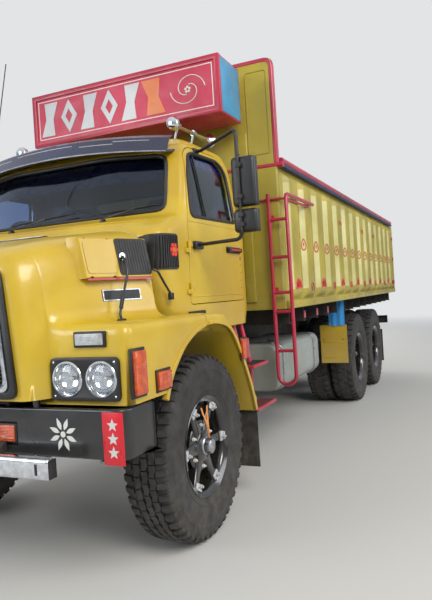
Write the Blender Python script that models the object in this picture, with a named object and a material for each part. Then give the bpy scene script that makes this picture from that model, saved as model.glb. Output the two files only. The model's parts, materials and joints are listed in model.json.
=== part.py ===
"""A decorated three-axle bonneted truck with a high ribbed load bed.

Metres.  Front of the truck is -Y, its left side is +X, the ground is z = 0.
Every y below is measured back from the front axle.  The empty TRUCK carries all
the pieces, and its place puts the origin below the middle of the whole truck.
"""
import math

import bmesh
import bpy
from mathutils import Matrix, Vector

for old in list(bpy.data.objects):
    bpy.data.objects.remove(old, do_unlink=True)

# Clearances
SEAT_GAP = 0.0003       # between pieces that rest on each other
OVERRUN = 0.05          # how far a cutter passes its wall
PANEL_GAP = 0.006       # round doors and lids
SINK = 0.004            # how far joined shapes run into each other

# Wheels
TYRE_RADIUS = 0.613
TYRE_WIDTH = 0.315
RIM_RADIUS = 0.305
RIM_WIDTH = 0.24
WHEEL_STEPS = 20
TWIN_STEPS = 20
TWIN_PITCH = 0.345
FRONT_WHEEL_X = 1.01
TWIN_X = 0.91
FRONT_AXLE_Y = 0.0
BOGIE_START_Y = 4.95
BOGIE_PITCH = 1.37
BORE_RADIUS = 0.05
PIN_CLEARANCE = 0.005
KINGPIN_X = 0.80

# Chassis
RAIL_OUTER_X = 0.425
RAIL_FLANGE = 0.08
RAIL_THICKNESS = 0.012
RAIL_BOTTOM_Z = 0.79
RAIL_HEIGHT = 0.30
RAIL_REAR_Y = 8.20
CROSS_TUBE_RADIUS = 0.055
CAB_MOUNT_YS = (0.0, 1.0)
CAB_MOUNT_LENGTH = 0.09

# Cab
CAB_BOTTOM_Z = 1.37
CAB_HEIGHT = 1.47
CAB_HALF_WIDTH = 1.085
CAB_FRONT_Y = -0.34
CAB_REAR_Y = 1.14
CAB_WALL = 0.05
GLASS_THICKNESS = 0.008
DOOR_FRONT_Y = 0.0
DOOR_LENGTH = 0.98
DOOR_SILL_Z = 1.56
DOOR_HEIGHT = 1.16
SCREEN_HALF_WIDTH = 0.848 * CAB_HALF_WIDTH
SCREEN_BASE_Z = 2.20
SCREEN_HEIGHT = 0.45
REAR_WINDOW_HALF_WIDTH = 0.387 * CAB_HALF_WIDTH
REAR_WINDOW_BASE_Z = 2.20
REAR_WINDOW_HEIGHT = 0.34

# Bonnet and front wings
BONNET_FRONT_Y = -1.13
BONNET_SEAM_GAP = 0.012
BONNET_WALL = 0.025
BONNET_BOTTOM_Z = 1.115
BONNET_REAR_TOP_Z = 2.07
WING_OUTER_X = 1.22
WING_FRONT_Y = -1.01
WING_TOP_Z = 1.505
WING_BOTTOM_Z = 1.08
WING_SPLIT_Y = -0.055
WING_ROUND = 0.035
WING_THICKNESS = 0.03
BONNET_PIVOT_Y = -1.06
BONNET_PIVOT_Z = 1.10
BONNET_HINGE_X = 0.26
BONNET_HINGE_WIDTH = 0.03
BONNET_HINGE_RADIUS = 0.014
ARCH_SIDE_CLEARANCE = 0.127
ARCH_TOP_CLEARANCE = 0.201
ARCH_HALF_LENGTH = TYRE_RADIUS + ARCH_SIDE_CLEARANCE
ARCH_TOP_Z = 2 * TYRE_RADIUS + ARCH_TOP_CLEARANCE
ARCH_TAIL_Z = 0.70

# Load bed
BED_FRONT_Y = 1.55
BED_LENGTH = 6.90
BED_HALF_WIDTH = 1.25
BED_FLOOR_Z = 1.50
BED_FLOOR_THICKNESS = 0.05
BED_TOP_Z = 2.76
BED_WALL = 0.035
RIB_DEPTH = 0.05
RIB_COUNT = 14
BEARER_COUNT = 14
BEARER_WIDTH = 0.07
BEARER_HEIGHT = 0.15
BULKHEAD_TOP_Z = 3.73
RIM_TUBE_RADIUS = 0.028

# Outermost pieces
CARGO_RIB_PROUD = 0.034
MIRROR_OUTER_X = 1.61
FRONT_BAR_Y = -1.245
FRONT_BAR_DEPTH = 0.07

BED_REAR_Y = BED_FRONT_Y + BED_LENGTH
RAIL_TOP_Z = RAIL_BOTTOM_Z + RAIL_HEIGHT
CAB_LENGTH = CAB_REAR_Y - CAB_FRONT_Y
CAB_TOP_Z = CAB_BOTTOM_Z + CAB_HEIGHT
BOGIE_END_Y = BOGIE_START_Y + BOGIE_PITCH
BOGIE_MID_Y = BOGIE_START_Y + BOGIE_PITCH / 2

TRUCK = bpy.data.objects.new("truck_origin", None)
bpy.context.scene.collection.objects.link(TRUCK)
TRUCK.location.y = -(FRONT_BAR_Y + BED_REAR_Y + CARGO_RIB_PROUD) / 2


def finish(name, colour, roughness, metallic=0.0, alpha=1.0):
    """A painted, rubber, glass or metal finish."""
    material = bpy.data.materials.new(name)
    material.use_nodes = True
    shader = material.node_tree.nodes["Principled BSDF"]
    shader.inputs["Base Color"].default_value = (*colour, 1.0)
    shader.inputs["Roughness"].default_value = roughness
    shader.inputs["Metallic"].default_value = metallic
    shader.inputs["Alpha"].default_value = alpha
    material.diffuse_color = (*colour, alpha)
    return material


YELLOW = finish("yellow_paint", (0.72, 0.50, 0.02), 0.35)
RED = finish("red_paint", (0.55, 0.02, 0.05), 0.4)
BLUE = finish("blue_paint", (0.02, 0.22, 0.45), 0.4)
BLUE_CLOTH = finish("blue_cloth", (0.05, 0.30, 0.65), 0.9)
CHASSIS_BLACK = finish("chassis_black", (0.02, 0.02, 0.02), 0.6)
TRIM_BLACK = finish("trim_black", (0.015, 0.015, 0.015), 0.4)
RUBBER = finish("tyre_rubber", (0.02, 0.02, 0.02), 0.85)
RIM_BLACK = finish("rim_black", (0.02, 0.02, 0.025), 0.3)
BRIGHT = finish("bright_metal", (0.7, 0.7, 0.7), 0.2, 1.0)
ALUMINIUM = finish("brushed_aluminium", (0.6, 0.6, 0.6), 0.35, 1.0)
TANK_GREY = finish("tank_grey", (0.45, 0.47, 0.45), 0.4)
GLASS = finish("window_glass", (0.10, 0.13, 0.15), 0.05, 0.0, 0.4)
SEAT_CLOTH = finish("seat_cloth", (0.10, 0.10, 0.12), 0.9)
ENGINE_GREEN = finish("engine_green", (0.10, 0.18, 0.12), 0.6)


# Shapes

def prism(outline, low, high, axis):
    """Extrude a flat outline from low to high along axis x, y or z."""
    lift = {
        "x": lambda a, b, c: (c, a, b),
        "y": lambda a, b, c: (a, c, b),
        "z": lambda a, b, c: (a, b, c),
    }[axis]
    bm = bmesh.new()
    face = bm.faces.new([bm.verts.new(lift(a, b, low)) for a, b in outline])
    grown = bmesh.ops.extrude_face_region(bm, geom=[face])["geom"]
    shift = Vector(lift(0.0, 0.0, high - low))
    bmesh.ops.translate(bm, vec=shift, verts=[v for v in grown if isinstance(v, bmesh.types.BMVert)])
    bmesh.ops.recalc_face_normals(bm, faces=bm.faces)
    return bm


def box(x_low, x_high, y_low, y_high, z_low, z_high):
    """A block between two corners."""
    base = [(x_low, y_low), (x_high, y_low), (x_high, y_high), (x_low, y_high)]
    return prism(base, z_low, z_high, "z")


def loft(rings):
    """Join rings of points into one closed solid."""
    bm = bmesh.new()
    loops = [[bm.verts.new(point) for point in ring] for ring in rings]
    count = len(loops[0])
    for near, far in zip(loops, loops[1:]):
        for i in range(count):
            j = (i + 1) % count
            bm.faces.new((near[i], near[j], far[j], far[i]))
    bmesh.ops.triangulate(bm, faces=bm.faces, quad_method="FIXED")
    bm.faces.new(loops[0])
    bm.faces.new(loops[-1])
    bmesh.ops.recalc_face_normals(bm, faces=bm.faces)
    return bm


def turned(profile, centre, axis="x", steps=WHEEL_STEPS):
    """Turn a profile of (radius, along) points about an axis through centre."""
    across, spin_axis = {
        "x": (Vector((0, 0, 1)), Vector((1, 0, 0))),
        "y": (Vector((1, 0, 0)), Vector((0, 1, 0))),
        "z": (Vector((1, 0, 0)), Vector((0, 0, 1))),
    }[axis]
    bm = bmesh.new()
    verts = [bm.verts.new(across * radius + spin_axis * along) for radius, along in profile]
    edges = [bm.edges.new(pair) for pair in zip(verts, verts[1:])]
    if profile[0][0] > 0.0 or profile[-1][0] > 0.0:
        edges.append(bm.edges.new((verts[-1], verts[0])))
    bmesh.ops.spin(bm, geom=verts + edges, cent=(0, 0, 0), axis=spin_axis, angle=math.tau,
                   steps=steps, use_merge=True)
    bmesh.ops.remove_doubles(bm, verts=bm.verts, dist=1e-5)
    bmesh.ops.recalc_face_normals(bm, faces=bm.faces)
    bmesh.ops.translate(bm, vec=Vector(centre), verts=bm.verts)
    return bm


def rod(start, end, radius, steps=10):
    """A round bar between two points."""
    start, end = Vector(start), Vector(end)
    bm = bmesh.new()
    bmesh.ops.create_cone(bm, cap_ends=True, segments=steps, radius1=radius, radius2=radius,
                          depth=(end - start).length)
    turn = (end - start).to_track_quat("Z", "Y").to_matrix().to_4x4()
    bmesh.ops.transform(bm, matrix=Matrix.Translation((start + end) / 2) @ turn, verts=bm.verts)
    return bm


def tube(path, radius, steps=8):
    """A round bar bent along a path of points."""
    path = [Vector(point) for point in path]
    runs = [(b - a).normalized() for a, b in zip(path, path[1:])]
    side = runs[0].orthogonal().normalized()
    rings = []
    for i, point in enumerate(path):
        before, after = runs[max(i - 1, 0)], runs[min(i, len(runs) - 1)]
        along = (before + after).normalized()
        side = (side - along * side.dot(along)).normalized()
        up = along.cross(side)
        rings.append([point + (side * math.cos(math.tau * k / steps)
                               + up * math.sin(math.tau * k / steps)) * radius
                      for k in range(steps)])
    return loft(rings)


def rounded(width, height, radius, segments=3):
    """Outline of a rectangle with round corners, centred on zero."""
    points = []
    for quarter, (sx, sy) in enumerate(((1, 1), (-1, 1), (-1, -1), (1, -1))):
        cx, cy = sx * (width / 2 - radius), sy * (height / 2 - radius)
        for k in range(segments + 1):
            turn = math.pi / 2 * (quarter + k / segments)
            points.append((cx + radius * math.cos(turn), cy + radius * math.sin(turn)))
    return points


def shifted(outline, da, db):
    """An outline moved in its own plane."""
    return [(a + da, b + db) for a, b in outline]


def shrunk(outline, distance):
    """An outline moved inwards by a distance all round."""
    area = sum(a[0] * b[1] - b[0] * a[1] for a, b in zip(outline, outline[1:] + outline[:1]))
    sign = 1.0 if area > 0 else -1.0
    result = []
    for before, here, after in zip(outline[-1:] + outline[:-1], outline, outline[1:] + outline[:1]):
        one = (Vector(here) - Vector(before)).normalized()
        two = (Vector(after) - Vector(here)).normalized()
        inward_one = Vector((-one.y, one.x)) * sign
        inward_two = Vector((-two.y, two.x)) * sign
        split = (inward_one + inward_two).normalized()
        result.append(tuple(Vector(here) + split * (distance / max(split.dot(inward_one), 0.3))))
    return result


def mirrored(bm):
    """The same shape on the other side of the truck."""
    other = bm.copy()
    bmesh.ops.scale(other, vec=Vector((-1, 1, 1)), verts=other.verts)
    bmesh.ops.reverse_faces(other, faces=other.faces)
    return other


def both_sides(bm):
    """A shape and its mirror image."""
    return [bm, mirrored(bm)]


# Pieces

def as_object(bm, name):
    mesh = bpy.data.meshes.new(name)
    bm.to_mesh(mesh)
    bm.free()
    obj = bpy.data.objects.new(name, mesh)
    bpy.context.scene.collection.objects.link(obj)
    return obj


def combine(base, shapes, operation):
    """Join, cut or intersect a shape with others, and give back one bmesh."""
    body = as_object(base, "body")
    tools = [as_object(shape, "tool") for shape in shapes]
    for tool in tools:
        change = body.modifiers.new("change", "BOOLEAN")
        change.operation = operation
        change.solver = "EXACT"
        change.object = tool
    graph = bpy.context.evaluated_depsgraph_get()
    result = bmesh.new()
    result.from_mesh(body.evaluated_get(graph).to_mesh())
    for used in [body] + tools:
        bpy.data.objects.remove(used, do_unlink=True)
    bmesh.ops.remove_doubles(result, verts=result.verts, dist=1e-6)
    return result


def joined(shapes):
    return combine(shapes[0], shapes[1:], "UNION") if len(shapes) > 1 else shapes[0]


def cut(shape, cutters):
    return combine(shape, cutters, "DIFFERENCE")


def common(shape, other):
    return combine(shape, [other], "INTERSECT")


def piece(name, bm, material, parent=TRUCK, at=(0.0, 0.0, 0.0), smooth=True):
    """Make a named piece whose origin is at a point, carried by parent."""
    bmesh.ops.translate(bm, vec=-Vector(at), verts=bm.verts)
    obj = as_object(bm, name)
    obj.data.materials.append(material)
    if smooth:
        obj.data.shade_smooth()
        obj.data.set_sharp_from_angle(angle=math.radians(35))
    obj.parent = parent
    obj.location = Vector(at) - (Vector(parent.get("pivot", (0, 0, 0))))
    obj["pivot"] = at
    return obj


def pair(name, bm, material, parents=(TRUCK, TRUCK), at=(0.0, 0.0, 0.0)):
    """A left piece and its mirrored right one."""
    other = mirrored(bm)
    left = piece(name + "_left", bm, material, parents[0], at)
    right = piece(name + "_right", other, material, parents[1], (-at[0], at[1], at[2]))
    return left, right


# Chassis

def rail(side):
    """A C-section frame rail, open towards the middle."""
    outer = RAIL_OUTER_X
    web = outer - RAIL_THICKNESS
    inner = outer - RAIL_FLANGE
    bottom, top = RAIL_BOTTOM_Z, RAIL_TOP_Z
    section = [(inner, bottom), (outer, bottom), (outer, top), (inner, top),
               (inner, top - RAIL_THICKNESS), (web, top - RAIL_THICKNESS),
               (web, bottom + RAIL_THICKNESS), (inner, bottom + RAIL_THICKNESS)]
    front = BUMPER_FRONT_Y + BUMPER_THICKNESS + SEAT_GAP
    return prism([(side * x, z) for x, z in section], front, RAIL_REAR_Y, "y")


BUMPER_FRONT_Y = -1.07
BUMPER_THICKNESS = 0.04
BUMPER_HALF_WIDTH = 1.215
BUMPER_BOTTOM_Z = 0.81
BUMPER_TOP_Z = 1.07
BUMPER_RETURN_Y = -0.78
BUMPER_CORNER = 0.09
RAIL_MID_Z = RAIL_BOTTOM_Z + RAIL_HEIGHT / 2
LOW_TUBE_Z = RAIL_BOTTOM_Z + 2 * RAIL_THICKNESS + CROSS_TUBE_RADIUS
HIGH_TUBE_Z = RAIL_TOP_Z - 2 * RAIL_THICKNESS - CROSS_TUBE_RADIUS
CROSS_TUBES = (
    # y, z
    (-0.96, LOW_TUBE_Z),
    (1.75, HIGH_TUBE_Z),
    (3.30, HIGH_TUBE_Z),
    (4.40, HIGH_TUBE_Z),
    (5.635, HIGH_TUBE_Z),
    (7.60, HIGH_TUBE_Z),
)


def chassis_frame():
    """Two rails, the tubes between them and the mounts that carry the cab."""
    reach = RAIL_OUTER_X - RAIL_THICKNESS / 2
    shapes = [rail(1), rail(-1)]
    for y, z in CROSS_TUBES:
        shapes.append(rod((-reach, y, z), (reach, y, z), CROSS_TUBE_RADIUS))
    inner = RAIL_OUTER_X - RAIL_FLANGE + RAIL_THICKNESS / 2
    for y in CAB_MOUNT_YS:
        shapes += both_sides(box(inner, reach, y - CAB_MOUNT_LENGTH / 2, y + CAB_MOUNT_LENGTH / 2,
                                 RAIL_TOP_Z - SINK, CAB_BOTTOM_Z - SEAT_GAP))
    return piece("chassis_frame", joined(shapes), CHASSIS_BLACK)


SPRING_X = 0.38
SPRING_WIDTH = 0.08
SPRING_HALF_LENGTH = 0.72
SPRING_LEAF = 0.05
SPRING_SAG = 0.06
SPRING_END_Z = 0.74
AXLE_BEAM_Z = 0.54
AXLE_BEAM_HEIGHT = 0.11
AXLE_BEAM_DEPTH = 0.10
KINGPIN_RADIUS = 0.045
KINGPIN_HALF_HEIGHT = 0.085


def leaf_spring(centre_y, half_length, end_z, mid_z, x):
    """A stack of leaves as one arched bar, thicker in the middle."""
    leaf, low = SPRING_LEAF, mid_z
    outline = [(centre_y - half_length, end_z), (centre_y - half_length / 2, (end_z + low) / 2),
               (centre_y, low), (centre_y + half_length / 2, (end_z + low) / 2),
               (centre_y + half_length, end_z), (centre_y + half_length, end_z - leaf / 2),
               (centre_y + half_length / 2, (end_z + low) / 2 - leaf), (centre_y, low - 2 * leaf),
               (centre_y - half_length / 2, (end_z + low) / 2 - leaf),
               (centre_y - half_length, end_z - leaf / 2)]
    return prism(outline, x - SPRING_WIDTH / 2, x + SPRING_WIDTH / 2, "x")


def front_axle():
    """Dropped beam with kingpin eyes, carrying the leaf springs and their hangers."""
    eye_z = TYRE_RADIUS
    half = AXLE_BEAM_HEIGHT / 2
    beam_x = KINGPIN_X - KINGPIN_RADIUS / 2
    drop_x = beam_x - AXLE_BEAM_HEIGHT
    pad_x = SPRING_X + SPRING_WIDTH
    outline = [(-beam_x, eye_z - half), (-drop_x, eye_z - half - SPRING_SAG / 2),
               (-pad_x, AXLE_BEAM_Z - half), (pad_x, AXLE_BEAM_Z - half),
               (drop_x, eye_z - half - SPRING_SAG / 2), (beam_x, eye_z - half),
               (beam_x, eye_z + half), (drop_x, eye_z + half / 2), (pad_x, AXLE_BEAM_Z + half),
               (-pad_x, AXLE_BEAM_Z + half), (-drop_x, eye_z + half / 2), (-beam_x, eye_z + half)]
    beam = prism(outline, -AXLE_BEAM_DEPTH / 2, AXLE_BEAM_DEPTH / 2, "y")
    pin_low = (KINGPIN_X, FRONT_AXLE_Y, eye_z - KINGPIN_HALF_HEIGHT)
    pin_high = (KINGPIN_X, FRONT_AXLE_Y, eye_z + KINGPIN_HALF_HEIGHT)
    eye = rod(pin_low, pin_high, KINGPIN_RADIUS, 16)
    pack_bottom = AXLE_BEAM_Z + half - SINK
    pack_mid = pack_bottom + 2 * SPRING_LEAF
    spring = leaf_spring(FRONT_AXLE_Y, SPRING_HALF_LENGTH, SPRING_END_Z, pack_mid, SPRING_X)
    hangers = []
    hanger_half = SPRING_WIDTH / 2 - SINK
    for end in (-1, 1):
        y = FRONT_AXLE_Y + end * (SPRING_HALF_LENGTH - SPRING_LEAF / 2)
        hangers.append(box(SPRING_X - hanger_half, SPRING_X + hanger_half, y - SPRING_LEAF,
                           y + SPRING_LEAF, SPRING_END_Z - SPRING_LEAF, RAIL_BOTTOM_Z - SEAT_GAP))
    shapes = [beam]
    for shape in [eye, spring] + hangers:
        shapes += both_sides(shape)
    return piece("front_axle", joined(shapes), CHASSIS_BLACK)


KNUCKLE_ARM = 0.05
KNUCKLE_REACH = 0.075
SPINDLE_RADIUS = BORE_RADIUS * math.cos(math.pi / WHEEL_STEPS) - SEAT_GAP
SPINDLE_END_X = FRONT_WHEEL_X + 0.105
BACKPLATE_RADIUS = 0.19
BACKPLATE_X = FRONT_WHEEL_X - 0.105
BACKPLATE_THICKNESS = 0.012
STEER_ARM_LENGTH = 0.19
STEER_ARM_RADIUS = 0.02


def knuckles():
    """Forks that turn on the kingpins, each with its spindle, back plate and arm."""
    z = TYRE_RADIUS
    top = z + KINGPIN_HALF_HEIGHT + SEAT_GAP
    bottom = z - KINGPIN_HALF_HEIGHT - SEAT_GAP
    web_x = KINGPIN_X + KINGPIN_RADIUS + PIN_CLEARANCE
    inner_x = KINGPIN_X - KINGPIN_RADIUS
    outer_x = BACKPLATE_X + SINK
    fork = [(inner_x, bottom - KNUCKLE_ARM), (outer_x, bottom - KNUCKLE_ARM / 2),
            (outer_x, top + KNUCKLE_ARM / 2), (inner_x, top + KNUCKLE_ARM), (inner_x, top),
            (web_x, top), (web_x, bottom), (inner_x, bottom)]
    body = prism(fork, -KNUCKLE_REACH / 2, KNUCKLE_REACH / 2, "y")
    spindle = rod((web_x, 0.0, z), (SPINDLE_END_X, 0.0, z), SPINDLE_RADIUS, 16)
    plate = rod((BACKPLATE_X, 0.0, z), (BACKPLATE_X + BACKPLATE_THICKNESS, 0.0, z),
                BACKPLATE_RADIUS, 20)
    arm_z = bottom - KNUCKLE_ARM / 2
    arm = rod((KINGPIN_X, 0.0, arm_z), (inner_x, STEER_ARM_LENGTH, arm_z), STEER_ARM_RADIUS)
    shape = joined([body, spindle, plate, arm])
    at = (KINGPIN_X, FRONT_AXLE_Y, TYRE_RADIUS)
    return pair("knuckle", shape, CHASSIS_BLACK, at=at)


# Wheels, as profiles of (radius, along the axle outwards)

TYRE_SHOULDER = 0.028
TYRE_TREAD_HALF = 0.115
TYRE_WALL = 0.03
BEAD_HALF = 0.118
BULGE_RADIUS = (TYRE_RADIUS + RIM_RADIUS) / 2
FLANGE_HEIGHT = 0.02
FLANGE_THICKNESS = 0.01
BARREL = 0.016
HUB_RADIUS = 0.105
HUB_OUT = 0.15
DISC_FACE = 0.118
BOLT_RING_RADIUS = 0.20
DISC_ROOT = 0.045
SPOKE_COUNT = 6
SPOKE_HALF_WIDTH = 0.038
WINDOW_INNER_RADIUS = 0.135
WINDOW_OUTER_RADIUS = 0.245
WINDOW_TOP_RADIUS = 0.272


def tyre_outside(middle):
    """Outside of a tyre from its outer bead to its inner one."""
    half = TYRE_WIDTH / 2
    shoulder = TYRE_TREAD_HALF + TYRE_SHOULDER
    side = [(RIM_RADIUS + FLANGE_HEIGHT, BEAD_HALF), (BULGE_RADIUS, half),
            (TYRE_RADIUS - TYRE_SHOULDER, shoulder), (TYRE_RADIUS, TYRE_TREAD_HALF)]
    other = [(radius, -along) for radius, along in reversed(side)]
    return [(radius, middle + along) for radius, along in side + other]


def spoke_windows(x, z, face):
    """Cutters for the openings between the spokes of a front wheel."""
    turn = math.pi / SPOKE_COUNT
    side = []
    for reach in (WINDOW_INNER_RADIUS, WINDOW_OUTER_RADIUS):
        side.append((reach * math.sin(turn) - SPOKE_HALF_WIDTH * math.cos(turn),
                     reach * math.cos(turn) + SPOKE_HALF_WIDTH * math.sin(turn)))
    outline = [(-side[0][0], side[0][1]), side[0], side[1], (0.0, WINDOW_TOP_RADIUS),
               (-side[1][0], side[1][1])]
    windows = []
    for k in range(SPOKE_COUNT):
        window = prism(outline, face - 4 * BARREL, DISC_FACE + 2 * BARREL, "x")
        bmesh.ops.rotate(window, cent=(0, 0, 0), verts=window.verts,
                         matrix=Matrix.Rotation(math.tau * k / SPOKE_COUNT, 3, "X"))
        bmesh.ops.translate(window, vec=(x, FRONT_AXLE_Y, z), verts=window.verts)
        windows.append(window)
    return windows


def front_wheels(knuckle_pair):
    """Single front wheels: a rim with its disc and hub, and a hollow tyre."""
    z = TYRE_RADIUS
    x = FRONT_WHEEL_X
    seat = RIM_RADIUS + SEAT_GAP
    bead = BEAD_HALF - FLANGE_THICKNESS
    inside = [(seat, -BEAD_HALF), (seat, -bead + TYRE_WALL / 2),
              (BULGE_RADIUS, TYRE_WALL - TYRE_WIDTH / 2), (TYRE_RADIUS - TYRE_WALL, -bead),
              (TYRE_RADIUS - TYRE_WALL, bead), (BULGE_RADIUS, TYRE_WIDTH / 2 - TYRE_WALL),
              (seat, bead - TYRE_WALL / 2), (seat, BEAD_HALF)]
    tyre = turned(tyre_outside(0.0) + inside, (x, 0.0, z))
    lip = BEAD_HALF + SEAT_GAP
    edge = lip + FLANGE_THICKNESS
    wall = RIM_RADIUS - BARREL
    bore_end = SPINDLE_END_X - x + PIN_CLEARANCE
    hub_in = BACKPLATE_X + BACKPLATE_THICKNESS + PIN_CLEARANCE - x
    profile = [(0.0, HUB_OUT), (HUB_RADIUS * 0.6, HUB_OUT), (HUB_RADIUS, HUB_OUT - BARREL),
               (HUB_RADIUS, DISC_FACE), (BOLT_RING_RADIUS, DISC_FACE - BARREL / 2),
               (BOLT_RING_RADIUS + 2 * BARREL, DISC_ROOT), (wall, DISC_ROOT - BARREL / 2),
               (wall, edge), (RIM_RADIUS + FLANGE_HEIGHT, edge), (RIM_RADIUS + FLANGE_HEIGHT, lip),
               (RIM_RADIUS, lip), (RIM_RADIUS, -lip), (RIM_RADIUS + FLANGE_HEIGHT, -lip),
               (RIM_RADIUS + FLANGE_HEIGHT, -edge), (wall, -edge),
               (wall, DISC_ROOT - 2 * BARREL), (BOLT_RING_RADIUS + BARREL, DISC_ROOT - 2 * BARREL),
               (BOLT_RING_RADIUS - BARREL, DISC_FACE - 2 * BARREL),
               (HUB_RADIUS, DISC_FACE - 2 * BARREL), (HUB_RADIUS, hub_in),
               (BORE_RADIUS, hub_in), (BORE_RADIUS, bore_end), (0.0, bore_end)]
    rim = cut(turned(profile, (x, 0.0, z)), spoke_windows(x, z, DISC_ROOT))
    at = (x, FRONT_AXLE_Y, z)
    rims = pair("front_rim", rim, RIM_BLACK, knuckle_pair, at)
    tyres = pair("front_tyre", tyre, RUBBER, rims, at)
    return rims, tyres


REAR_BORE_RADIUS = 0.07
REAR_HUB_OUT = 0.20
REAR_DISC = 0.03
REAR_DISC_ROOT_RADIUS = 0.24
TWIN_GAP = TWIN_PITCH - TYRE_WIDTH
REAR_HUB_IN = -0.20


def rear_wheels():
    """Twin wheels, both tyres, rims and the hub as one turned piece each."""
    z = TYRE_RADIUS
    half = TWIN_PITCH / 2
    wall = RIM_RADIUS - BARREL
    edge = half + BEAD_HALF + FLANGE_THICKNESS
    outer, inner = tyre_outside(half), tyre_outside(-half)
    spacer = [(RIM_RADIUS, TWIN_GAP / 2), (RIM_RADIUS, -TWIN_GAP / 2)]
    bore_end = REAR_HUB_OUT - 2 * BARREL
    profile = [(0.0, REAR_HUB_OUT), (HUB_RADIUS, REAR_HUB_OUT - BARREL),
               (HUB_RADIUS + BARREL, REAR_DISC), (REAR_DISC_ROOT_RADIUS, REAR_DISC),
               (wall, REAR_DISC + 2 * BARREL), (wall, edge), (RIM_RADIUS + FLANGE_HEIGHT, edge)]
    profile += outer[:-1] + spacer + inner[1:]
    profile += [(RIM_RADIUS + FLANGE_HEIGHT, -edge), (wall, -edge), (wall, 0.0),
                (HUB_RADIUS, 0.0), (HUB_RADIUS, REAR_HUB_IN), (REAR_BORE_RADIUS, REAR_HUB_IN),
                (REAR_BORE_RADIUS, bore_end), (0.0, bore_end)]
    for row, y in (("1", BOGIE_START_Y), ("2", BOGIE_START_Y + BOGIE_PITCH)):
        wheel = turned(profile, (TWIN_X, y, z), steps=TWIN_STEPS)
        pair("rear_wheel_" + row, wheel, RUBBER, at=(TWIN_X, y, z))


AXLE_TUBE_RADIUS = 0.08
AXLE_SHAFT_RADIUS = REAR_BORE_RADIUS * math.cos(math.pi / TWIN_STEPS) - SEAT_GAP
DIFF_RADIUS = 0.21
DIFF_HALF_WIDTH = 0.17
DIFF_NOSE = 0.34
DIFF_NOSE_RADIUS = 0.10
BOGIE_SPRING_X = 0.50
SPRING_PAD_HEIGHT = 0.02
SPRING_PAD_TOP_Z = TYRE_RADIUS + AXLE_TUBE_RADIUS + SPRING_PAD_HEIGHT
REAR_BACKPLATE_X = TWIN_X + REAR_HUB_IN - PIN_CLEARANCE
REAR_SHAFT_END_X = TWIN_X + REAR_HUB_OUT - 3 * BARREL


def rear_axles():
    """Driven axles with their gear housings and shaft ends."""
    z = TYRE_RADIUS
    for row, y in (("1", BOGIE_START_Y), ("2", BOGIE_END_Y)):
        shapes = [rod((-REAR_BACKPLATE_X, y, z), (REAR_BACKPLATE_X, y, z), AXLE_TUBE_RADIUS, 14),
                  rod((-REAR_SHAFT_END_X, y, z), (REAR_SHAFT_END_X, y, z), AXLE_SHAFT_RADIUS, 14)]
        housing = [(0.0, DIFF_HALF_WIDTH), (DIFF_RADIUS * 0.7, DIFF_HALF_WIDTH * 0.7),
                   (DIFF_RADIUS, 0.0), (DIFF_RADIUS * 0.7, -DIFF_HALF_WIDTH * 0.7),
                   (0.0, -DIFF_HALF_WIDTH)]
        shapes.append(turned(housing, (0.0, y, z), steps=16))
        shapes.append(rod((0.0, y, z), (0.0, y - DIFF_NOSE, z), DIFF_NOSE_RADIUS, 12))
        pad_half = SPRING_WIDTH / 2 + SPRING_PAD_HEIGHT / 2
        shapes += both_sides(box(BOGIE_SPRING_X - pad_half, BOGIE_SPRING_X + pad_half,
                                 y - pad_half, y + pad_half, z, SPRING_PAD_TOP_Z))
        piece("rear_axle_" + row, joined(shapes), CHASSIS_BLACK)


TRUNNION_Z = RAIL_BOTTOM_Z - 0.09
TRUNNION_RADIUS = 0.06


def bogie_springs():
    """Leaf packs that rock on a cross tube and rest on both driven axles."""
    end_z = SPRING_PAD_TOP_Z + SEAT_GAP + SPRING_LEAF
    reach = BOGIE_PITCH / 2 + SPRING_WIDTH
    x_low, x_high = BOGIE_SPRING_X - SPRING_WIDTH / 2, BOGIE_SPRING_X + SPRING_WIDTH / 2
    low_z = end_z - SPRING_LEAF
    flat = BOGIE_PITCH / 2 - SPRING_WIDTH
    arch = [(-reach, low_z), (-reach, end_z), (0.0, end_z + 3 * SPRING_LEAF),
            (reach, end_z), (reach, low_z), (flat, low_z),
            (BOGIE_PITCH / 4, end_z - SPRING_LEAF / 4), (0.0, TRUNNION_Z),
            (-BOGIE_PITCH / 4, end_z - SPRING_LEAF / 4), (-flat, low_z)]
    leaves = prism([(BOGIE_MID_Y + y, z) for y, z in arch], x_low, x_high, "x")
    end_x = x_high - SINK
    trunnion = rod((-end_x, BOGIE_MID_Y, TRUNNION_Z), (end_x, BOGIE_MID_Y, TRUNNION_Z),
                   TRUNNION_RADIUS, 12)
    hanger = box(RAIL_OUTER_X - RAIL_FLANGE, RAIL_OUTER_X, BOGIE_MID_Y - SPRING_WIDTH,
                 BOGIE_MID_Y + SPRING_WIDTH, TRUNNION_Z, RAIL_BOTTOM_Z - SEAT_GAP)
    shapes = [trunnion] + both_sides(leaves) + both_sides(hanger)
    return piece("bogie_springs", joined(shapes), CHASSIS_BLACK)


SHAFT_RADIUS = 0.055
ENGINE_HALF_WIDTH = 0.29
ENGINE_FRONT_Y = -0.78
ENGINE_REAR_Y = 0.72
ENGINE_BOTTOM_Z = 0.72
ENGINE_TOP_Z = 1.62
ENGINE_UNDER_CAB_Z = CAB_BOTTOM_Z - 0.03
GEARBOX_HALF_WIDTH = 0.19
GEARBOX_REAR_Y = 1.48
GEARBOX_TOP_Z = 1.10
GEARBOX_BOTTOM_Z = 0.66
RADIATOR_FRONT_Y = -0.94
RADIATOR_THICKNESS = 0.08
RADIATOR_HALF_WIDTH = 0.40
RADIATOR_BOTTOM_Z = RAIL_BOTTOM_Z + RAIL_HEIGHT + SEAT_GAP
RADIATOR_TOP_Z = 1.72
COWL_CLEARANCE = 0.06


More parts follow.
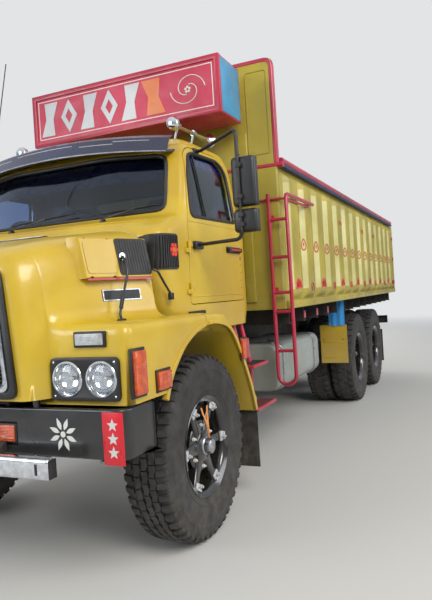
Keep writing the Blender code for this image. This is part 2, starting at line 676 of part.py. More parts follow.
def power_unit():
    """Engine, gearbox and radiator as plain blocks, resting on brackets on the rails."""
    low_rear = CAB_FRONT_Y - COWL_CLEARANCE
    side = [(ENGINE_FRONT_Y, ENGINE_BOTTOM_Z + COWL_CLEARANCE), (ENGINE_REAR_Y, ENGINE_BOTTOM_Z),
            (ENGINE_REAR_Y, ENGINE_UNDER_CAB_Z), (low_rear, ENGINE_UNDER_CAB_Z),
            (low_rear, ENGINE_TOP_Z), (ENGINE_FRONT_Y, ENGINE_TOP_Z)]
    engine = prism(side, -ENGINE_HALF_WIDTH, ENGINE_HALF_WIDTH, "x")
    gearbox = box(-GEARBOX_HALF_WIDTH, GEARBOX_HALF_WIDTH, ENGINE_REAR_Y - SINK, GEARBOX_REAR_Y,
                  GEARBOX_BOTTOM_Z, GEARBOX_TOP_Z)
    radiator_rear = RADIATOR_FRONT_Y + RADIATOR_THICKNESS
    radiator = box(-RADIATOR_HALF_WIDTH, RADIATOR_HALF_WIDTH, RADIATOR_FRONT_Y, radiator_rear,
                   RADIATOR_BOTTOM_Z, RADIATOR_TOP_Z)
    fan_z = (RADIATOR_BOTTOM_Z + RADIATOR_TOP_Z) / 2
    fan = rod((0.0, radiator_rear - SINK, fan_z), (0.0, ENGINE_FRONT_Y + SINK, fan_z),
              RADIATOR_HALF_WIDTH / 2, 12)
    foot_x = RAIL_OUTER_X - RAIL_FLANGE - SEAT_GAP
    foot = box(ENGINE_HALF_WIDTH - SINK, foot_x, ENGINE_FRONT_Y / 2,
               ENGINE_FRONT_Y / 2 + COWL_CLEARANCE, RAIL_TOP_Z - 2 * RAIL_THICKNESS, RAIL_TOP_Z)
    shapes = [engine, gearbox, radiator, fan] + both_sides(foot)
    return piece("engine_block", joined(shapes), ENGINE_GREEN)


def propshafts():
    """Shaft from the gearbox to the first driven axle, and on to the second."""
    z = TYRE_RADIUS
    front = (0.0, GEARBOX_REAR_Y + SEAT_GAP, (GEARBOX_TOP_Z + GEARBOX_BOTTOM_Z) / 2)
    rear = (0.0, BOGIE_START_Y - DIFF_NOSE - SEAT_GAP, z)
    piece("propshaft", tube([front, (0.0, front[1] + SHAFT_RADIUS, front[2]),
                             (0.0, rear[1] - SHAFT_RADIUS, rear[2]), rear], SHAFT_RADIUS, 10),
          CHASSIS_BLACK)


# Bumper and front bar

BAR_HALF_WIDTH = 0.86
BAR_BOTTOM_Z = 0.74
BAR_TOP_Z = 0.85
BAR_ROUND = 0.02
BAR_BRACKET_X = 0.40
BAR_BRACKET_WIDTH = 0.07


def bumper():
    """Deep black bumper, turned back at its ends."""
    half, thick = BUMPER_HALF_WIDTH, BUMPER_THICKNESS
    corner_y = BUMPER_FRONT_Y + BUMPER_CORNER
    outer = [(-half, BUMPER_RETURN_Y), (-half, corner_y),
             (-half + BUMPER_CORNER / 3, corner_y - BUMPER_CORNER * 0.7),
             (-half + BUMPER_CORNER, BUMPER_FRONT_Y)]
    outer += [(-x, y) for x, y in reversed(outer)]
    inner = [(half - thick, BUMPER_RETURN_Y), (half - thick, corner_y),
             (half - BUMPER_CORNER, BUMPER_FRONT_Y + thick)]
    inner += [(-x, y) for x, y in reversed(inner)]
    shell = prism(outer + inner, BUMPER_BOTTOM_Z, BUMPER_TOP_Z, "z")
    low = BONNET_HINGE_X + BONNET_HINGE_WIDTH + SEAT_GAP
    cheek = box(low, low + BONNET_HINGE_WIDTH, BONNET_PIVOT_Y - BONNET_HINGE_RADIUS / 2,
                BUMPER_FRONT_Y + thick - SINK, BUMPER_TOP_Z - SINK,
                BONNET_PIVOT_Z + BONNET_HINGE_RADIUS)
    return piece("bumper", joined([shell] + both_sides(cheek)), TRIM_BLACK)


def front_bar():
    """Low bright bar on two brackets below the bumper."""
    depth = FRONT_BAR_DEPTH
    section = shifted(rounded(depth, BAR_TOP_Z - BAR_BOTTOM_Z, BAR_ROUND),
                      FRONT_BAR_Y + depth / 2, (BAR_TOP_Z + BAR_BOTTOM_Z) / 2)
    bar = prism(section, -BAR_HALF_WIDTH, BAR_HALF_WIDTH, "x")
    low, high = BAR_BRACKET_X - BAR_BRACKET_WIDTH / 2, BAR_BRACKET_X + BAR_BRACKET_WIDTH / 2
    back = FRONT_BAR_Y + depth - SINK
    web = [(back, BAR_BOTTOM_Z + BAR_ROUND), (BUMPER_FRONT_Y - SEAT_GAP, BAR_TOP_Z - BAR_ROUND),
           (BUMPER_FRONT_Y - SEAT_GAP, BAR_TOP_Z + 2 * BAR_ROUND), (back, BAR_TOP_Z - BAR_ROUND)]
    shapes = [bar] + both_sides(prism(web, low, high, "x"))
    return piece("front_bar", joined(shapes), ALUMINIUM)


# Cab.  Shares of its height, length from the cowl seam, and half width.

CAB_RING_SHARES = (
    # height, nose, crown, nose width, shoulder, side width, rear
    (0.000, 0.149, 0.000, 0.903, 0.216, 0.986, 0.993),
    (0.122, 0.027, 0.014, 0.940, 0.122, 1.000, 1.000),
    (0.442, 0.000, 0.014, 0.949, 0.115, 1.000, 1.000),
    (0.524, 0.041, 0.080, 0.922, 0.196, 0.990, 0.993),
    (0.558, 0.142, 0.080, 0.894, 0.240, 0.980, 0.986),
    (0.878, 0.290, 0.080, 0.829, 0.390, 0.917, 0.973),
    (0.955, 0.385, 0.068, 0.760, 0.480, 0.850, 0.940),
    (0.988, 0.470, 0.050, 0.660, 0.540, 0.740, 0.900),
    (1.000, 0.570, 0.030, 0.480, 0.610, 0.550, 0.830),
)
DOOR_SHARES = (
    # length, height
    (0.000, 0.000), (0.031, 0.491), (0.082, 0.540), (0.230, 0.940), (0.306, 0.985),
    (0.800, 1.000), (0.890, 0.980), (0.955, 0.914), (0.990, 0.767), (1.000, 0.550), (1.000, 0.000),
)
DOOR_WINDOW_SHARES = (
    # length, height
    (0.127, 0.528), (0.201, 0.797), (0.273, 0.925), (0.330, 0.945), (0.790, 0.961),
    (0.878, 0.925), (0.915, 0.866), (0.935, 0.541),
)
SCREEN_SHARES = (
    # half width, height
    (1.000, 0.040), (0.958, 0.880), (0.905, 0.960), (0.480, 1.000),
    (-0.480, 1.000), (-0.905, 0.960), (-0.958, 0.880), (-1.000, 0.040),
    (-0.480, 0.000), (0.480, 0.000),
)
CAB_CORNER_SHARE = 0.07


def cab_skin(inset=0.0, floor=None, roof=None):
    """The cab's outer shape, or a smaller one inside it by an inset."""
    rings = []
    for height, nose, crown, nose_width, shoulder, width, rear in CAB_RING_SHARES:
        z = CAB_BOTTOM_Z + height * CAB_HEIGHT
        z = min(max(z, floor or z), roof or z)
        nose_y = CAB_FRONT_Y + nose * CAB_LENGTH + inset
        crown_y = nose_y + crown * CAB_LENGTH
        shoulder_y = CAB_FRONT_Y + shoulder * CAB_LENGTH + inset
        rear_y = CAB_FRONT_Y + rear * CAB_LENGTH - inset
        nose_x = nose_width * CAB_HALF_WIDTH - inset
        side_x = width * CAB_HALF_WIDTH - inset
        corner = CAB_CORNER_SHARE * CAB_HALF_WIDTH
        half = [(nose_x / 2, nose_y), (nose_x, crown_y), (side_x, shoulder_y),
                (side_x, rear_y - corner), (side_x - corner, rear_y)]
        ring = half + [(-x, y) for x, y in reversed(half)]
        rings.append([(x, y, z) for x, y in ring])
    return loft(rings)


def door_outline(shares):
    return [(DOOR_FRONT_Y + along * DOOR_LENGTH, DOOR_SILL_Z + up * DOOR_HEIGHT)
            for along, up in shares]


def screen_outline():
    return [(across * SCREEN_HALF_WIDTH, SCREEN_BASE_Z + up * SCREEN_HEIGHT)
            for across, up in SCREEN_SHARES]


def rear_window_outline():
    outline = rounded(2 * REAR_WINDOW_HALF_WIDTH, REAR_WINDOW_HEIGHT, CAB_WALL)
    return shifted(outline, 0.0, REAR_WINDOW_BASE_Z + REAR_WINDOW_HEIGHT / 2)


def cab_wall():
    """The cab's wall with nothing cut in it."""
    inside = cab_skin(CAB_WALL, CAB_BOTTOM_Z + CAB_WALL, CAB_TOP_Z - CAB_WALL)
    return cut(cab_skin(), [inside])


def glass_sheet(cutter):
    """Glass in the middle of the cab's wall, as far as a cutter reaches."""
    outer_inset = (CAB_WALL - GLASS_THICKNESS) / 2
    outer = cab_skin(outer_inset)
    inner = cab_skin(outer_inset + GLASS_THICKNESS)
    inner_low = box(-CAB_HALF_WIDTH, CAB_HALF_WIDTH, CAB_FRONT_Y, CAB_REAR_Y,
                    CAB_BOTTOM_Z - OVERRUN, DOOR_SILL_Z)
    return common(cut(outer, [inner, inner_low]), cutter)


HORN_X = 0.755
HORN_Z = 2.965
HORN_FRONT_Y = 0.50
HORN_LENGTH = 0.70
HORN_MOUTH_RADIUS = 0.065
HORN_TUBE_RADIUS = 0.018
HORN_BELL_RADIUS = 0.055
HORN_POST_YS = (0.62, 0.90)


def roof_horns():
    """Trumpets with a round bell in front, on two posts each."""
    neck = HORN_FRONT_Y + HORN_BELL_RADIUS
    end = HORN_FRONT_Y + HORN_LENGTH
    flare = end - HORN_MOUTH_RADIUS * 2
    profile = [(0.0, HORN_FRONT_Y), (HORN_BELL_RADIUS * 0.7, HORN_FRONT_Y + HORN_BELL_RADIUS * 0.3),
               (HORN_BELL_RADIUS, neck), (HORN_TUBE_RADIUS, neck + HORN_BELL_RADIUS),
               (HORN_TUBE_RADIUS * 1.5, flare), (HORN_MOUTH_RADIUS, end),
               (HORN_MOUTH_RADIUS * 0.8, end), (0.0, flare)]
    shapes = both_sides(turned(profile, (HORN_X, 0.0, HORN_Z), "y", 8))
    for y in HORN_POST_YS:
        foot = (HORN_X - HORN_BELL_RADIUS, y, CAB_TOP_Z - 2 * CAB_WALL)
        shapes += both_sides(rod((HORN_X, y, HORN_Z), foot, HORN_TUBE_RADIUS * 0.7, 6))
    return shapes


HANDLE_Y = 0.80
HANDLE_Z = 1.96
HANDLE_LENGTH = 0.26
HANDLE_DEPTH = 0.03
HANDLE_HEIGHT = 0.035
MIRROR_PIPE = 0.013
MIRROR_BAR_X = 1.47
MIRROR_BAR_Y = 0.03
MIRROR_FACE_DEPTH = 0.07
MIRROR_INNER_X = 1.445
MIRROR_ROUND = 0.03
HINGE_OUT = 0.012
HINGE_RADIUS = 0.0115
HINGE_LENGTH = 0.04
HINGE_LEAF = 0.05
HINGE_HEIGHT_SHARES = (0.06, 0.30)
DOOR_PIVOT_X = CAB_HALF_WIDTH + HINGE_OUT
DOOR_PIVOT_Y = DOOR_FRONT_Y + PANEL_GAP
MIRROR_HOUSINGS = (
    # low z, high z
    (2.17, 2.49),
    (2.005, 2.155),
)
UPPER_ARM_Y = 0.42
UPPER_ARM_Z = 2.685
LOWER_ARM_Y = 0.13
LOWER_ARM_Z = 1.97
ARM_ROOT_X_SHARES = (0.90, 1.0)


def mirror_frame():
    """Pipe bracket with a tall housing and a small one, as joined shapes."""
    top_x = CAB_HALF_WIDTH * ARM_ROOT_X_SHARES[0]
    low_x = CAB_HALF_WIDTH * ARM_ROOT_X_SHARES[1]
    root = MIRROR_PIPE * 2
    pipe = tube([(top_x - root, UPPER_ARM_Y, UPPER_ARM_Z), (top_x + 2 * root, UPPER_ARM_Y, UPPER_ARM_Z),
                 (MIRROR_BAR_X - root, MIRROR_BAR_Y, UPPER_ARM_Z),
                 (MIRROR_BAR_X, MIRROR_BAR_Y, UPPER_ARM_Z - root),
                 (MIRROR_BAR_X, MIRROR_BAR_Y, LOWER_ARM_Z + root),
                 (MIRROR_BAR_X - root, MIRROR_BAR_Y, LOWER_ARM_Z),
                 (low_x + 2 * root, LOWER_ARM_Y, LOWER_ARM_Z), (low_x - root, LOWER_ARM_Y, LOWER_ARM_Z)],
                MIRROR_PIPE, 8)
    shapes = [pipe]
    middle = (MIRROR_OUTER_X + MIRROR_INNER_X) / 2
    for low, high in MIRROR_HOUSINGS:
        face = shifted(rounded(MIRROR_OUTER_X - MIRROR_INNER_X, high - low, MIRROR_ROUND),
                       middle, (low + high) / 2)
        shapes.append(prism(face, MIRROR_BAR_Y - MIRROR_FACE_DEPTH, MIRROR_BAR_Y, "y"))
    return shapes


def door_hinges(on_door):
    """Knuckles on the door's axis with their leaves, the door's above the cab's."""
    shapes = []
    for share in HINGE_HEIGHT_SHARES:
        seam = DOOR_SILL_Z + share * DOOR_HEIGHT + HINGE_LENGTH
        low = seam + SEAT_GAP if on_door else seam - HINGE_LENGTH
        high = seam + HINGE_LENGTH if on_door else seam
        side = 1 if on_door else -1
        shapes.append(rod((DOOR_PIVOT_X, DOOR_PIVOT_Y, low), (DOOR_PIVOT_X, DOOR_PIVOT_Y, high),
                          HINGE_RADIUS, 8))
        near, middle, far = (DOOR_PIVOT_Y + side * d
                             for d in (HINGE_RADIUS / 2, HINGE_LEAF / 2, HINGE_LEAF))
        sunk, proud = CAB_HALF_WIDTH - SINK, CAB_HALF_WIDTH + 2 * SEAT_GAP
        outer = DOOR_PIVOT_X + HINGE_RADIUS / 2
        leaf = [(proud, near), (outer, near), (outer, far), (sunk, far), (sunk, middle),
                (proud, middle)]
        shapes.append(prism(leaf, low + SINK, high - SINK, "z"))
    return shapes


def doors_and_cab():
    """Cab wall, the doors cut out of it, and all the windows."""
    wall = cab_wall()
    side_low, side_high = CAB_HALF_WIDTH * 0.7, CAB_HALF_WIDTH + OVERRUN
    opening = door_outline(DOOR_SHARES)
    window = door_outline(DOOR_WINDOW_SHARES)
    door_cutter = prism(opening, side_low, side_high, "x")
    leaf = common(wall.copy(), prism(shrunk(opening, PANEL_GAP), side_low, side_high, "x"))
    leaf = cut(leaf, [prism(window, side_low, side_high, "x")])
    front_reach = CAB_FRONT_Y + CAB_LENGTH / 2
    cutters = both_sides(door_cutter)
    cutters.append(prism(screen_outline(), CAB_FRONT_Y - OVERRUN, front_reach, "y"))
    cutters.append(prism(rear_window_outline(), CAB_REAR_Y - 3 * CAB_WALL,
                         CAB_REAR_Y + OVERRUN, "y"))
    shell = cut(wall, cutters)
    fixed_hinges = [side for shape in door_hinges(False) for side in both_sides(shape)]
    cab = piece("cab_shell", joined([shell] + roof_horns() + fixed_hinges), YELLOW)

    bar_low = HANDLE_Y - HANDLE_LENGTH / 2
    handle = box(CAB_HALF_WIDTH - CAB_WALL / 2, CAB_HALF_WIDTH + HANDLE_DEPTH, bar_low,
                 bar_low + HANDLE_LENGTH, HANDLE_Z - HANDLE_HEIGHT / 2, HANDLE_Z + HANDLE_HEIGHT / 2)
    at = (DOOR_PIVOT_X, DOOR_PIVOT_Y, DOOR_SILL_Z)
    doors = pair("door", joined([leaf, handle] + door_hinges(True)), YELLOW, at=at)
    pane = glass_sheet(prism(shrunk(window, SEAT_GAP), side_low, side_high, "x"))
    pair("door_glass", pane, GLASS, doors, at)
    screen = glass_sheet(prism(shrunk(screen_outline(), SEAT_GAP), CAB_FRONT_Y - OVERRUN,
                               front_reach, "y"))
    piece("windscreen", screen, GLASS)
    back = glass_sheet(prism(shrunk(rear_window_outline(), SEAT_GAP), CAB_REAR_Y - 3 * CAB_WALL,
                             CAB_REAR_Y + OVERRUN, "y"))
    piece("rear_window", back, GLASS)
    frame = joined(mirror_frame())
    skin_cutter = cab_skin(-2 * SEAT_GAP)
    pair("mirror", cut(frame, [skin_cutter]), TRIM_BLACK, doors, at)
    return cab


VISOR_HALF_WIDTH = 0.92
VISOR_THICKNESS = 0.015
VISOR_REAR_Y = 0.40
VISOR_REACH = 0.46
VISOR_DROP = 0.08
VISOR_SIDE_SETBACK = 0.16


def sun_visor():
    """Peak over the windscreen, seated on the front of the roof."""
    rings = []
    for share in (-1.0, -0.9, -0.5, 0.0, 0.5, 0.9, 1.0):
        x = share * VISOR_HALF_WIDTH
        back = VISOR_SIDE_SETBACK * share * share
        rear_y = VISOR_REAR_Y + back
        front_y = rear_y - VISOR_REACH
        top = VISOR_TOP_Z - VISOR_DROP * share * share / 2
        low = top - VISOR_DROP
        rings.append([(x, rear_y, top), (x, front_y, low), (x, front_y, low - VISOR_THICKNESS),
                      (x, rear_y, top - VISOR_THICKNESS)])
    blade = cut(loft(rings), [cab_skin(-2 * SEAT_GAP)])
    return piece("sun_visor", blade, BLUE)


VISOR_TOP_Z = CAB_TOP_Z - 0.07

DASH_REAR_Y = 0.30
DASH_TOP_Z = 2.14
DASH_BOTTOM_Z = 1.80
DASH_HALF_WIDTH = CAB_HALF_WIDTH * 0.90
SEAT_CENTRE_X = 0.48
SEAT_WIDTH = 0.50
SEAT_FRONT_Y = 0.48
SEAT_DEPTH = 0.46
SEAT_BASE_Z = CAB_BOTTOM_Z + CAB_WALL
SEAT_TOP_Z = 1.86
SEAT_CUSHION = 0.14
SEAT_BACK_TOP_Z = 2.48
SEAT_BACK_RAKE = 0.10
SEAT_ROUND = 0.04
COLUMN_X = -0.48
STEERING_RADIUS = 0.23
STEERING_PIPE = 0.016
STEERING_CENTRE_Y = 0.34
STEERING_CENTRE_Z = 2.14
STEERING_TILT = math.radians(50)
COLUMN_RADIUS = 0.03
COLUMN_LENGTH = 0.18


def dashboard():
    """Panel under the windscreen, with the fixed part of the steering column."""
    low_front = DASH_BOTTOM_Z + CAB_WALL
    section = [(CAB_FRONT_Y, low_front), (DASH_REAR_Y - 2 * CAB_WALL, DASH_BOTTOM_Z),
               (DASH_REAR_Y, DASH_TOP_Z - 2 * CAB_WALL), (DASH_REAR_Y - CAB_WALL, DASH_TOP_Z),
               (CAB_FRONT_Y, DASH_TOP_Z)]
    panel = prism(section, -CAB_HALF_WIDTH, CAB_HALF_WIDTH, "x")
    room = cab_skin(CAB_WALL + SEAT_GAP, SEAT_BASE_Z, CAB_TOP_Z - CAB_WALL)
    panel = common(panel, room)
    for side in (1, -1):
        keep_out = box(side * DASH_HALF_WIDTH, side * (CAB_HALF_WIDTH + OVERRUN),
                       DOOR_FRONT_Y - PANEL_GAP, DASH_REAR_Y + OVERRUN, DASH_BOTTOM_Z - OVERRUN,
                       DASH_TOP_Z + OVERRUN)
        panel = cut(panel, [keep_out])
    column = rod(steering_point(-COLUMN_LENGTH), steering_point(-STEERING_PIPE - SEAT_GAP),
                 COLUMN_RADIUS, 10)
    return piece("dashboard", joined([panel, column]), TRIM_BLACK)


def steering_point(along):
    """A point on the steering column's axis, measured from the wheel's middle."""
    return (COLUMN_X, STEERING_CENTRE_Y + along * math.cos(STEERING_TILT),
            STEERING_CENTRE_Z + along * math.sin(STEERING_TILT))


def steering_wheel():
    """Thin-rimmed wheel with three spokes, turning on its column."""
    bm = bmesh.new()
    section = [bm.verts.new((STEERING_RADIUS + STEERING_PIPE * math.cos(math.tau * k / 6), 0.0,
                             STEERING_PIPE * math.sin(math.tau * k / 6))) for k in range(6)]
    edges = [bm.edges.new((section[k], section[(k + 1) % 6])) for k in range(6)]
    bmesh.ops.spin(bm, geom=section + edges, cent=(0, 0, 0), axis=(0, 0, 1), angle=math.tau,
                   steps=20, use_merge=True)
    bmesh.ops.recalc_face_normals(bm, faces=bm.faces)
    shapes = [bm, rod((0, 0, -STEERING_PIPE), (0, 0, STEERING_PIPE), COLUMN_RADIUS * 1.5, 12)]
    for k in range(3):
        turn = math.tau * k / 3 + math.pi / 2
        end = (STEERING_RADIUS * math.cos(turn), STEERING_RADIUS * math.sin(turn), 0.0)
        shapes.append(rod((0, 0, 0), end, STEERING_PIPE * 0.6, 6))
    wheel = joined(shapes)
    lean = Matrix.Rotation(STEERING_TILT - math.pi / 2, 4, "X")
    centre = Vector(steering_point(0.0))
    bmesh.ops.transform(wheel, matrix=Matrix.Translation(centre) @ lean, verts=wheel.verts)
    return piece("steering_wheel", wheel, TRIM_BLACK, at=tuple(centre))


def seats():
    """Two seats on boxes, joined by the low frame between them."""
    front, depth = SEAT_FRONT_Y, SEAT_DEPTH
    rear = front + depth
    side = [(front + SEAT_ROUND, SEAT_BASE_Z + SEAT_GAP), (rear, SEAT_BASE_Z + SEAT_GAP),
            (rear, SEAT_TOP_Z - SEAT_CUSHION), (rear + SEAT_BACK_RAKE, SEAT_BACK_TOP_Z),
            (rear + SEAT_BACK_RAKE - SEAT_CUSHION / 2, SEAT_BACK_TOP_Z + SEAT_ROUND / 2),
            (rear - SEAT_CUSHION, SEAT_TOP_Z), (front + SEAT_ROUND, SEAT_TOP_Z),
            (front, SEAT_TOP_Z - SEAT_ROUND), (front, SEAT_TOP_Z - SEAT_CUSHION),
            (front + SEAT_ROUND, SEAT_TOP_Z - SEAT_CUSHION)]
    half = SEAT_WIDTH / 2
    seat = prism(side, SEAT_CENTRE_X - half, SEAT_CENTRE_X + half, "x")
    link = box(-SEAT_CENTRE_X, SEAT_CENTRE_X, rear - 4 * SEAT_ROUND, rear - SEAT_ROUND,
               SEAT_BASE_Z + SEAT_GAP, SEAT_BASE_Z + 2 * SEAT_ROUND)
    return piece("seats", joined(both_sides(seat) + [link]), SEAT_CLOTH)


# Bonnet and wings.  Shares of the bonnet's length, the cab's half width and its height.

BONNET_RING_SHARES = (
    # length, low width, shoulder width, top width, shoulder height, top height
    (0.000, 0.604, 0.555, 0.450, 0.700, 0.810),
    (0.100, 0.645, 0.605, 0.510, 0.740, 0.860),
    (0.500, 0.800, 0.755, 0.640, 0.830, 0.945),
    (1.000, 0.945, 0.895, 0.770, 0.880, 1.000),
)
ARCH_SHARES = (
    # length from the axle, height above the tail
    (-0.848, 0.460), (-0.760, 0.620), (-0.632, 0.752), (-0.467, 0.872), (-0.191, 0.971),
    (0.042, 1.000), (0.284, 0.971), (0.438, 0.910), (0.590, 0.760), (0.740, 0.540),
    (0.882, 0.300), (0.958, 0.120), (1.000, 0.000),
)
VENT_FRONT_Y = -0.82
VENT_REAR_Y = -0.37
VENT_LOW_Z = 1.755
VENT_HIGH_Z = 1.995
VENT_FRONT_X = 0.85
VENT_REAR_X = 1.028
GRILLE_HALF_WIDTH_LOW = 0.56
GRILLE_HALF_WIDTH_TOP = 0.50
GRILLE_LOW_Z = 1.165
GRILLE_TOP_Z = 1.80
LAMP_PANEL_LOW_X = 0.735
LAMP_PANEL_HIGH_X = 1.172
LAMP_PANEL_LOW_Z = 1.105
LAMP_PANEL_HIGH_Z = 1.335
LAMP_RADIUS = 0.088
LAMP_XS = (0.845, 1.062)
LAMP_Z = 1.22
LAMP_BOWL_DEPTH = 0.07
ARCH_LIP_WIDTH = 0.03
ARCH_LIP_PROUD = 0.008
MARKER_DEPTH = 0.03
MARKER_ROUND = 0.02
WING_MARKERS = (
    # front y, rear y, low z, high z
    (-0.985, -0.875, 1.125, 1.356),
    (-0.745, -0.600, 1.130, 1.214),
)
TAIL_MARKER = (0.50, 0.61, 1.13, 1.28)


def arch_points():
    return [(FRONT_AXLE_Y + along * ARCH_HALF_LENGTH, ARCH_TAIL_Z + up * (ARCH_TOP_Z - ARCH_TAIL_Z))
            for along, up in ARCH_SHARES]


def arch_part(front_y, rear_y):
    """The arch between two places along the truck, with a point at each of them."""
    points = arch_points()

    def height(y):
        for (near_y, near_z), (far_y, far_z) in zip(points, points[1:]):
            if near_y <= y <= far_y:
                return near_z + (far_z - near_z) * (y - near_y) / (far_y - near_y)
        return points[-1][1]

    between = [(y, z) for y, z in points if front_y < y < rear_y]
    return [(front_y, height(front_y))] + between + [(rear_y, height(rear_y))]


def moved_out(points, distance):
    """An open outline of the arch moved away from the wheel, or towards it."""
    result = []
    for i, (y, z) in enumerate(points):
        before, after = points[max(i - 1, 0)], points[min(i + 1, len(points) - 1)]
        along = (Vector(after) - Vector(before)).normalized()
        result.append((y - along.y * distance, z + along.x * distance))
    return result


def arch_lip(points):
    """Flange round a wheel arch, standing out of the wing, before the arch is cut."""
    strip = moved_out(points, -SINK) + list(reversed(moved_out(points, ARCH_LIP_WIDTH)))
    return prism(strip, WING_OUTER_X - WING_THICKNESS, WING_OUTER_X + ARCH_LIP_PROUD, "x")


def marker_lamp(front_y, rear_y, low_z, high_z):
    """Side lamp with round corners on the outer face of a wing."""
    face = shifted(rounded(rear_y - front_y, high_z - low_z, MARKER_ROUND, 2),
                   (front_y + rear_y) / 2, (low_z + high_z) / 2)
    return prism(face, WING_OUTER_X - SINK, WING_OUTER_X + MARKER_DEPTH, "x")


def bonnet_body(inset=0.0, drop=0.0):
    """Hood between the wings, or the smaller shape inside it."""
    length = CAB_FRONT_Y - BONNET_SEAM_GAP - BONNET_FRONT_Y
    height = BONNET_REAR_TOP_Z - BONNET_BOTTOM_Z
    last = len(BONNET_RING_SHARES) - 1
    rings = []
    for i, (along, low, shoulder, top, shoulder_up, top_up) in enumerate(BONNET_RING_SHARES):
        y = BONNET_FRONT_Y + along * length
        y += inset if i == 0 else 0.0
        y += OVERRUN if inset and i == last else 0.0
        half = [(low * CAB_HALF_WIDTH - inset, BONNET_BOTTOM_Z - drop),
                (low * CAB_HALF_WIDTH - inset, (BONNET_BOTTOM_Z + WING_TOP_Z) / 2),
                (shoulder * CAB_HALF_WIDTH - inset, BONNET_BOTTOM_Z + shoulder_up * height - inset / 2),
                (top * CAB_HALF_WIDTH - inset / 2, BONNET_BOTTOM_Z + top_up * height - inset),
                ]
        ring = half + [(-x, z) for x, z in reversed(half)]
        rings.append([(x, y, z) for x, z in ring])
    return loft(rings)


def wing_block(inset=0.0):
    """Box of both front wings across the truck, its outer top edges rounded."""
    half = WING_OUTER_X - inset
    top = WING_TOP_Z - inset
    low = WING_BOTTOM_Z - (OVERRUN if inset else 0.0)
    cut_off = WING_ROUND
    section = [(-half, low), (half, low), (half, top - cut_off), (half - cut_off * 0.3, top - cut_off * 0.3),
               (half - cut_off, top), (-half + cut_off, top),
               (-half + cut_off * 0.3, top - cut_off * 0.3), (-half, top - cut_off)]
    rear = WING_SPLIT_Y + (OVERRUN if inset else 0.0)
    return prism(section, WING_FRONT_Y + inset, rear, "y")


def bonnet_lug():
    """Hinge lug from the nose's lower edge back to the pivot, beside a cheek on the bumper."""
    radius = BONNET_HINGE_RADIUS
    nose = BONNET_FRONT_Y + BONNET_WALL
    eye = [(BONNET_PIVOT_Y + radius * math.cos(turn), BONNET_PIVOT_Z + radius * math.sin(turn))
           for turn in (math.pi / 2, math.pi / 4, 0.0, -math.pi / 4, -math.pi / 2)]
    outline = eye + [(nose - SINK, BONNET_BOTTOM_Z + SINK),
                     (nose - SINK, BONNET_BOTTOM_Z + BONNET_HINGE_WIDTH)]
    return prism(outline, BONNET_HINGE_X, BONNET_HINGE_X + BONNET_HINGE_WIDTH, "x")


def bonnet():
    """Tilting bonnet: hood, front wings, vents, and openings for grille and lamps."""
    vent = loft([[(VENT_FRONT_X - VENT_DEPTH, VENT_FRONT_Y, VENT_LOW_Z),
                  (VENT_FRONT_X, VENT_FRONT_Y, VENT_LOW_Z), (VENT_FRONT_X - VENT_LEAN, VENT_FRONT_Y, VENT_HIGH_Z),
                  (VENT_FRONT_X - VENT_DEPTH, VENT_FRONT_Y, VENT_HIGH_Z)],
                 [(VENT_REAR_X - VENT_DEPTH, VENT_REAR_Y, VENT_LOW_Z),
                  (VENT_REAR_X, VENT_REAR_Y, VENT_LOW_Z), (VENT_REAR_X - VENT_LEAN, VENT_REAR_Y, VENT_HIGH_Z),
                  (VENT_REAR_X - VENT_DEPTH, VENT_REAR_Y, VENT_HIGH_Z)]])
    lip = arch_lip(arch_part(arch_points()[0][0], WING_SPLIT_Y - PANEL_GAP))
    solid = joined([bonnet_body(), wing_block()] + both_sides(vent) + both_sides(lip))
    cab_room = box(-CAB_HALF_WIDTH - BONNET_SEAM_GAP, CAB_HALF_WIDTH + BONNET_SEAM_GAP,
                   CAB_FRONT_Y - BONNET_SEAM_GAP, WING_SPLIT_Y + OVERRUN,
                   WING_BOTTOM_Z - OVERRUN, BONNET_REAR_TOP_Z + OVERRUN)
    inside = [bonnet_body(BONNET_WALL, OVERRUN), wing_block(BONNET_WALL), cab_room]
    arch = arch_points()
    arch_front = [(y, z) for y, z in arch if y < 0.6 * ARCH_HALF_LENGTH]
    arch_cutter = prism(arch_front + [(WING_SPLIT_Y + 2 * OVERRUN, WING_BOTTOM_Z - 2 * OVERRUN),
                                      (arch_front[0][0], WING_BOTTOM_Z - 2 * OVERRUN)],
                        WING_OUTER_X / 2, WING_OUTER_X + OVERRUN, "x")
    grille_hole = prism([(-GRILLE_HALF_WIDTH_LOW, GRILLE_LOW_Z), (GRILLE_HALF_WIDTH_LOW, GRILLE_LOW_Z),
                         (GRILLE_HALF_WIDTH_TOP, GRILLE_TOP_Z), (-GRILLE_HALF_WIDTH_TOP, GRILLE_TOP_Z)],
                        BONNET_FRONT_Y - OVERRUN, BONNET_FRONT_Y + 2 * OVERRUN, "y")
    lamp_holes = [rod((x, WING_FRONT_Y - OVERRUN, LAMP_Z), (x, WING_FRONT_Y + OVERRUN, LAMP_Z),
                      LAMP_RADIUS, 16) for x in LAMP_XS]
    cutters = inside + both_sides(arch_cutter) + [grille_hole]
    for hole in lamp_holes:
        cutters += both_sides(hole)
    lamps = [side for place in WING_MARKERS for side in both_sides(marker_lamp(*place))]
    shell = joined([cut(solid, cutters)] + both_sides(bonnet_lug()) + lamps)
    at = (0.0, BONNET_PIVOT_Y, BONNET_PIVOT_Z)
    return piece("bonnet", shell, YELLOW, at=at)


VENT_DEPTH = 0.12
VENT_LEAN = 0.045
GRILLE_FRAME = 0.055
GRILLE_DEPTH = 0.035
GRILLE_SLATS = 9
SLAT_HEIGHT = 0.016


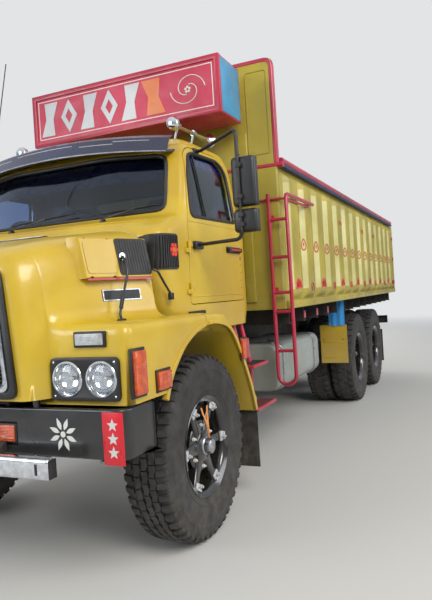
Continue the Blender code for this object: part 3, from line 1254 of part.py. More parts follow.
def grille(hood):
    """Raked frame with flat slats across it."""
    def half_at(z):
        share = (z - GRILLE_LOW_Z) / (GRILLE_TOP_Z - GRILLE_LOW_Z)
        return GRILLE_HALF_WIDTH_LOW + share * (GRILLE_HALF_WIDTH_TOP - GRILLE_HALF_WIDTH_LOW)

    low, top = GRILLE_LOW_Z - GRILLE_FRAME / 2, GRILLE_TOP_Z + GRILLE_FRAME / 2
    grow = GRILLE_FRAME / 2
    outer = [(-half_at(low) - grow, low), (half_at(low) + grow, low),
             (half_at(top) + grow, top), (-half_at(top) - grow, top)]
    front = BONNET_FRONT_Y - SEAT_GAP - GRILLE_DEPTH
    ring = prism(outer, front, BONNET_FRONT_Y - SEAT_GAP, "y")
    ring = cut(ring, [prism(shrunk(outer, GRILLE_FRAME), front - OVERRUN, BONNET_FRONT_Y + OVERRUN, "y")])
    slats = []
    room = GRILLE_TOP_Z - GRILLE_LOW_Z
    for k in range(1, GRILLE_SLATS + 1):
        z = GRILLE_LOW_Z + room * k / (GRILLE_SLATS + 1)
        reach = half_at(z)
        slats.append(box(-reach, reach, front + GRILLE_DEPTH / 3, front + GRILLE_DEPTH * 0.8,
                         z - SLAT_HEIGHT / 2, z + SLAT_HEIGHT / 2))
    at = (0.0, BONNET_PIVOT_Y, BONNET_PIVOT_Z)
    return piece("grille", joined([ring] + slats), TRIM_BLACK, hood, at)


def headlamps(hood):
    """Black panels with two round lamps each, in the front of the wings."""
    width = LAMP_PANEL_HIGH_X - LAMP_PANEL_LOW_X
    height = LAMP_PANEL_HIGH_Z - LAMP_PANEL_LOW_Z
    outline = shifted(rounded(width, height, LAMP_PANEL_ROUND),
                      LAMP_PANEL_LOW_X + width / 2, LAMP_PANEL_LOW_Z + height / 2)
    back = WING_FRONT_Y - SEAT_GAP
    shapes = [prism(outline, back - LAMP_PANEL_DEPTH, back, "y")]
    for x in LAMP_XS:
        bowl = [(0.0, back - LAMP_PANEL_DEPTH * 1.4), (LAMP_RADIUS * 0.85, back - LAMP_PANEL_DEPTH * 1.2),
                (LAMP_RADIUS - PANEL_GAP, back - LAMP_PANEL_DEPTH / 2),
                (LAMP_RADIUS - PANEL_GAP, back + BONNET_WALL),
                (LAMP_RADIUS * 0.5, back + LAMP_BOWL_DEPTH), (0.0, back + LAMP_BOWL_DEPTH)]
        shapes.append(turned(bowl, (x, 0.0, LAMP_Z), "y", 16))
    at = (0.0, BONNET_PIVOT_Y, BONNET_PIVOT_Z)
    return pair("headlamp", joined(shapes), TRIM_BLACK, (hood, hood), at)


LAMP_PANEL_ROUND = 0.03
LAMP_PANEL_DEPTH = 0.03
REAR_WING_INNER_X = 0.72
FLAP_THICKNESS = 0.01
FLAP_INNER_X = 0.90
FLAP_OUTER_X = 1.215
FLAP_BOTTOM_Z = 0.25
FLAP_LAP = 0.10


def rear_wings():
    """Rear halves of the front wings, fixed under the cab, with their rubber flaps."""
    split = WING_SPLIT_Y + PANEL_GAP
    arch = arch_part(split, ARCH_HALF_LENGTH)
    tail_y = arch[-1][0] + WING_THICKNESS
    lap_z = ARCH_TAIL_Z + FLAP_LAP
    skin = [(y + WING_THICKNESS * 0.8, z + WING_THICKNESS * 0.6) for y, z in arch[3:]]
    skin = [(y, z) for y, z in skin if z > lap_z and y < tail_y]
    top = WING_TOP_Z - WING_THICKNESS
    edge = moved_out(arch, -SINK)
    outline = [(split, edge[0][1])] + edge[1:-1] + [(edge[-1][0], ARCH_TAIL_Z)]
    outline += [(tail_y, ARCH_TAIL_Z), (tail_y, lap_z)]
    outline += list(reversed(skin)) + [(arch[2][0], top - WING_THICKNESS / 3), (split, top)]
    wing = prism(outline, REAR_WING_INNER_X, WING_OUTER_X, "x")
    hole = arch_points() + [(ARCH_HALF_LENGTH, ARCH_TAIL_Z - OVERRUN),
                            (-ARCH_HALF_LENGTH, ARCH_TAIL_Z - OVERRUN)]
    wheel_room = prism(hole, REAR_WING_INNER_X - OVERRUN, WING_OUTER_X + OVERRUN, "x")
    under_cab = box(0.0, CAB_HALF_WIDTH + SEAT_GAP, CAB_FRONT_Y - OVERRUN, CAB_REAR_Y,
                    CAB_BOTTOM_Z - SEAT_GAP, WING_TOP_Z + OVERRUN)
    wing = cut(joined([wing, arch_lip(arch_part(split + PANEL_GAP, ARCH_HALF_LENGTH))]), [under_cab, wheel_room])
    pair("rear_wing", joined([wing, marker_lamp(*TAIL_MARKER)]), YELLOW)
    flap_y = tail_y + SEAT_GAP
    flap = box(FLAP_INNER_X, FLAP_OUTER_X, flap_y, flap_y + FLAP_THICKNESS, FLAP_BOTTOM_Z,
               lap_z - FLAP_THICKNESS)
    pair("front_flap", flap, RUBBER)


# Steps, tanks, mud plates

STEP_PIPE = 0.02
STEP_X = 1.10
STEP_WIDTH = 0.15
STEP_BOARD = 0.03
STEP_OUTER_X = 1.21
STEP_BOARDS = (
    # front y, rear y, top z
    (0.78, 1.12, 1.05),
    (0.82, 1.27, 0.70),
)
STEP_LEG_YS = (0.86, 1.02)


def steps():
    """Two red boards hung below each door on a pair of pipes."""
    shapes = []
    for front, rear, top in STEP_BOARDS:
        shapes.append(box(STEP_OUTER_X - STEP_WIDTH, STEP_OUTER_X, front, rear,
                          top - STEP_BOARD, top))
    leg_x = STEP_OUTER_X - STEP_WIDTH + STEP_PIPE * 1.2
    for y in STEP_LEG_YS:
        shapes.append(rod((leg_x, y, STEP_BOARDS[1][2] - STEP_BOARD / 2),
                          (leg_x, y, STEP_BOARDS[0][2] + STEP_PIPE), STEP_PIPE, 8))
    hang_x = CAB_HALF_WIDTH - CAB_WALL - STEP_PIPE
    for y in STEP_LEG_YS:
        shapes.append(rod((leg_x, y, STEP_BOARDS[0][2]), (hang_x, y, CAB_BOTTOM_Z - SEAT_GAP),
                          STEP_PIPE, 8))
    trim = box(0.0, STEP_OUTER_X + OVERRUN, 0.0, CAB_REAR_Y + OVERRUN, CAB_BOTTOM_Z - SEAT_GAP,
               CAB_BOTTOM_Z + OVERRUN)
    pair("step", cut(joined(shapes), [trim]), RED)


TANK_OUTER_X = 1.12
TANK_INNER_X = 0.50
TANK_FRONT_Y = 1.62
TANK_REAR_Y = 3.10
TANK_BOTTOM_Z = 0.69
TANK_TOP_Z = 1.12
TANK_ROUND = 0.11
TANK_STRAP = 0.012
TANK_STRAP_WIDTH = 0.05
TANK_STRAP_SHARES = (0.12, 0.86)
TANK_BRACKET = 0.05


def tanks():
    """Rounded fuel tanks on straps and brackets beside the rails."""
    width, height = TANK_OUTER_X - TANK_INNER_X, TANK_TOP_Z - TANK_BOTTOM_Z
    centre = ((TANK_OUTER_X + TANK_INNER_X) / 2, (TANK_BOTTOM_Z + TANK_TOP_Z) / 2)
    shell = prism(shifted(rounded(width, height, TANK_ROUND, 4), *centre), TANK_FRONT_Y,
                  TANK_REAR_Y, "y")
    shapes = [shell]
    band = shifted(rounded(width + 2 * TANK_STRAP, height + 2 * TANK_STRAP, TANK_ROUND, 4), *centre)
    for share in TANK_STRAP_SHARES:
        y = TANK_FRONT_Y + share * (TANK_REAR_Y - TANK_FRONT_Y)
        shapes.append(prism(band, y - TANK_STRAP_WIDTH / 2, y + TANK_STRAP_WIDTH / 2, "y"))
        shapes.append(box(RAIL_OUTER_X + SEAT_GAP, TANK_INNER_X + TANK_BRACKET,
                          y - TANK_BRACKET / 2, y + TANK_BRACKET / 2,
                          RAIL_BOTTOM_Z + TANK_BRACKET, RAIL_TOP_Z - TANK_BRACKET))
    pair("tank", joined(shapes), TANK_GREY)


FLAP_CLEARANCE = 0.167
MUD_PLATE_Y = 4.05
MUD_PLATE_THICKNESS = 0.015
MUD_PLATE_INNER_X = 0.90
MUD_PLATE_OUTER_X = 1.25
MUD_PLATE_LOW_Z = 0.635
MUD_PLATE_HIGH_Z = 1.13
MUD_ARM_RADIUS = 0.022
CLOTH_INNER_X = 1.03
CLOTH_OUTER_X = 1.235
CLOTH_THICKNESS = 0.012
CLOTH_LOW_Z = 1.12
REAR_FLAP_Y = BOGIE_END_Y + TYRE_RADIUS + FLAP_CLEARANCE
REAR_FLAP_LOW_Z = 0.28
REAR_FLAP_INNER_X = 0.60
REAR_FLAP_OUTER_X = 1.22


def mud_plates():
    """Yellow plates in front of the driven wheels, on arms from the rails."""
    plate = box(MUD_PLATE_INNER_X, MUD_PLATE_OUTER_X, MUD_PLATE_Y,
                MUD_PLATE_Y + MUD_PLATE_THICKNESS, MUD_PLATE_LOW_Z, MUD_PLATE_HIGH_Z)
    arm_y = MUD_PLATE_Y + MUD_PLATE_THICKNESS + MUD_ARM_RADIUS - SINK
    arm_z = (RAIL_TOP_Z + RAIL_BOTTOM_Z) / 2
    arm = rod((RAIL_OUTER_X + SEAT_GAP, arm_y, arm_z), (MUD_PLATE_OUTER_X - OVERRUN, arm_y, arm_z),
              MUD_ARM_RADIUS, 8)
    pair("mud_plate", joined([plate, arm]), YELLOW)


def side_cloth():
    """Cloth hung below the left edge of the bed in front of the wheels."""
    bearer = BED_FLOOR_Z - BED_FLOOR_THICKNESS
    sheet = box(CLOTH_INNER_X, CLOTH_OUTER_X, MUD_PLATE_Y - 2 * CLOTH_THICKNESS,
                MUD_PLATE_Y - CLOTH_THICKNESS, CLOTH_LOW_Z, bearer - SEAT_GAP)
    piece("side_cloth", sheet, BLUE_CLOTH)


def rear_flaps():
    """Rubber flaps behind the wheels on one cross pipe through the rails."""
    z = RAIL_BOTTOM_Z - 2 * MUD_ARM_RADIUS
    pipe_end = REAR_FLAP_OUTER_X - OVERRUN
    pipe = rod((-pipe_end, REAR_FLAP_Y, z), (pipe_end, REAR_FLAP_Y, z), MUD_ARM_RADIUS, 8)
    flap = box(REAR_FLAP_INNER_X, REAR_FLAP_OUTER_X, REAR_FLAP_Y, REAR_FLAP_Y + FLAP_THICKNESS,
               REAR_FLAP_LOW_Z, z + 2 * MUD_ARM_RADIUS)
    lug_half = MUD_ARM_RADIUS * 0.8
    lug = box(RAIL_OUTER_X - RAIL_FLANGE, RAIL_OUTER_X, REAR_FLAP_Y - lug_half,
              REAR_FLAP_Y + lug_half, z, RAIL_BOTTOM_Z - SEAT_GAP)
    piece("rear_flaps", joined([pipe] + both_sides(flap) + both_sides(lug)), RUBBER)


REAR_BAR_Y = RAIL_REAR_Y
REAR_BAR_HALF_WIDTH = 1.15
REAR_BAR_DEPTH = 0.08
REAR_BAR_HEIGHT = 0.14
REAR_LAMP_WIDTH = 0.26
REAR_LAMP_DEPTH = 0.05
REAR_LAMP_HEIGHT = 0.11


def rear_bar():
    """Cross bar behind the rails, with a lamp block near each end."""
    y = REAR_BAR_Y + SEAT_GAP
    z = RAIL_MID_Z
    half = REAR_BAR_HEIGHT / 2
    bar = box(-REAR_BAR_HALF_WIDTH, REAR_BAR_HALF_WIDTH, y, y + REAR_BAR_DEPTH, z - half, z + half)
    outer = REAR_BAR_HALF_WIDTH - REAR_LAMP_DEPTH
    lamp = box(outer - REAR_LAMP_WIDTH, outer, y + REAR_BAR_DEPTH - SINK,
               y + REAR_BAR_DEPTH + REAR_LAMP_DEPTH, z - REAR_LAMP_HEIGHT / 2,
               z + REAR_LAMP_HEIGHT / 2)
    piece("rear_bar", joined([bar] + both_sides(lamp)), CHASSIS_BLACK)


# Load bed

RUNNER_X = 0.385
RUNNER_WIDTH = 0.075
BEARER_HALF_LENGTH = 1.20
SILL_HEIGHT = 0.07
SILL_PROUD = 0.055
RAIL_TUBE_RADIUS = 0.032
RAIL_UNDER = 0.045
RIB_BASE_SHARE = 0.80
RIB_TOP_SHARE = 0.46
BULKHEAD_THICKNESS = 0.05
BULKHEAD_SHOULDER_Z = 2.75
POST_LENGTH = 0.07
CARGO_DOOR_THICKNESS = 0.045
CARGO_PIVOT_OUT = 0.016
CARGO_DOOR_PROUD = 0.01
CARGO_HINGE_SHARES = (0.12, 0.5, 0.86)
SEAM_GAP = 0.004


def bed_floor():
    """Floor plate on cross bearers and two long runners over the rails."""
    low, top = BED_FLOOR_Z - BED_FLOOR_THICKNESS, BED_FLOOR_Z
    front = BED_FRONT_Y + BULKHEAD_THICKNESS + SEAT_GAP
    outline = [(front, top), (front, low)]
    pitch = (BED_REAR_Y - BED_FRONT_Y) / BEARER_COUNT
    for k in range(BEARER_COUNT):
        y = BED_FRONT_Y + pitch * (k + 0.5)
        outline += [(y - BEARER_WIDTH / 2, low), (y - BEARER_WIDTH / 2, low - BEARER_HEIGHT),
                    (y + BEARER_WIDTH / 2, low - BEARER_HEIGHT), (y + BEARER_WIDTH / 2, low)]
    outline += [(BED_REAR_Y, low), (BED_REAR_Y, top)]
    deck_x = BED_HALF_WIDTH - BED_WALL - SEAT_GAP
    deck = prism(outline, -deck_x, deck_x, "x")
    runner = box(RUNNER_X - RUNNER_WIDTH / 2, RUNNER_X + RUNNER_WIDTH / 2, front,
                 BED_REAR_Y - BEARER_WIDTH, RAIL_TOP_Z + SEAT_GAP, low - BEARER_HEIGHT + SINK)
    return piece("bed_floor", joined([deck] + both_sides(runner)), CHASSIS_BLACK)


def side_plan():
    """Plan of a side wall: flat inside, raised ribs outside, a post at each end."""
    inner, outer = BED_HALF_WIDTH - BED_WALL, BED_HALF_WIDTH
    proud = outer + RIB_DEPTH
    front, rear = BED_FRONT_Y, BED_REAR_Y
    plan = [(inner, rear), (inner, front + BULKHEAD_THICKNESS + SEAT_GAP),
            (outer, front + BULKHEAD_THICKNESS + SEAT_GAP)]
    start, end = front + POST_LENGTH, rear - POST_LENGTH
    pitch = (end - start) / RIB_COUNT
    for k in range(RIB_COUNT):
        y = start + pitch * (k + 0.5)
        base, flat = pitch * RIB_BASE_SHARE / 2, pitch * RIB_TOP_SHARE / 2
        plan += [(outer, y - base), (proud, y - flat), (proud, y + flat), (outer, y + base)]
    plan += [(outer, end), (proud, end + RIB_DEPTH / 2), (proud, rear)]
    return plan


def bed_sides():
    """Ribbed side walls with a sill below and a round rail above."""
    low = BED_FLOOR_Z - BED_FLOOR_THICKNESS
    wall = prism(side_plan(), low, BED_TOP_Z, "z")
    front = BED_FRONT_Y + BULKHEAD_THICKNESS + SEAT_GAP
    sill = box(BED_HALF_WIDTH - BED_WALL / 2, BED_HALF_WIDTH + SILL_PROUD, front, BED_REAR_Y,
               low, low + SILL_HEIGHT)
    under = box(BED_HALF_WIDTH - BED_WALL / 2, BED_HALF_WIDTH + SILL_PROUD, front, BED_REAR_Y,
                BED_TOP_Z - RAIL_UNDER, BED_TOP_Z)
    rail_z = BED_TOP_Z + RAIL_TUBE_RADIUS - SINK
    rail_x = BED_HALF_WIDTH + SILL_PROUD - RAIL_TUBE_RADIUS
    top = rod((rail_x, front, rail_z), (rail_x, BED_REAR_Y, rail_z), RAIL_TUBE_RADIUS, 10)
    shapes = [wall, sill, under, top]
    return pair("bed_side", joined(shapes), YELLOW)


def bulkhead():
    """Front wall of the bed, carried on up behind the sign, with a tube round its head."""
    low = BED_FLOOR_Z - BED_FLOOR_THICKNESS
    front, rear = BED_FRONT_Y, BED_FRONT_Y + BULKHEAD_THICKNESS
    half = BED_HALF_WIDTH + SILL_PROUD
    tube_r = RIM_TUBE_RADIUS
    panel = box(-BED_HALF_WIDTH, BED_HALF_WIDTH, front, rear, low, BULKHEAD_TOP_Z - tube_r)
    middle = rear - tube_r - SEAT_GAP
    edge = BED_HALF_WIDTH - tube_r / 3
    top = BULKHEAD_TOP_Z - tube_r
    loop = tube([(edge, middle, BULKHEAD_SHOULDER_Z), (edge, middle, top - 2 * tube_r),
                 (edge - 2 * tube_r, middle, top), (-edge + 2 * tube_r, middle, top),
                 (-edge, middle, top - 2 * tube_r), (-edge, middle, BULKHEAD_SHOULDER_Z)], tube_r, 10)
    shoulder = rod((-half, middle, BULKHEAD_SHOULDER_Z), (half, middle, BULKHEAD_SHOULDER_Z),
                   tube_r, 10)
    ribs = []
    for share in (-0.75, -0.25, 0.25, 0.75):
        x = share * BED_HALF_WIDTH
        ribs.append(box(x - RIB_DEPTH, x + RIB_DEPTH, front - RIB_DEPTH / 2, front + SINK,
                        low + SILL_HEIGHT, SIGN_LOW_Z - 2 * RIM_TUBE_RADIUS))
    return piece("bulkhead", joined([panel, loop, shoulder] + ribs), YELLOW)


SIGN_LOW_Z = 3.13
SIGN_HIGH_Z = 3.62
SIGN_HALF_WIDTH = 0.983
SIGN_FRONT_Y = 0.98
SIGN_DEPTH = 0.46
SIGN_FRAME = 0.045
SIGN_RECESS = 0.015
SIGN_BRACKET_X = 0.70
SIGN_BRACKET = 0.05


def sign_box():
    """Box sign over the cab, its face sunk in a frame, on brackets from the bulkhead."""
    body = box(-SIGN_HALF_WIDTH, SIGN_HALF_WIDTH, SIGN_FRONT_Y, SIGN_FRONT_Y + SIGN_DEPTH,
               SIGN_LOW_Z, SIGN_HIGH_Z)
    face = box(-SIGN_HALF_WIDTH + SIGN_FRAME, SIGN_HALF_WIDTH - SIGN_FRAME,
               SIGN_FRONT_Y - OVERRUN, SIGN_FRONT_Y + SIGN_RECESS, SIGN_LOW_Z + SIGN_FRAME,
               SIGN_HIGH_Z - SIGN_FRAME)
    body = cut(body, [face])
    arms = []
    for z in (SIGN_LOW_Z + SIGN_BRACKET, SIGN_HIGH_Z - 2 * SIGN_BRACKET):
        arms += both_sides(box(SIGN_BRACKET_X, SIGN_BRACKET_X + SIGN_BRACKET,
                               SIGN_FRONT_Y + SIGN_DEPTH - SINK, BED_FRONT_Y - SEAT_GAP,
                               z, z + SIGN_BRACKET))
    return piece("sign_box", joined([body] + arms), RED)


def cargo_doors():
    """Two rear doors hinged on the corner posts."""
    low, high = BED_FLOOR_Z + PANEL_GAP, BED_TOP_Z - PANEL_GAP
    outer_x = BED_HALF_WIDTH - BED_WALL - PANEL_GAP
    rear = BED_REAR_Y + CARGO_DOOR_PROUD
    back = BED_REAR_Y + CARGO_RIB_PROUD
    leaf = box(SEAM_GAP / 2, outer_x, rear - CARGO_DOOR_THICKNESS, rear, low, high)
    ribs = []
    for share in (0.1, 0.35, 0.65, 0.9):
        x = share * outer_x
        ribs.append(box(x - RIB_DEPTH, x + RIB_DEPTH, rear - SINK, back,
                        low + SILL_HEIGHT, high - SILL_HEIGHT))
    at = (BED_HALF_WIDTH + CARGO_PIVOT_OUT, BED_REAR_Y + CARGO_PIVOT_OUT, low)
    straps = []
    for share in CARGO_HINGE_SHARES:
        z = low + share * (high - low)
        straps.append(box(outer_x - 4 * RIB_DEPTH, at[0], rear - SINK, rear + 3 * SINK,
                          z - RIB_DEPTH / 2, z + RIB_DEPTH / 2))
        straps.append(rod((at[0], at[1], z - RIB_DEPTH), (at[0], at[1], z + RIB_DEPTH),
                          CARGO_PIVOT_OUT - SEAT_GAP, 10))
    return pair("cargo_door", joined([leaf] + ribs + straps), YELLOW, at=at)


LADDER_PIPE = 0.018
LADDER_Y = 1.485
LADDER_XS = (1.17, 1.335)
LADDER_LOW_Z = 0.78
LADDER_TOP_Z = 2.47
LADDER_RUNG_ZS = (1.08, 1.43, 1.60, 1.915, 2.25)
LADDER_RAIL_REAR_Y = 2.39


def ladder():
    """Red pipe ladder on the bed's left front corner, its top hooked along the side."""
    inner, outer = LADDER_XS
    half = (outer - inner) / 2
    bend = half * 0.7
    path = [(inner, LADDER_Y, LADDER_TOP_Z + OVERRUN), (inner, LADDER_Y, LADDER_LOW_Z + half),
            (inner + half - bend, LADDER_Y, LADDER_LOW_Z + half - bend),
            (inner + half, LADDER_Y, LADDER_LOW_Z), (outer - half + bend, LADDER_Y, LADDER_LOW_Z + half - bend),
            (outer, LADDER_Y, LADDER_LOW_Z + half), (outer, LADDER_Y, LADDER_TOP_Z - LADDER_PIPE),
            (outer, LADDER_Y + LADDER_PIPE, LADDER_TOP_Z), (outer, LADDER_RAIL_REAR_Y, LADDER_TOP_Z)]
    shapes = [tube(path, LADDER_PIPE)]
    for z in LADDER_RUNG_ZS:
        shapes.append(rod((inner, LADDER_Y, z), (outer, LADDER_Y, z), LADDER_PIPE * 0.8, 6))
    for z in LADDER_RUNG_ZS[-1:] + LADDER_RUNG_ZS[2:3]:
        shapes.append(rod((inner, LADDER_Y, z + LADDER_PIPE), (inner, BED_FRONT_Y - SEAT_GAP,
                                                              z + LADDER_PIPE), LADDER_PIPE * 0.7, 6))
    rib_x = BED_HALF_WIDTH + RIB_DEPTH + SEAT_GAP
    shapes.append(rod((rib_x, LADDER_RAIL_REAR_Y - OVERRUN, LADDER_TOP_Z),
                      (outer, LADDER_RAIL_REAR_Y - OVERRUN, LADDER_TOP_Z), LADDER_PIPE * 0.7, 6))
    return piece("ladder", joined(shapes), RED)


def build():
    chassis_frame()
    front_axle()
    knuckle_pair = knuckles()
    front_wheels(knuckle_pair)
    rear_wheels()
    rear_axles()
    bogie_springs()
    power_unit()
    propshafts()
    bumper()
    front_bar()
    doors_and_cab()
    sun_visor()
    dashboard()
    steering_wheel()
    seats()
    hood = bonnet()
    grille(hood)
    headlamps(hood)
    rear_wings()
    steps()
    tanks()
    mud_plates()
    side_cloth()
    rear_flaps()
    rear_bar()
    bed_floor()
    bed_sides()
    bulkhead()
    sign_box()
    cargo_doors()
    ladder()


build()
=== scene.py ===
"""Looks of the decorated bonneted truck: finishes, panels and fittings round its fixed frame.

Metres.  The front of the truck is -Y and its left side is +X.  Pieces are shaped with y
measured back from the front axle, and piece() moves them to the frame's own place.
"""
import json
import math

import bmesh
import bpy
from mathutils import Matrix, Vector
from mathutils.bvhtree import BVHTree

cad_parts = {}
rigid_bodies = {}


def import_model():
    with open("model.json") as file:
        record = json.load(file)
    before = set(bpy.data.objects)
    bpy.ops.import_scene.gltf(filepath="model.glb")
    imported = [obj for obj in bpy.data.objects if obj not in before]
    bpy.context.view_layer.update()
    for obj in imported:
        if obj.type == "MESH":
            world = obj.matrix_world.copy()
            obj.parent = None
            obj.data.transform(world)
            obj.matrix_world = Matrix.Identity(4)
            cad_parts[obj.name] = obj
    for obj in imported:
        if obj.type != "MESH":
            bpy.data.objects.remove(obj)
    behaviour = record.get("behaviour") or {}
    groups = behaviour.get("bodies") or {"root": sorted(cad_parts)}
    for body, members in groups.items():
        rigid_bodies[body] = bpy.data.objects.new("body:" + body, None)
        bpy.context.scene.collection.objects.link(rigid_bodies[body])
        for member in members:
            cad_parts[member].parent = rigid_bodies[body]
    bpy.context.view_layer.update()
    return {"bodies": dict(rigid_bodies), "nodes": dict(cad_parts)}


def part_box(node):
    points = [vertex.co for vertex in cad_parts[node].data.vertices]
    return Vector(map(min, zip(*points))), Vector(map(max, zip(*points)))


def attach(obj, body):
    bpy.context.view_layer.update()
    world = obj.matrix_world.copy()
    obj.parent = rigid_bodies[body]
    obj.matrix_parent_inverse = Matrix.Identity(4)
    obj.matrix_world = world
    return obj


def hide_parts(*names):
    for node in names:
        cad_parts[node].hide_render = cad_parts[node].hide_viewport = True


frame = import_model()


def middle(node):
    low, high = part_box(node)
    return (low + high) / 2


AXLE = middle("front_tyre_left")
AXLE_Y = AXLE.y
WHEEL_Z = AXLE.z
GAP = 0.001                 # between a fitting and the panel that it sits on
SINK = 0.004                # how far joined shapes run into each other

# Finishes


def srgb(red, green, blue):
    """A colour read on a 0 to 255 scale, as the shader wants it."""
    def linear(value):
        share = value / 255
        return share / 12.92 if share <= 0.04045 else ((share + 0.055) / 1.055) ** 2.4
    return (linear(red), linear(green), linear(blue), 1.0)


DUST = srgb(158, 150, 134)


class Graph:
    """A node tree, with short calls to add to it."""

    def __init__(self, owner):
        owner.use_nodes = True
        self.tree = owner.node_tree

    def feed(self, socket, value):
        """Link an output to an input socket, or set the socket's plain value."""
        if isinstance(value, bpy.types.NodeSocket):
            self.tree.links.new(value, socket)
        else:
            socket.default_value = value

    def add(self, kind, values=None, **settings):
        """A new node, with values or links for its inputs by name or number."""
        node = self.tree.nodes.new(kind)
        for key, value in settings.items():
            setattr(node, key, value)
        for key, value in (values or {}).items():
            self.feed(node.inputs[key], value)
        return node


class Nodes(Graph):
    """A material's node tree round its one shader."""

    def __init__(self, name):
        self.material = bpy.data.materials.new(name)
        super().__init__(self.material)
        self.shader = self.tree.nodes["Principled BSDF"]
        self.place = self.add("ShaderNodeTexCoord").outputs["Object"]

    def surface(self, values):
        for key, value in values.items():
            self.feed(self.shader.inputs[key], value)

    def noise(self, scale, detail=4.0, rough=0.55, stretch=(1, 1, 1)):
        mapping = self.add("ShaderNodeMapping", {"Scale": stretch, "Vector": self.place})
        return self.add("ShaderNodeTexNoise", {"Scale": scale, "Detail": detail, "Roughness": rough,
                "Vector": mapping.outputs["Vector"]}).outputs["Fac"]

    def ramp(self, source, low, high, low_value=0.0, high_value=1.0):
        return self.add("ShaderNodeMapRange", {
            "From Min": low, "From Max": high, "To Min": low_value, "To Max": high_value,
            "Value": source}, interpolation_type="SMOOTHSTEP").outputs["Result"]

    def math(self, operation, first, second):
        return self.add("ShaderNodeMath", {0: first, 1: second}, operation=operation).outputs[0]

    def mix(self, share, first, second):
        node = self.add("ShaderNodeMix", data_type="RGBA")
        for key, value in (("Factor", share), ("A", first), ("B", second)):
            kind = "VALUE" if key == "Factor" else "RGBA"
            self.feed(next(s for s in node.inputs if s.name == key and s.type == kind), value)
        return next(s for s in node.outputs if s.type == "RGBA")

    def height(self):
        return self.add("ShaderNodeSeparateXYZ", {"Vector": self.place}).outputs["Z"]

    def wave(self, values, direction):
        return self.add("ShaderNodeTexWave", {**values, "Vector": self.place},
            bands_direction=direction).outputs["Fac"]

    def bump(self, source, depth, strength):
        node = self.add("ShaderNodeBump",
            {"Distance": depth, "Strength": strength, "Height": source})
        self.surface({"Normal": node.outputs["Normal"]})


def painted(name, colour, shade, rough=0.32, coat=0.35, dust=0.45, dust_top=1.5):
    """Paint on sheet metal: uneven tone, fine orange peel, and road dust that thins upwards."""
    n = Nodes(name)
    base = n.mix(n.ramp(n.noise(1.6, 5.0), 0.35, 0.68), shade, colour)
    base = n.mix(n.ramp(n.noise(60.0, 6.0, 0.7), 0.60, 0.76, 0.0, 0.35), base, shade)
    low = n.ramp(n.height(), 0.2, dust_top, dust, dust * 0.14)
    patches = n.math("MULTIPLY", n.ramp(n.noise(7.0, 6.0, 0.65), 0.30, 0.75, 0.35, 1.0), low)
    base = n.mix(patches, base, DUST)
    wear = n.ramp(n.noise(9.0, 4.0), 0.3, 0.7, rough * 0.85, rough * 1.25)
    n.surface({"Base Color": base,
            "Roughness": n.math("ADD", wear, n.math("MULTIPLY", patches, 0.5)), "Coat Weight": coat,
            "Coat Roughness": 0.12})
    n.bump(n.noise(180.0, 2.0), 0.0004, 0.25)
    return n.material


def metal(name, colour, shade, rough=0.25, stretch=(1, 1, 1), scale=30.0, dust=0.15):
    """Bare or plated metal with brushed or smudged unevenness."""
    n = Nodes(name)
    base = n.mix(n.ramp(n.noise(scale, 5.0, 0.6, stretch), 0.3, 0.72), shade, colour)
    base = n.mix(n.ramp(n.noise(12.0, 5.0, 0.65), 0.45, 0.85, 0.0, dust), base, DUST)
    gloss = n.ramp(n.noise(scale * 0.6, 5.0, 0.6, stretch), 0.25, 0.75, rough * 0.6, rough * 1.6)
    n.surface({"Base Color": base, "Roughness": gloss, "Metallic": 1.0})
    n.bump(n.noise(scale * 3, 3.0, 0.5, stretch), 0.0003, 0.3)
    return n.material


def dull(name, colour, shade, rough=0.75, dust=0.35, grain=90.0, depth=0.0012):
    """Rubber, moulded plastic or dull frame paint with dust in its grain."""
    n = Nodes(name)
    base = n.mix(n.ramp(n.noise(5.0, 5.0), 0.3, 0.7), shade, colour)
    low = n.ramp(n.height(), 0.0, 1.2, dust, dust * 0.3)
    patches = n.math("MULTIPLY", n.ramp(n.noise(11.0, 7.0, 0.7), 0.32, 0.74, 0.2, 1.0), low)
    base = n.mix(patches, base, DUST)
    wear = n.ramp(n.noise(14.0, 4.0), 0.3, 0.7, rough * 0.88, min(rough * 1.15, 1.0))
    n.surface({"Base Color": base, "Roughness": wear})
    n.bump(n.noise(grain, 4.0, 0.6), depth, 0.5)
    return n.material


def woven(name, colour, shade, threads, rough=0.9):
    """Cloth whose warp and weft show as crossed bands, with soft colour changes."""
    n = Nodes(name)
    base = n.mix(n.ramp(n.noise(6.0, 5.0), 0.3, 0.7), shade, colour)
    bands = [n.wave({"Scale": threads / 6, "Distortion": 0.6}, way) for way in ("X", "Z")]
    weave = n.math("MULTIPLY", *bands)
    base = n.mix(n.ramp(weave, 0.0, 1.0, 0.28, 0.0), base, shade)
    n.surface({"Base Color": base, "Roughness": rough, "Sheen Weight": 0.25})
    n.bump(weave, 0.001, 0.5)
    return n.material


def clear(name, tint, rough=0.02, smear=0.06):
    """Clear or tinted glass with a faint smear in its gloss."""
    n = Nodes(name)
    n.surface({"Base Color": tint, "Transmission Weight": 1.0, "IOR": 1.45,
            "Roughness": n.ramp(n.noise(5.0, 6.0, 0.7), 0.4, 0.8, rough, rough + smear)})
    return n.material


def lens(name, colour, shade):
    """Ribbed coloured lamp plastic."""
    n = Nodes(name)
    ribs = n.wave({"Scale": 38.0}, "Z")
    n.surface({"Base Color": n.mix(n.ramp(n.noise(25.0, 3.0), 0.3, 0.7), shade, colour),
            "Roughness": 0.18, "Subsurface Weight": 0.25, "Coat Weight": 0.6})
    n.bump(ribs, 0.002, 0.6)
    return n.material


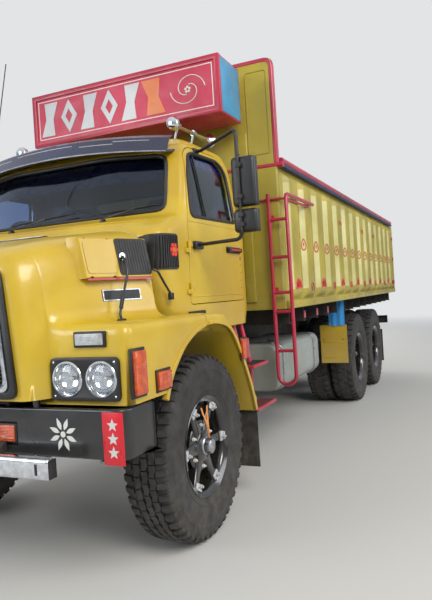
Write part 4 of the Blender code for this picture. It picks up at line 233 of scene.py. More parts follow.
EVEN = (1, 1, 1)
FINISH_ROWS = (
    # name, the record's slot, maker, material, its main colour and shade, further settings
    ("yellow", "yellow_paint", painted, "yellow_paint", ((206, 174, 34), (190, 154, 24))),
    # The bed's olive yellow is darker than the cab's yellow: its own tone with painted shade, for
    # the shadow on the bed's walls
    ("bed_yellow", "yellow_paint", painted, "bed_yellow_paint",
     ((178, 160, 38), (150, 134, 28)), 0.42, 0.15, 0.55, 2.2),
    # pale: painted highlight on the ribs' front slopes, and the pale paint of the bonnet seam strip
    # and the bulkhead's edge line
    ("pale", "yellow_paint", painted, "pale_edge_paint",
     ((210, 204, 146), (182, 174, 98)), 0.5, 0.1, 0.4, 2.4),
    ("red", "red_paint", painted, "red_paint", ((184, 28, 64), (156, 18, 50)), 0.38, 0.3, 0.15),
    ("bright_red", "red_paint", painted, "bright_red_paint",
     ((224, 14, 40), (204, 10, 34)), 0.3, 0.3, 0.04),
    ("orange", "red_paint", painted, "orange_paint",
     ((222, 120, 34), (200, 96, 24)), 0.4, 0.2, 0.2),
    ("dark_orange", "red_paint", painted, "dark_orange_paint",
     ((190, 84, 34), (160, 62, 26)), 0.45, 0.2, 0.3),
    ("white", "red_paint", painted, "white_paint",
     ((226, 226, 222), (206, 206, 200)), 0.4, 0.2, 0.25),
    ("silver", "red_paint", painted, "silver_paint",
     ((196, 198, 200), (170, 172, 176)), 0.34, 0.3, 0.2),
    ("sign_red", "red_paint", painted, "sign_face_paint",
     ((196, 38, 74), (176, 26, 60)), 0.45, 0.1, 0.04),
    ("sign_blue", "blue_paint", painted, "sign_blue_paint",
     ((64, 150, 190), (44, 124, 168)), 0.4, 0.2, 0.2),
    ("visor_blue", "blue_paint", painted, "visor_blue_paint",
     ((48, 50, 84), (34, 35, 58)), 0.25, 0.6, 0.2),
    ("chassis", "chassis_black", dull, "chassis_black", ((34, 32, 31), (20, 19, 18)), 0.6, 0.30),
    ("black", "trim_black", dull, "black_moulding",
     ((26, 26, 29), (16, 16, 18)), 0.42, 0.08, 160.0, 0.0004),
    ("bumper_black", "trim_black", painted, "bumper_black_paint",
     ((24, 25, 30), (15, 15, 19)), 0.30, 0.35, 0.10),
    ("rubber", "tyre_rubber", dull, "tyre_rubber",
     ((40, 39, 40), (28, 27, 28)), 0.76, 0.20, 60.0, 0.0014),
    ("flap", "flap_rubber", dull, "flap_rubber",
     ((34, 33, 33), (22, 21, 21)), 0.7, 0.28, 40.0, 0.001),
    ("rim", "rim_black", painted, "rim_black_paint", ((16, 16, 18), (8, 8, 9)), 0.16, 0.9, 0.06),
    ("chrome", "aluminium", metal, "chrome_plate",
     ((232, 234, 238), (196, 200, 206)), 0.10, EVEN, 30.0, 0.06),
    ("alloy", "aluminium", metal, "brushed_alloy",
     ((206, 208, 212), (160, 163, 168)), 0.30, (0.15, 1, 1), 60.0),
    ("tank", "tank_grey", painted, "tank_grey_paint",
     ((150, 155, 150), (120, 126, 120)), 0.4, 0.2, 0.4),
    ("tank_front", "tank_grey", painted, "tank_end_paint",
     ((118, 120, 120), (98, 100, 100)), 0.45, 0.2, 0.4),
    ("glass", "glass", clear, "window_glass", ((146, 166, 198),)),
    ("lamp_glass", "glass", clear, "lamp_glass", ((244, 246, 248),), 0.01, 0.03),
    ("band", "trim_black", dull, "sun_band_film",
     ((36, 38, 56), (26, 27, 40)), 0.28, 0.05, 20.0, 0.0001),
    ("blue_band", "blue_paint", dull, "blue_band_film",
     ((60, 76, 168), (44, 56, 130)), 0.3, 0.05, 20.0, 0.0001),
    # edge_blue: blue paint with the top rail's cast shadow painted into it
    ("edge_blue", "blue_paint", dull, "edge_blue_paint",
     ((42, 48, 86), (32, 36, 62)), 0.6, 0.12, 60.0, 0.0003),
    ("clear_lens", "aluminium", lens, "clear_lens", ((188, 192, 192), (156, 160, 160))),
    ("amber", "red_paint", lens, "amber_lens", ((214, 88, 16), (180, 62, 10))),
    ("red_lens", "red_paint", lens, "red_lens", ((190, 24, 30), (150, 16, 22))),
    ("cloth", "blue_cloth", woven, "blue_cloth", ((70, 164, 230), (52, 140, 210)), 500.0),
    ("seat", "seat_cloth", woven, "seat_cloth", ((64, 62, 70), (44, 42, 50)), 700.0),
    ("ribbon", "red_paint", woven, "orange_ribbon", ((240, 156, 34), (214, 124, 20)), 900.0, 0.6),
    ("engine", "engine_green", dull, "engine_green", ((62, 78, 64), (44, 54, 46)), 0.55, 0.5),
)
FINISHES = {}
for finish, slot, make, title, colours, *settings in FINISH_ROWS:
    FINISHES[finish] = (make(title, *[srgb(*colour) for colour in colours], *settings), slot)

# Shapes


def outline_solid(outline, axis, low, high):
    """Raise a flat outline into a solid between two places along an axis."""
    place = {"x": lambda a, b, c: (c, a, b), "y": lambda a, b, c: (a, c, b), "z": lambda a, b,
        c: (a, b, c)}[axis]
    bm = bmesh.new()
    face = bm.faces.new([bm.verts.new(place(a, b, low)) for a, b in outline])
    grown = bmesh.ops.extrude_face_region(bm, geom=[face])["geom"]
    bmesh.ops.translate(bm, vec=Vector(place(0.0, 0.0, high - low)),
        verts=[v for v in grown if isinstance(v, bmesh.types.BMVert)])
    bmesh.ops.recalc_face_normals(bm, faces=bm.faces)
    return bm


def softened(bm, width, segments=3, angle=30.0):
    """Round every edge sharper than an angle."""
    sharp = [e for e in bm.edges if e.is_manifold and e.calc_face_angle() > math.radians(angle)]
    bmesh.ops.bevel(bm, geom=sharp, offset=width, offset_type="OFFSET", segments=segments,
        profile=0.5, affect="EDGES", clamp_overlap=True, material=-1)
    return bm


def block(low, high, edge=0.0, segments=2):
    """A box between two corners, its edges rounded."""
    low, high = Vector(low), Vector(high)
    bm = bmesh.new()
    bmesh.ops.create_cube(bm, size=1.0)
    bmesh.ops.scale(bm, vec=high - low, verts=bm.verts)
    bmesh.ops.translate(bm, vec=(low + high) / 2, verts=bm.verts)
    return softened(bm, edge, segments) if edge else bm


def turned(profile, centre, axis="x", steps=48):
    """Turn a profile of (radius, along) points about an axis through centre."""
    across, spin_axis = {"x": ((0, 0, 1), (1, 0, 0)), "y": ((1, 0, 0), (0, 1, 0)),
        "z": ((1, 0, 0), (0, 0, 1))}[axis]
    across, spin_axis = Vector(across), Vector(spin_axis)
    bm = bmesh.new()
    verts = [bm.verts.new(across * radius + spin_axis * along) for radius, along in profile]
    edges = [bm.edges.new(pair) for pair in zip(verts, verts[1:])]
    if profile[0][0] > 0.0 or profile[-1][0] > 0.0:
        edges.append(bm.edges.new((verts[-1], verts[0])))
    bmesh.ops.spin(bm, geom=verts + edges, cent=(0, 0, 0), axis=spin_axis, angle=math.tau,
        steps=steps, use_merge=True)
    bmesh.ops.remove_doubles(bm, verts=bm.verts, dist=1e-5)
    bmesh.ops.recalc_face_normals(bm, faces=bm.faces)
    bmesh.ops.translate(bm, vec=Vector(centre), verts=bm.verts)
    return bm


def rod(start, end, radius, steps=16, tip=None):
    """A straight round bar, or a cone with a tip radius."""
    start, end = Vector(start), Vector(end)
    bm = bmesh.new()
    bmesh.ops.create_cone(bm, cap_ends=True, segments=steps, radius1=radius,
        radius2=radius if tip is None else tip, depth=(end - start).length)
    turn = (end - start).to_track_quat("Z", "Y").to_matrix().to_4x4()
    bmesh.ops.transform(bm, matrix=Matrix.Translation((start + end) / 2) @ turn, verts=bm.verts)
    return bm


def ball(centre, radius, squash=(1, 1, 1)):
    bm = bmesh.new()
    bmesh.ops.create_uvsphere(bm, u_segments=20, v_segments=12, radius=radius)
    bmesh.ops.scale(bm, vec=Vector(squash), verts=bm.verts)
    bmesh.ops.translate(bm, vec=Vector(centre), verts=bm.verts)
    return bm


def bent(points, radius, segments=5):
    """A path whose corners are rounded off."""
    points = [Vector(p) for p in points]
    path = [points[0]]
    for before, here, after in zip(points, points[1:], points[2:]):
        one, two = before - here, after - here
        reach = min(radius, one.length * 0.48, two.length * 0.48)
        start, end = here + one.normalized() * reach, here + two.normalized() * reach
        for k in range(segments + 1):
            t = k / segments
            path.append(start * (1 - t) ** 2 + here * 2 * t * (1 - t) + end * t * t)
    return path + [points[-1]]


def pipe(path, radius, sides=2, closed=False):
    """A round bar that follows a path."""
    curve = bpy.data.curves.new("pipe", "CURVE")
    curve.dimensions = "3D"
    curve.bevel_depth = radius
    curve.bevel_resolution = sides
    curve.use_fill_caps = not closed
    spline = curve.splines.new("POLY")
    spline.points.add(len(path) - 1)
    for point, place in zip(spline.points, path):
        point.co = (*place, 1.0)
    spline.use_cyclic_u = closed
    holder = bpy.data.objects.new("pipe", curve)
    mesh = bpy.data.meshes.new_from_object(holder)
    bm = bmesh.new()
    bm.from_mesh(mesh)
    bpy.data.objects.remove(holder)
    bpy.data.curves.remove(curve)
    bpy.data.meshes.remove(mesh)
    bmesh.ops.remove_doubles(bm, verts=bm.verts, dist=1e-5)
    return bm


def loft(rings, hoop=False):
    """Bridge closed rings of points into a solid with flat ends, or round into a hoop."""
    bm = bmesh.new()
    loops = [[bm.verts.new(point) for point in ring] for ring in rings]
    for near, far in list(zip(loops, loops[1:])) + ([(loops[-1], loops[0])] if hoop else []):
        for i in range(len(near)):
            j = (i + 1) % len(near)
            bm.faces.new((near[i], near[j], far[j], far[i]))
    if not hoop:
        bm.faces.new(loops[0])
        bm.faces.new(loops[-1])
    bmesh.ops.recalc_face_normals(bm, faces=bm.faces)
    return bm


def rounded_loop(points, reach, segments=6):
    """A closed flat outline whose corners are rounded, each over a reach of its sides."""
    points = [Vector(p) for p in points]
    reaches = reach if isinstance(reach, (list, tuple)) else [reach] * len(points)
    loop = []
    for before, here, after, wanted in zip(points[-1:] + points[:-1], points,
            points[1:] + points[:1], reaches):
        one, two = before - here, after - here
        back, ahead = min(wanted, one.length * 0.48), min(wanted, two.length * 0.48)
        start, end = here + one.normalized() * back, here + two.normalized() * ahead
        for k in range(segments + 1):
            t = k / segments
            loop.append(start * (1 - t) ** 2 + here * 2 * t * (1 - t) + end * t * t)
    return loop


def rounded(width, height, radius, segments=5):
    """Outline of a rectangle with round corners, centred on zero."""
    half_w, half_h = width / 2, height / 2
    corners = [(half_w, half_h), (-half_w, half_h), (-half_w, -half_h), (half_w, -half_h)]
    return rounded_loop(corners, radius, segments)


def shifted(outline, da, db):
    return [(a + da, b + db) for a, b in outline]


def gathered(*shapes):
    """Several shapes as one mesh, each still a body of its own."""
    bm = bmesh.new()
    for shape in shapes:
        mesh = bpy.data.meshes.new("part")
        shape.to_mesh(mesh)
        shape.free()
        bm.from_mesh(mesh)
        bpy.data.meshes.remove(mesh)
    return bm


def mirrored(bm):
    """The same shape on the other side of the truck."""
    other = bm.copy()
    bmesh.ops.scale(other, vec=Vector((-1, 1, 1)), verts=other.verts)
    bmesh.ops.reverse_faces(other, faces=other.faces)
    return other


def ring_of(bm, count):
    """Copies of a shape all round the x axis."""
    mesh = bpy.data.meshes.new("one")
    bm.to_mesh(mesh)
    bm.free()
    everything = bmesh.new()
    step = Matrix.Rotation(math.tau / count, 4, "X")
    for _ in range(count):
        everything.from_mesh(mesh)
        mesh.transform(step)
    bpy.data.meshes.remove(mesh)
    return everything


def combined(base, shapes, operation):
    """Join, cut or intersect a shape with others by Booleans."""
    def holder(bm):
        mesh = bpy.data.meshes.new("shape")
        bm.to_mesh(mesh)
        bm.free()
        obj = bpy.data.objects.new("shape", mesh)
        bpy.context.scene.collection.objects.link(obj)
        return obj

    body = holder(base)
    tools = [holder(shape) for shape in shapes]
    for tool in tools:
        change = body.modifiers.new("change", "BOOLEAN")
        change.operation = operation
        change.object = tool
    graph = bpy.context.evaluated_depsgraph_get()
    result = bmesh.new()
    result.from_mesh(body.evaluated_get(graph).to_mesh())
    for used in [body] + tools:
        data = used.data
        bpy.data.objects.remove(used)
        bpy.data.meshes.remove(data)
    return result


def cut(base, *tools):
    return combined(base, tools, "DIFFERENCE")


def united(base, *others):
    return combined(base, others, "UNION")


def common(base, other):
    return combined(base, [other], "INTERSECT")


def piece(name, bm, finish, body="root", stands_for=(), smooth=35.0):
    """Finish a shape, or a list of them, as a named piece that moves with a body."""
    bm = gathered(*bm) if isinstance(bm, list) else bm
    bmesh.ops.translate(bm, vec=(0.0, AXLE_Y, 0.0), verts=bm.verts)
    mesh = bpy.data.meshes.new(name)
    bm.to_mesh(mesh)
    bm.free()
    material, slot = FINISHES[finish]
    mesh.materials.append(material)
    mesh.shade_smooth()
    mesh.set_sharp_from_angle(angle=math.radians(smooth))
    obj = bpy.data.objects.new(name, mesh)
    bpy.context.scene.collection.objects.link(obj)
    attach(obj, body)
    if stands_for:
        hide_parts(*stands_for)
    return obj


def both(name, bm, finish, body="root", stands_for=(), smooth=35.0):
    """A left piece and its mirror image on the right."""
    bm = gathered(*bm) if isinstance(bm, list) else bm
    other = mirrored(bm)
    bodies = (body, body) if body in frame["bodies"] else (body + "_left", body + "_right")
    left_nodes = [node + "_left" for node in stands_for]
    right_nodes = [node + "_right" for node in stands_for]
    piece(name + "_left", bm, finish, bodies[0], left_nodes, smooth)
    piece(name + "_right", other, finish, bodies[1], right_nodes, smooth)


def blocks(rows, body="root"):
    """Left and right pieces that are plain blocks, one from each row."""
    for name, finish, low, high, *edge in rows:
        both(name, block(low, high, *edge), finish, body)


def circle(a, b, reach_a, reach_b, count, phase=0.0):
    """Points round a circle or an oval on a flat outline."""
    turns = [math.tau * k / count + phase for k in range(count)]
    return [(a + reach_a * math.cos(turn), b + reach_b * math.sin(turn)) for turn in turns]


def shrunk(outline, distance):
    """An outline moved inwards by a distance all round."""
    points = [Vector(p) for p in outline]
    area = sum(a.x * b.y - b.x * a.y for a, b in zip(points, points[1:] + points[:1]))
    sign = 1.0 if area > 0 else -1.0
    result = []
    for before, here, after in zip(points[-1:] + points[:-1], points, points[1:] + points[:1]):
        one, two = (here - before).normalized(), (after - here).normalized()
        first, second = Vector((-one.y, one.x)) * sign, Vector((-two.y, two.x)) * sign
        split = (first + second).normalized()
        result.append(tuple(here + split * (distance / max(split.dot(first), 0.3))))
    return result


def eased(rows, pieces):
    """Rows of numbers with smooth in-between rows, which never overshoot the given ones."""
    spots = [0.0]
    for a, b in zip(rows, rows[1:]):
        spots.append(spots[-1] + max(math.dist(a, b), 1e-6))
    columns = []
    for values in zip(*rows):
        slopes = [(values[i + 1] - values[i]) / (spots[i + 1] - spots[i])
            for i in range(len(values) - 1)]
        tangents = [slopes[0]]
        for before, after in zip(slopes, slopes[1:]):
            tangents.append(0.0 if before * after <= 0 else 2 * before * after / (before + after))
        tangents.append(slopes[-1])
        columns.append((values, tangents))
    result = []
    for i in range(len(rows) - 1):
        span = spots[i + 1] - spots[i]
        for k in range(pieces):
            t = k / pieces
            h00, h10 = 2 * t ** 3 - 3 * t ** 2 + 1, t ** 3 - 2 * t ** 2 + t
            h01, h11 = -2 * t ** 3 + 3 * t ** 2, t ** 3 - t ** 2
            result.append([h00 * v[i] + h10 * span * m[i] + h01 * v[i + 1] + h11 * span * m[i + 1]
                    for v, m in columns])
    return result + [list(rows[-1])]


def dense(outline, closed, step=0.03):
    """An outline with points no further apart than a step."""
    points = [Vector(p) for p in outline]
    result = []
    for here, after in zip(points, points[1:] + points[:1] if closed else points[1:]):
        count = max(1, math.ceil((after - here).length / step))
        result += [here.lerp(after, k / count) for k in range(count)]
    return result if closed else result + points[-1:]


SKIN_SIDES = {
    # side: (a point well outside from the two flat numbers, the way in from there)
    "left": (lambda a, b: (2.0, a, b), (-1, 0, 0)),
    "front": (lambda a, b: (a, -2.0, b), (0, 1, 0)),
    "rear": (lambda a, b: (a, 2.0, b), (0, -1, 0)),
}


def on_skin(skin, outline, side, closed=True):
    """Where the points of an outline meet a skin, seen from one side."""
    tree = BVHTree.FromBMesh(skin)
    start, way_in = SKIN_SIDES[side]
    hits = [tree.ray_cast(Vector(start(a, b)), Vector(way_in))[0]
        for a, b in dense(outline, closed)]
    return [hit for hit in hits if hit is not None]


def along_skin(skin, points, side, proud=0.0):
    """An open line laid on a skin, then lifted off it."""
    lift = Vector(SKIN_SIDES[side][1]) * -proud
    return [p + lift for p in on_skin(skin, points, side, False)]


def plate_on(skin, outline, side, low, high):
    """A thin plate that follows a skin under a flat outline."""
    ring, out = on_skin(skin, outline, side), -Vector(SKIN_SIDES[side][1])
    return loft([[p + out * low for p in ring], [p + out * high for p in ring]])


# Stage, light and camera

CAMERA_PLACE = (2.882, -3.559, 1.623)
CAMERA_YAW, CAMERA_PITCH, CAMERA_ROLL = 24.344, -0.575, -3.575
LENS, SENSOR_WIDTH = 35.556, 36
HORIZON = srgb(226, 228, 230)
FLOOR_SIZE, FADE_START, FADE_END = 60.0, 9.0, 24.0

floor_mesh = bpy.data.meshes.new("floor")
floor_bm = bmesh.new()
bmesh.ops.create_grid(floor_bm, x_segments=1, y_segments=1, size=FLOOR_SIZE)
floor_bm.to_mesh(floor_mesh)
floor_bm.free()
floor = bpy.data.objects.new("floor", floor_mesh)
bpy.context.scene.collection.objects.link(floor)
ground = Nodes("pale_floor")
ground.surface({"Base Color": srgb(206, 204, 198), "Roughness": 0.9})
distance = ground.add("ShaderNodeVectorMath", {0: ground.place}, operation="LENGTH")
rays = ground.add("ShaderNodeLightPath").outputs
looked_at = ground.math("MAXIMUM", rays["Is Camera Ray"], rays["Is Transmission Ray"])
looked_at = ground.math("MAXIMUM", looked_at, rays["Is Glossy Ray"])
far_share = ground.math("MULTIPLY", ground.ramp(distance.outputs["Value"], FADE_START, FADE_END),
    looked_at)
backdrop = ground.add("ShaderNodeEmission", {"Color": HORIZON})
fade = ground.add("ShaderNodeMixShader",
    {0: far_share, 1: ground.shader.outputs["BSDF"], 2: backdrop.outputs["Emission"]})
ground.feed(ground.tree.nodes["Material Output"].inputs["Surface"], fade.outputs[0])
floor_mesh.materials.append(ground.material)

world = bpy.data.worlds.new("studio")
bpy.context.scene.world = world
sky = Graph(world)
sky.tree.nodes.clear()
rays = sky.add("ShaderNodeLightPath").outputs
seen = sky.add("ShaderNodeMath", {0: rays["Is Camera Ray"], 1: rays["Is Transmission Ray"]},
    operation="MAXIMUM")
pale = sky.add("ShaderNodeBackground", {"Color": HORIZON})
fill = sky.add("ShaderNodeBackground", {"Color": srgb(214, 224, 240), "Strength": 0.42})
glossy = sky.add("ShaderNodeBackground", {"Strength": 0.9})
lookup = sky.add("ShaderNodeTexCoord").outputs["Generated"]
height = sky.add("ShaderNodeSeparateXYZ", {"Vector": lookup}).outputs["Z"]
band = sky.add("ShaderNodeValToRGB", {"Fac": height})
stops = band.color_ramp.elements
stops.new(0.06)
for stop, position, colour in zip(stops, (0.0, 0.06, 0.55),
        ((120, 118, 114), (150, 156, 160), (236, 242, 250))):
    stop.position, stop.color = position, srgb(*colour)
sky.feed(glossy.inputs["Color"], band.outputs["Color"])
lit = sky.add("ShaderNodeMixShader",
    {0: rays["Is Glossy Ray"], 1: fill.outputs[0], 2: glossy.outputs[0]})
shown = sky.add("ShaderNodeMixShader", {0: seen.outputs[0], 1: lit.outputs[0], 2: pale.outputs[0]})
sky.add("ShaderNodeOutputWorld", {"Surface": shown.outputs[0]})

LAMPS = (
    # name, place and target measured from the front axle, power, size, colour
    ("key_light", (9.0, -7.0, 9.5), (0.0, 2.0, 1.5), 1350, 6.0, (1.0, 0.97, 0.92)),
    ("side_light", (12.0, 4.5, 6.0), (0.0, 3.0, 1.5), 600, 7.0, (0.95, 0.97, 1.0)),
    ("front_light", (-5.0, -8.0, 5.0), (0.0, 0.0, 1.5), 420, 5.0, (0.92, 0.96, 1.0)),
    ("rear_light", (-7.0, 16.0, 8.0), (0.0, 5.0, 1.5), 1100, 7.0, (1.0, 0.98, 0.95)),
)
for name, place, target, power, size, colour in LAMPS:
    light = bpy.data.lights.new(name, "AREA")
    light.energy, light.size, light.color = power, size, colour
    lamp = bpy.data.objects.new(name, light)
    lamp.location = (place[0], AXLE_Y + place[1], place[2])
    lamp.rotation_mode = "QUATERNION"
    lamp.rotation_quaternion = (Vector(target) - Vector(place)).to_track_quat("-Z", "Y")
    bpy.context.scene.collection.objects.link(lamp)

view_data = bpy.data.cameras.new("camera")
view_data.lens, view_data.sensor_width = LENS, SENSOR_WIDTH
camera = bpy.data.objects.new("camera", view_data)
bpy.context.scene.collection.objects.link(camera)
bpy.context.scene.camera = camera
yaw, pitch, roll = (math.radians(a) for a in (CAMERA_YAW, CAMERA_PITCH, CAMERA_ROLL))
right = Vector((math.cos(yaw), math.sin(yaw), 0.0))
ahead = Vector((-math.sin(yaw) * math.cos(pitch), math.cos(yaw) * math.cos(pitch), math.sin(pitch)))
up = right.cross(ahead)
axes = (right * math.cos(roll) + up * math.sin(roll), up * math.cos(roll) - right * math.sin(roll),
    -ahead)
camera.matrix_world = Matrix.Translation(Vector(CAMERA_PLACE) + Vector((0, AXLE_Y, 0))) @ Matrix(
    [(*row, 0.0) for row in zip(*axes)] + [(0, 0, 0, 1)])
bpy.context.scene.view_settings.view_transform = "Standard"

# Finishes of the frame's own pieces

NODE_FINISHES = {"chassis": ("chassis_frame", "bogie_springs", "front_axle", "knuckle_left",
        "knuckle_right", "propshaft", "rear_axle_1", "rear_axle_2", "rear_bar"),
    "engine": ("engine_block",), "yellow": ("cab_shell", "door_left", "door_right", "bonnet",
        "rear_wing_left", "rear_wing_right", "mud_plate_left", "mud_plate_right"), "bed_yellow": (
        "bed_side_left", "bed_side_right", "bulkhead", "bed_floor", "cargo_door_left",
        "cargo_door_right"), "red": ("sign_box", "step_left", "step_right", "ladder"),
    "visor_blue": ("sun_visor",), "cloth": ("side_cloth",), "black": ("grille", "headlamp_left",
        "headlamp_right", "mirror_left", "mirror_right", "dashboard", "steering_wheel"),
    "bumper_black": ("bumper",), "rubber": ("front_tyre_left", "front_tyre_right",
        "rear_wheel_1_left", "rear_wheel_1_right", "rear_wheel_2_left", "rear_wheel_2_right"),
    "flap": ("front_flap_left", "front_flap_right", "rear_flaps"),
    "rim": ("front_rim_left", "front_rim_right"), "alloy": ("front_bar",),
    "tank": ("tank_left", "tank_right"),
    "glass": ("windscreen", "door_glass_left", "door_glass_right", "rear_window"),
    "seat": ("seats",), }
for finish, names in NODE_FINISHES.items():
    for name in names:
        node = frame["nodes"][name]
        node.data.materials.clear()
        node.data.materials.append(FINISHES[finish][0])

# Cab

CAB_BOTTOM_Z, CAB_HEIGHT = 1.37, 1.47
CAB_HALF_WIDTH = 1.085
CAB_FRONT_Y, CAB_REAR_Y = -0.34, 1.14
CAB_LENGTH = CAB_REAR_Y - CAB_FRONT_Y
CAB_TOP_Z = CAB_BOTTOM_Z + CAB_HEIGHT
CAB_WALL = 0.05
CAB_CORNER = 0.076
PANEL_GAP = 0.006
CAB_RINGS = (
    # height, nose, crown, nose width, shoulder, side width, rear
    (0.000, 0.149, 0.000, 0.903, 0.216, 0.986, 0.993),
    (0.122, 0.027, 0.014, 0.940, 0.122, 1.000, 1.000),
    (0.442, 0.000, 0.014, 0.949, 0.115, 1.000, 1.000),
    (0.524, 0.041, 0.080, 0.922, 0.196, 0.990, 0.993),
    (0.558, 0.142, 0.080, 0.894, 0.240, 0.980, 0.986),
    (0.878, 0.290, 0.080, 0.829, 0.390, 0.917, 0.973),
    (0.955, 0.385, 0.068, 0.760, 0.480, 0.850, 0.940),
    (0.988, 0.470, 0.050, 0.660, 0.540, 0.740, 0.900),
    (1.000, 0.570, 0.030, 0.480, 0.610, 0.550, 0.830),
)
DOOR_FRONT_Y, DOOR_LENGTH, DOOR_SILL_Z, DOOR_HEIGHT = 0.0, 0.98, 1.56, 1.16
DOOR_SHARES = ((0.0, 0.0), (0.031, 0.491), (0.082, 0.540), (0.230, 0.940), (0.306, 0.985),
    (0.800, 1.0), (0.890, 0.980), (0.955, 0.914), (0.990, 0.767), (1.0, 0.550), (1.0, 0.0))
DOOR_WINDOW_SHARES = ((0.127, 0.528), (0.201, 0.797), (0.273, 0.925), (0.330, 0.945),
    (0.790, 0.961), (0.878, 0.925), (0.915, 0.866), (0.935, 0.541))
SCREEN_HALF_WIDTH, SCREEN_BASE_Z, SCREEN_HEIGHT = 0.92, 2.20, 0.45
SCREEN_SHARES = ((1.0, 0.040), (0.958, 0.880), (0.905, 0.960), (0.480, 1.0), (-0.480, 1.0),
    (-0.905, 0.960), (-0.958, 0.880), (-1.0, 0.040), (-0.480, 0.0), (0.480, 0.0))
REAR_WINDOW_HALF_WIDTH, REAR_WINDOW_BASE_Z, REAR_WINDOW_HEIGHT = 0.42, 2.20, 0.34
SIDE_LOW, SIDE_HIGH = CAB_HALF_WIDTH * 0.7, CAB_HALF_WIDTH + CAB_WALL


def cab_skin(inset=0.0, low=None, high=None):
    """The cab's outer shape with its corners rounded, or a smaller shape inside it."""
    rings = []
    for height, nose, crown, nose_width, shoulder, width, rear in eased(CAB_RINGS, 5):
        z = CAB_BOTTOM_Z + height * CAB_HEIGHT
        z = min(max(z, low or z), high or z)
        if rings and z <= rings[-1][0].z:
            continue
        nose_y = CAB_FRONT_Y + nose * CAB_LENGTH + inset
        nose_x = nose_width * CAB_HALF_WIDTH - inset
        side_x = width * CAB_HALF_WIDTH - inset
        rear_y = CAB_FRONT_Y + rear * CAB_LENGTH - inset
        half = [(nose_x / 2, nose_y), (nose_x, nose_y + crown * CAB_LENGTH),
            (side_x, CAB_FRONT_Y + shoulder * CAB_LENGTH + inset), (side_x, rear_y - CAB_CORNER),
            (side_x - CAB_CORNER, rear_y)]
        loop = rounded_loop(half + [(-x, y) for x, y in reversed(half)], 0.13)
        rings.append([Vector((x, y, z)) for x, y in loop])
    top = rings[-1]
    centre = sum(top, Vector()) / len(top)
    for share, rise in ((0.7, 0.004), (0.35, 0.007)) if high is None else ():
        rings.append([centre.lerp(p, share) + Vector((0, 0, rise)) for p in top])
    return loft(rings)


def door_outline(shares, reach=0.04):
    points = [(DOOR_FRONT_Y + along * DOOR_LENGTH, DOOR_SILL_Z + rise * DOOR_HEIGHT)
        for along, rise in shares]
    return rounded_loop(points, reach, 3)


def screen_outline():
    points = [(across * SCREEN_HALF_WIDTH, SCREEN_BASE_Z + rise * SCREEN_HEIGHT)
        for across, rise in SCREEN_SHARES]
    return rounded_loop(points, 0.05, 3)


SCREEN_REACH = CAB_FRONT_Y + CAB_LENGTH / 2
SIDE_SPAN = ("x", SIDE_LOW, SIDE_HIGH)
SCREEN_SPAN = ("y", CAB_FRONT_Y - CAB_WALL, SCREEN_REACH)
REAR_SPAN = ("y", CAB_REAR_Y - 3 * CAB_WALL, CAB_REAR_Y + CAB_WALL)
GLASS_DEPTHS, BAND_DEPTHS = (0.022, 0.028), (0.0290, 0.0315)


def layer(depths, outline, span):
    """What lies under an outline between two depths below the cab's skin."""
    outer, inner = depths
    return common(cut(cab_skin(outer), cab_skin(inner)), outline_solid(outline, *span))


skin = cab_skin()
inside = cab_skin(CAB_WALL, CAB_BOTTOM_Z + CAB_WALL, CAB_TOP_Z - CAB_WALL)
wall = cut(skin.copy(), inside)
opening = door_outline(DOOR_SHARES)
window = door_outline(DOOR_WINDOW_SHARES)
screen = screen_outline()
rear_pane = shifted(rounded(2 * REAR_WINDOW_HALF_WIDTH, REAR_WINDOW_HEIGHT, 0.07), 0.0,
    REAR_WINDOW_BASE_Z + REAR_WINDOW_HEIGHT / 2)
door_hole = outline_solid(opening, *SIDE_SPAN)
leaf = common(wall.copy(), outline_solid(shrunk(opening, PANEL_GAP), *SIDE_SPAN))
both("door_skin", cut(leaf, outline_solid(window, *SIDE_SPAN)), "yellow", "door", ["door"])
shell = cut(wall, mirrored(door_hole), door_hole, outline_solid(screen, *SCREEN_SPAN),
    outline_solid(rear_pane, *REAR_SPAN))
piece("cab_body", shell, "yellow", "root", ["cab_shell"])
both("side_window", layer(GLASS_DEPTHS, shrunk(window, GAP), SIDE_SPAN), "glass", "door",
    ["door_glass"])
piece("windscreen_glass", layer(GLASS_DEPTHS, shrunk(screen, GAP), SCREEN_SPAN), "glass", "root",
    ["windscreen"])
piece("rear_glass", layer(GLASS_DEPTHS, shrunk(rear_pane, GAP), REAR_SPAN), "glass", "root",
    ["rear_window"])
both("window_seal", pipe(on_skin(skin, window, "left"), 0.013, 2, True), "black", "door")
piece("windscreen_seal", pipe(on_skin(skin, screen, "front"), 0.015, 2, True), "black")
piece("rear_seal", pipe(on_skin(skin, rear_pane, "rear"), 0.013, 2, True), "black")

# Bonnet and front wings

BONNET_FRONT_Y, BONNET_REAR_Y = -1.13, CAB_FRONT_Y - 0.012
BONNET_BOTTOM_Z, BONNET_TOP_Z = 1.115, 2.07
WING_OUTER_X, WING_FRONT_Y, WING_REAR_Y = 1.22, -1.01, -0.055
WING_TOP_Z, WING_BOTTOM_Z = 1.505, 1.08
SHEET = 0.025
HOOD_ROWS = (
    # length, low width, shoulder width, top width, shoulder height, top height
    (0.000, 0.604, 0.555, 0.450, 0.700, 0.810),
    (0.100, 0.645, 0.605, 0.510, 0.740, 0.860),
    (0.500, 0.800, 0.755, 0.640, 0.830, 0.945),
    (1.000, 0.945, 0.895, 0.770, 0.880, 1.000),
)
ARCH_HALF_LENGTH, ARCH_TOP_Z, ARCH_TAIL_Z = 0.74, 1.427, 0.70
ARCH_SHARES = ((-0.848, 0.460), (-0.760, 0.620), (-0.632, 0.752), (-0.467, 0.872), (-0.191, 0.971),
    (0.042, 1.0), (0.284, 0.971), (0.438, 0.910), (0.590, 0.760), (0.740, 0.540), (0.882, 0.300),
    (0.958, 0.120), (1.0, 0.0))
HOOD = eased(HOOD_ROWS, 8)
FRONT_ROUND = 0.055


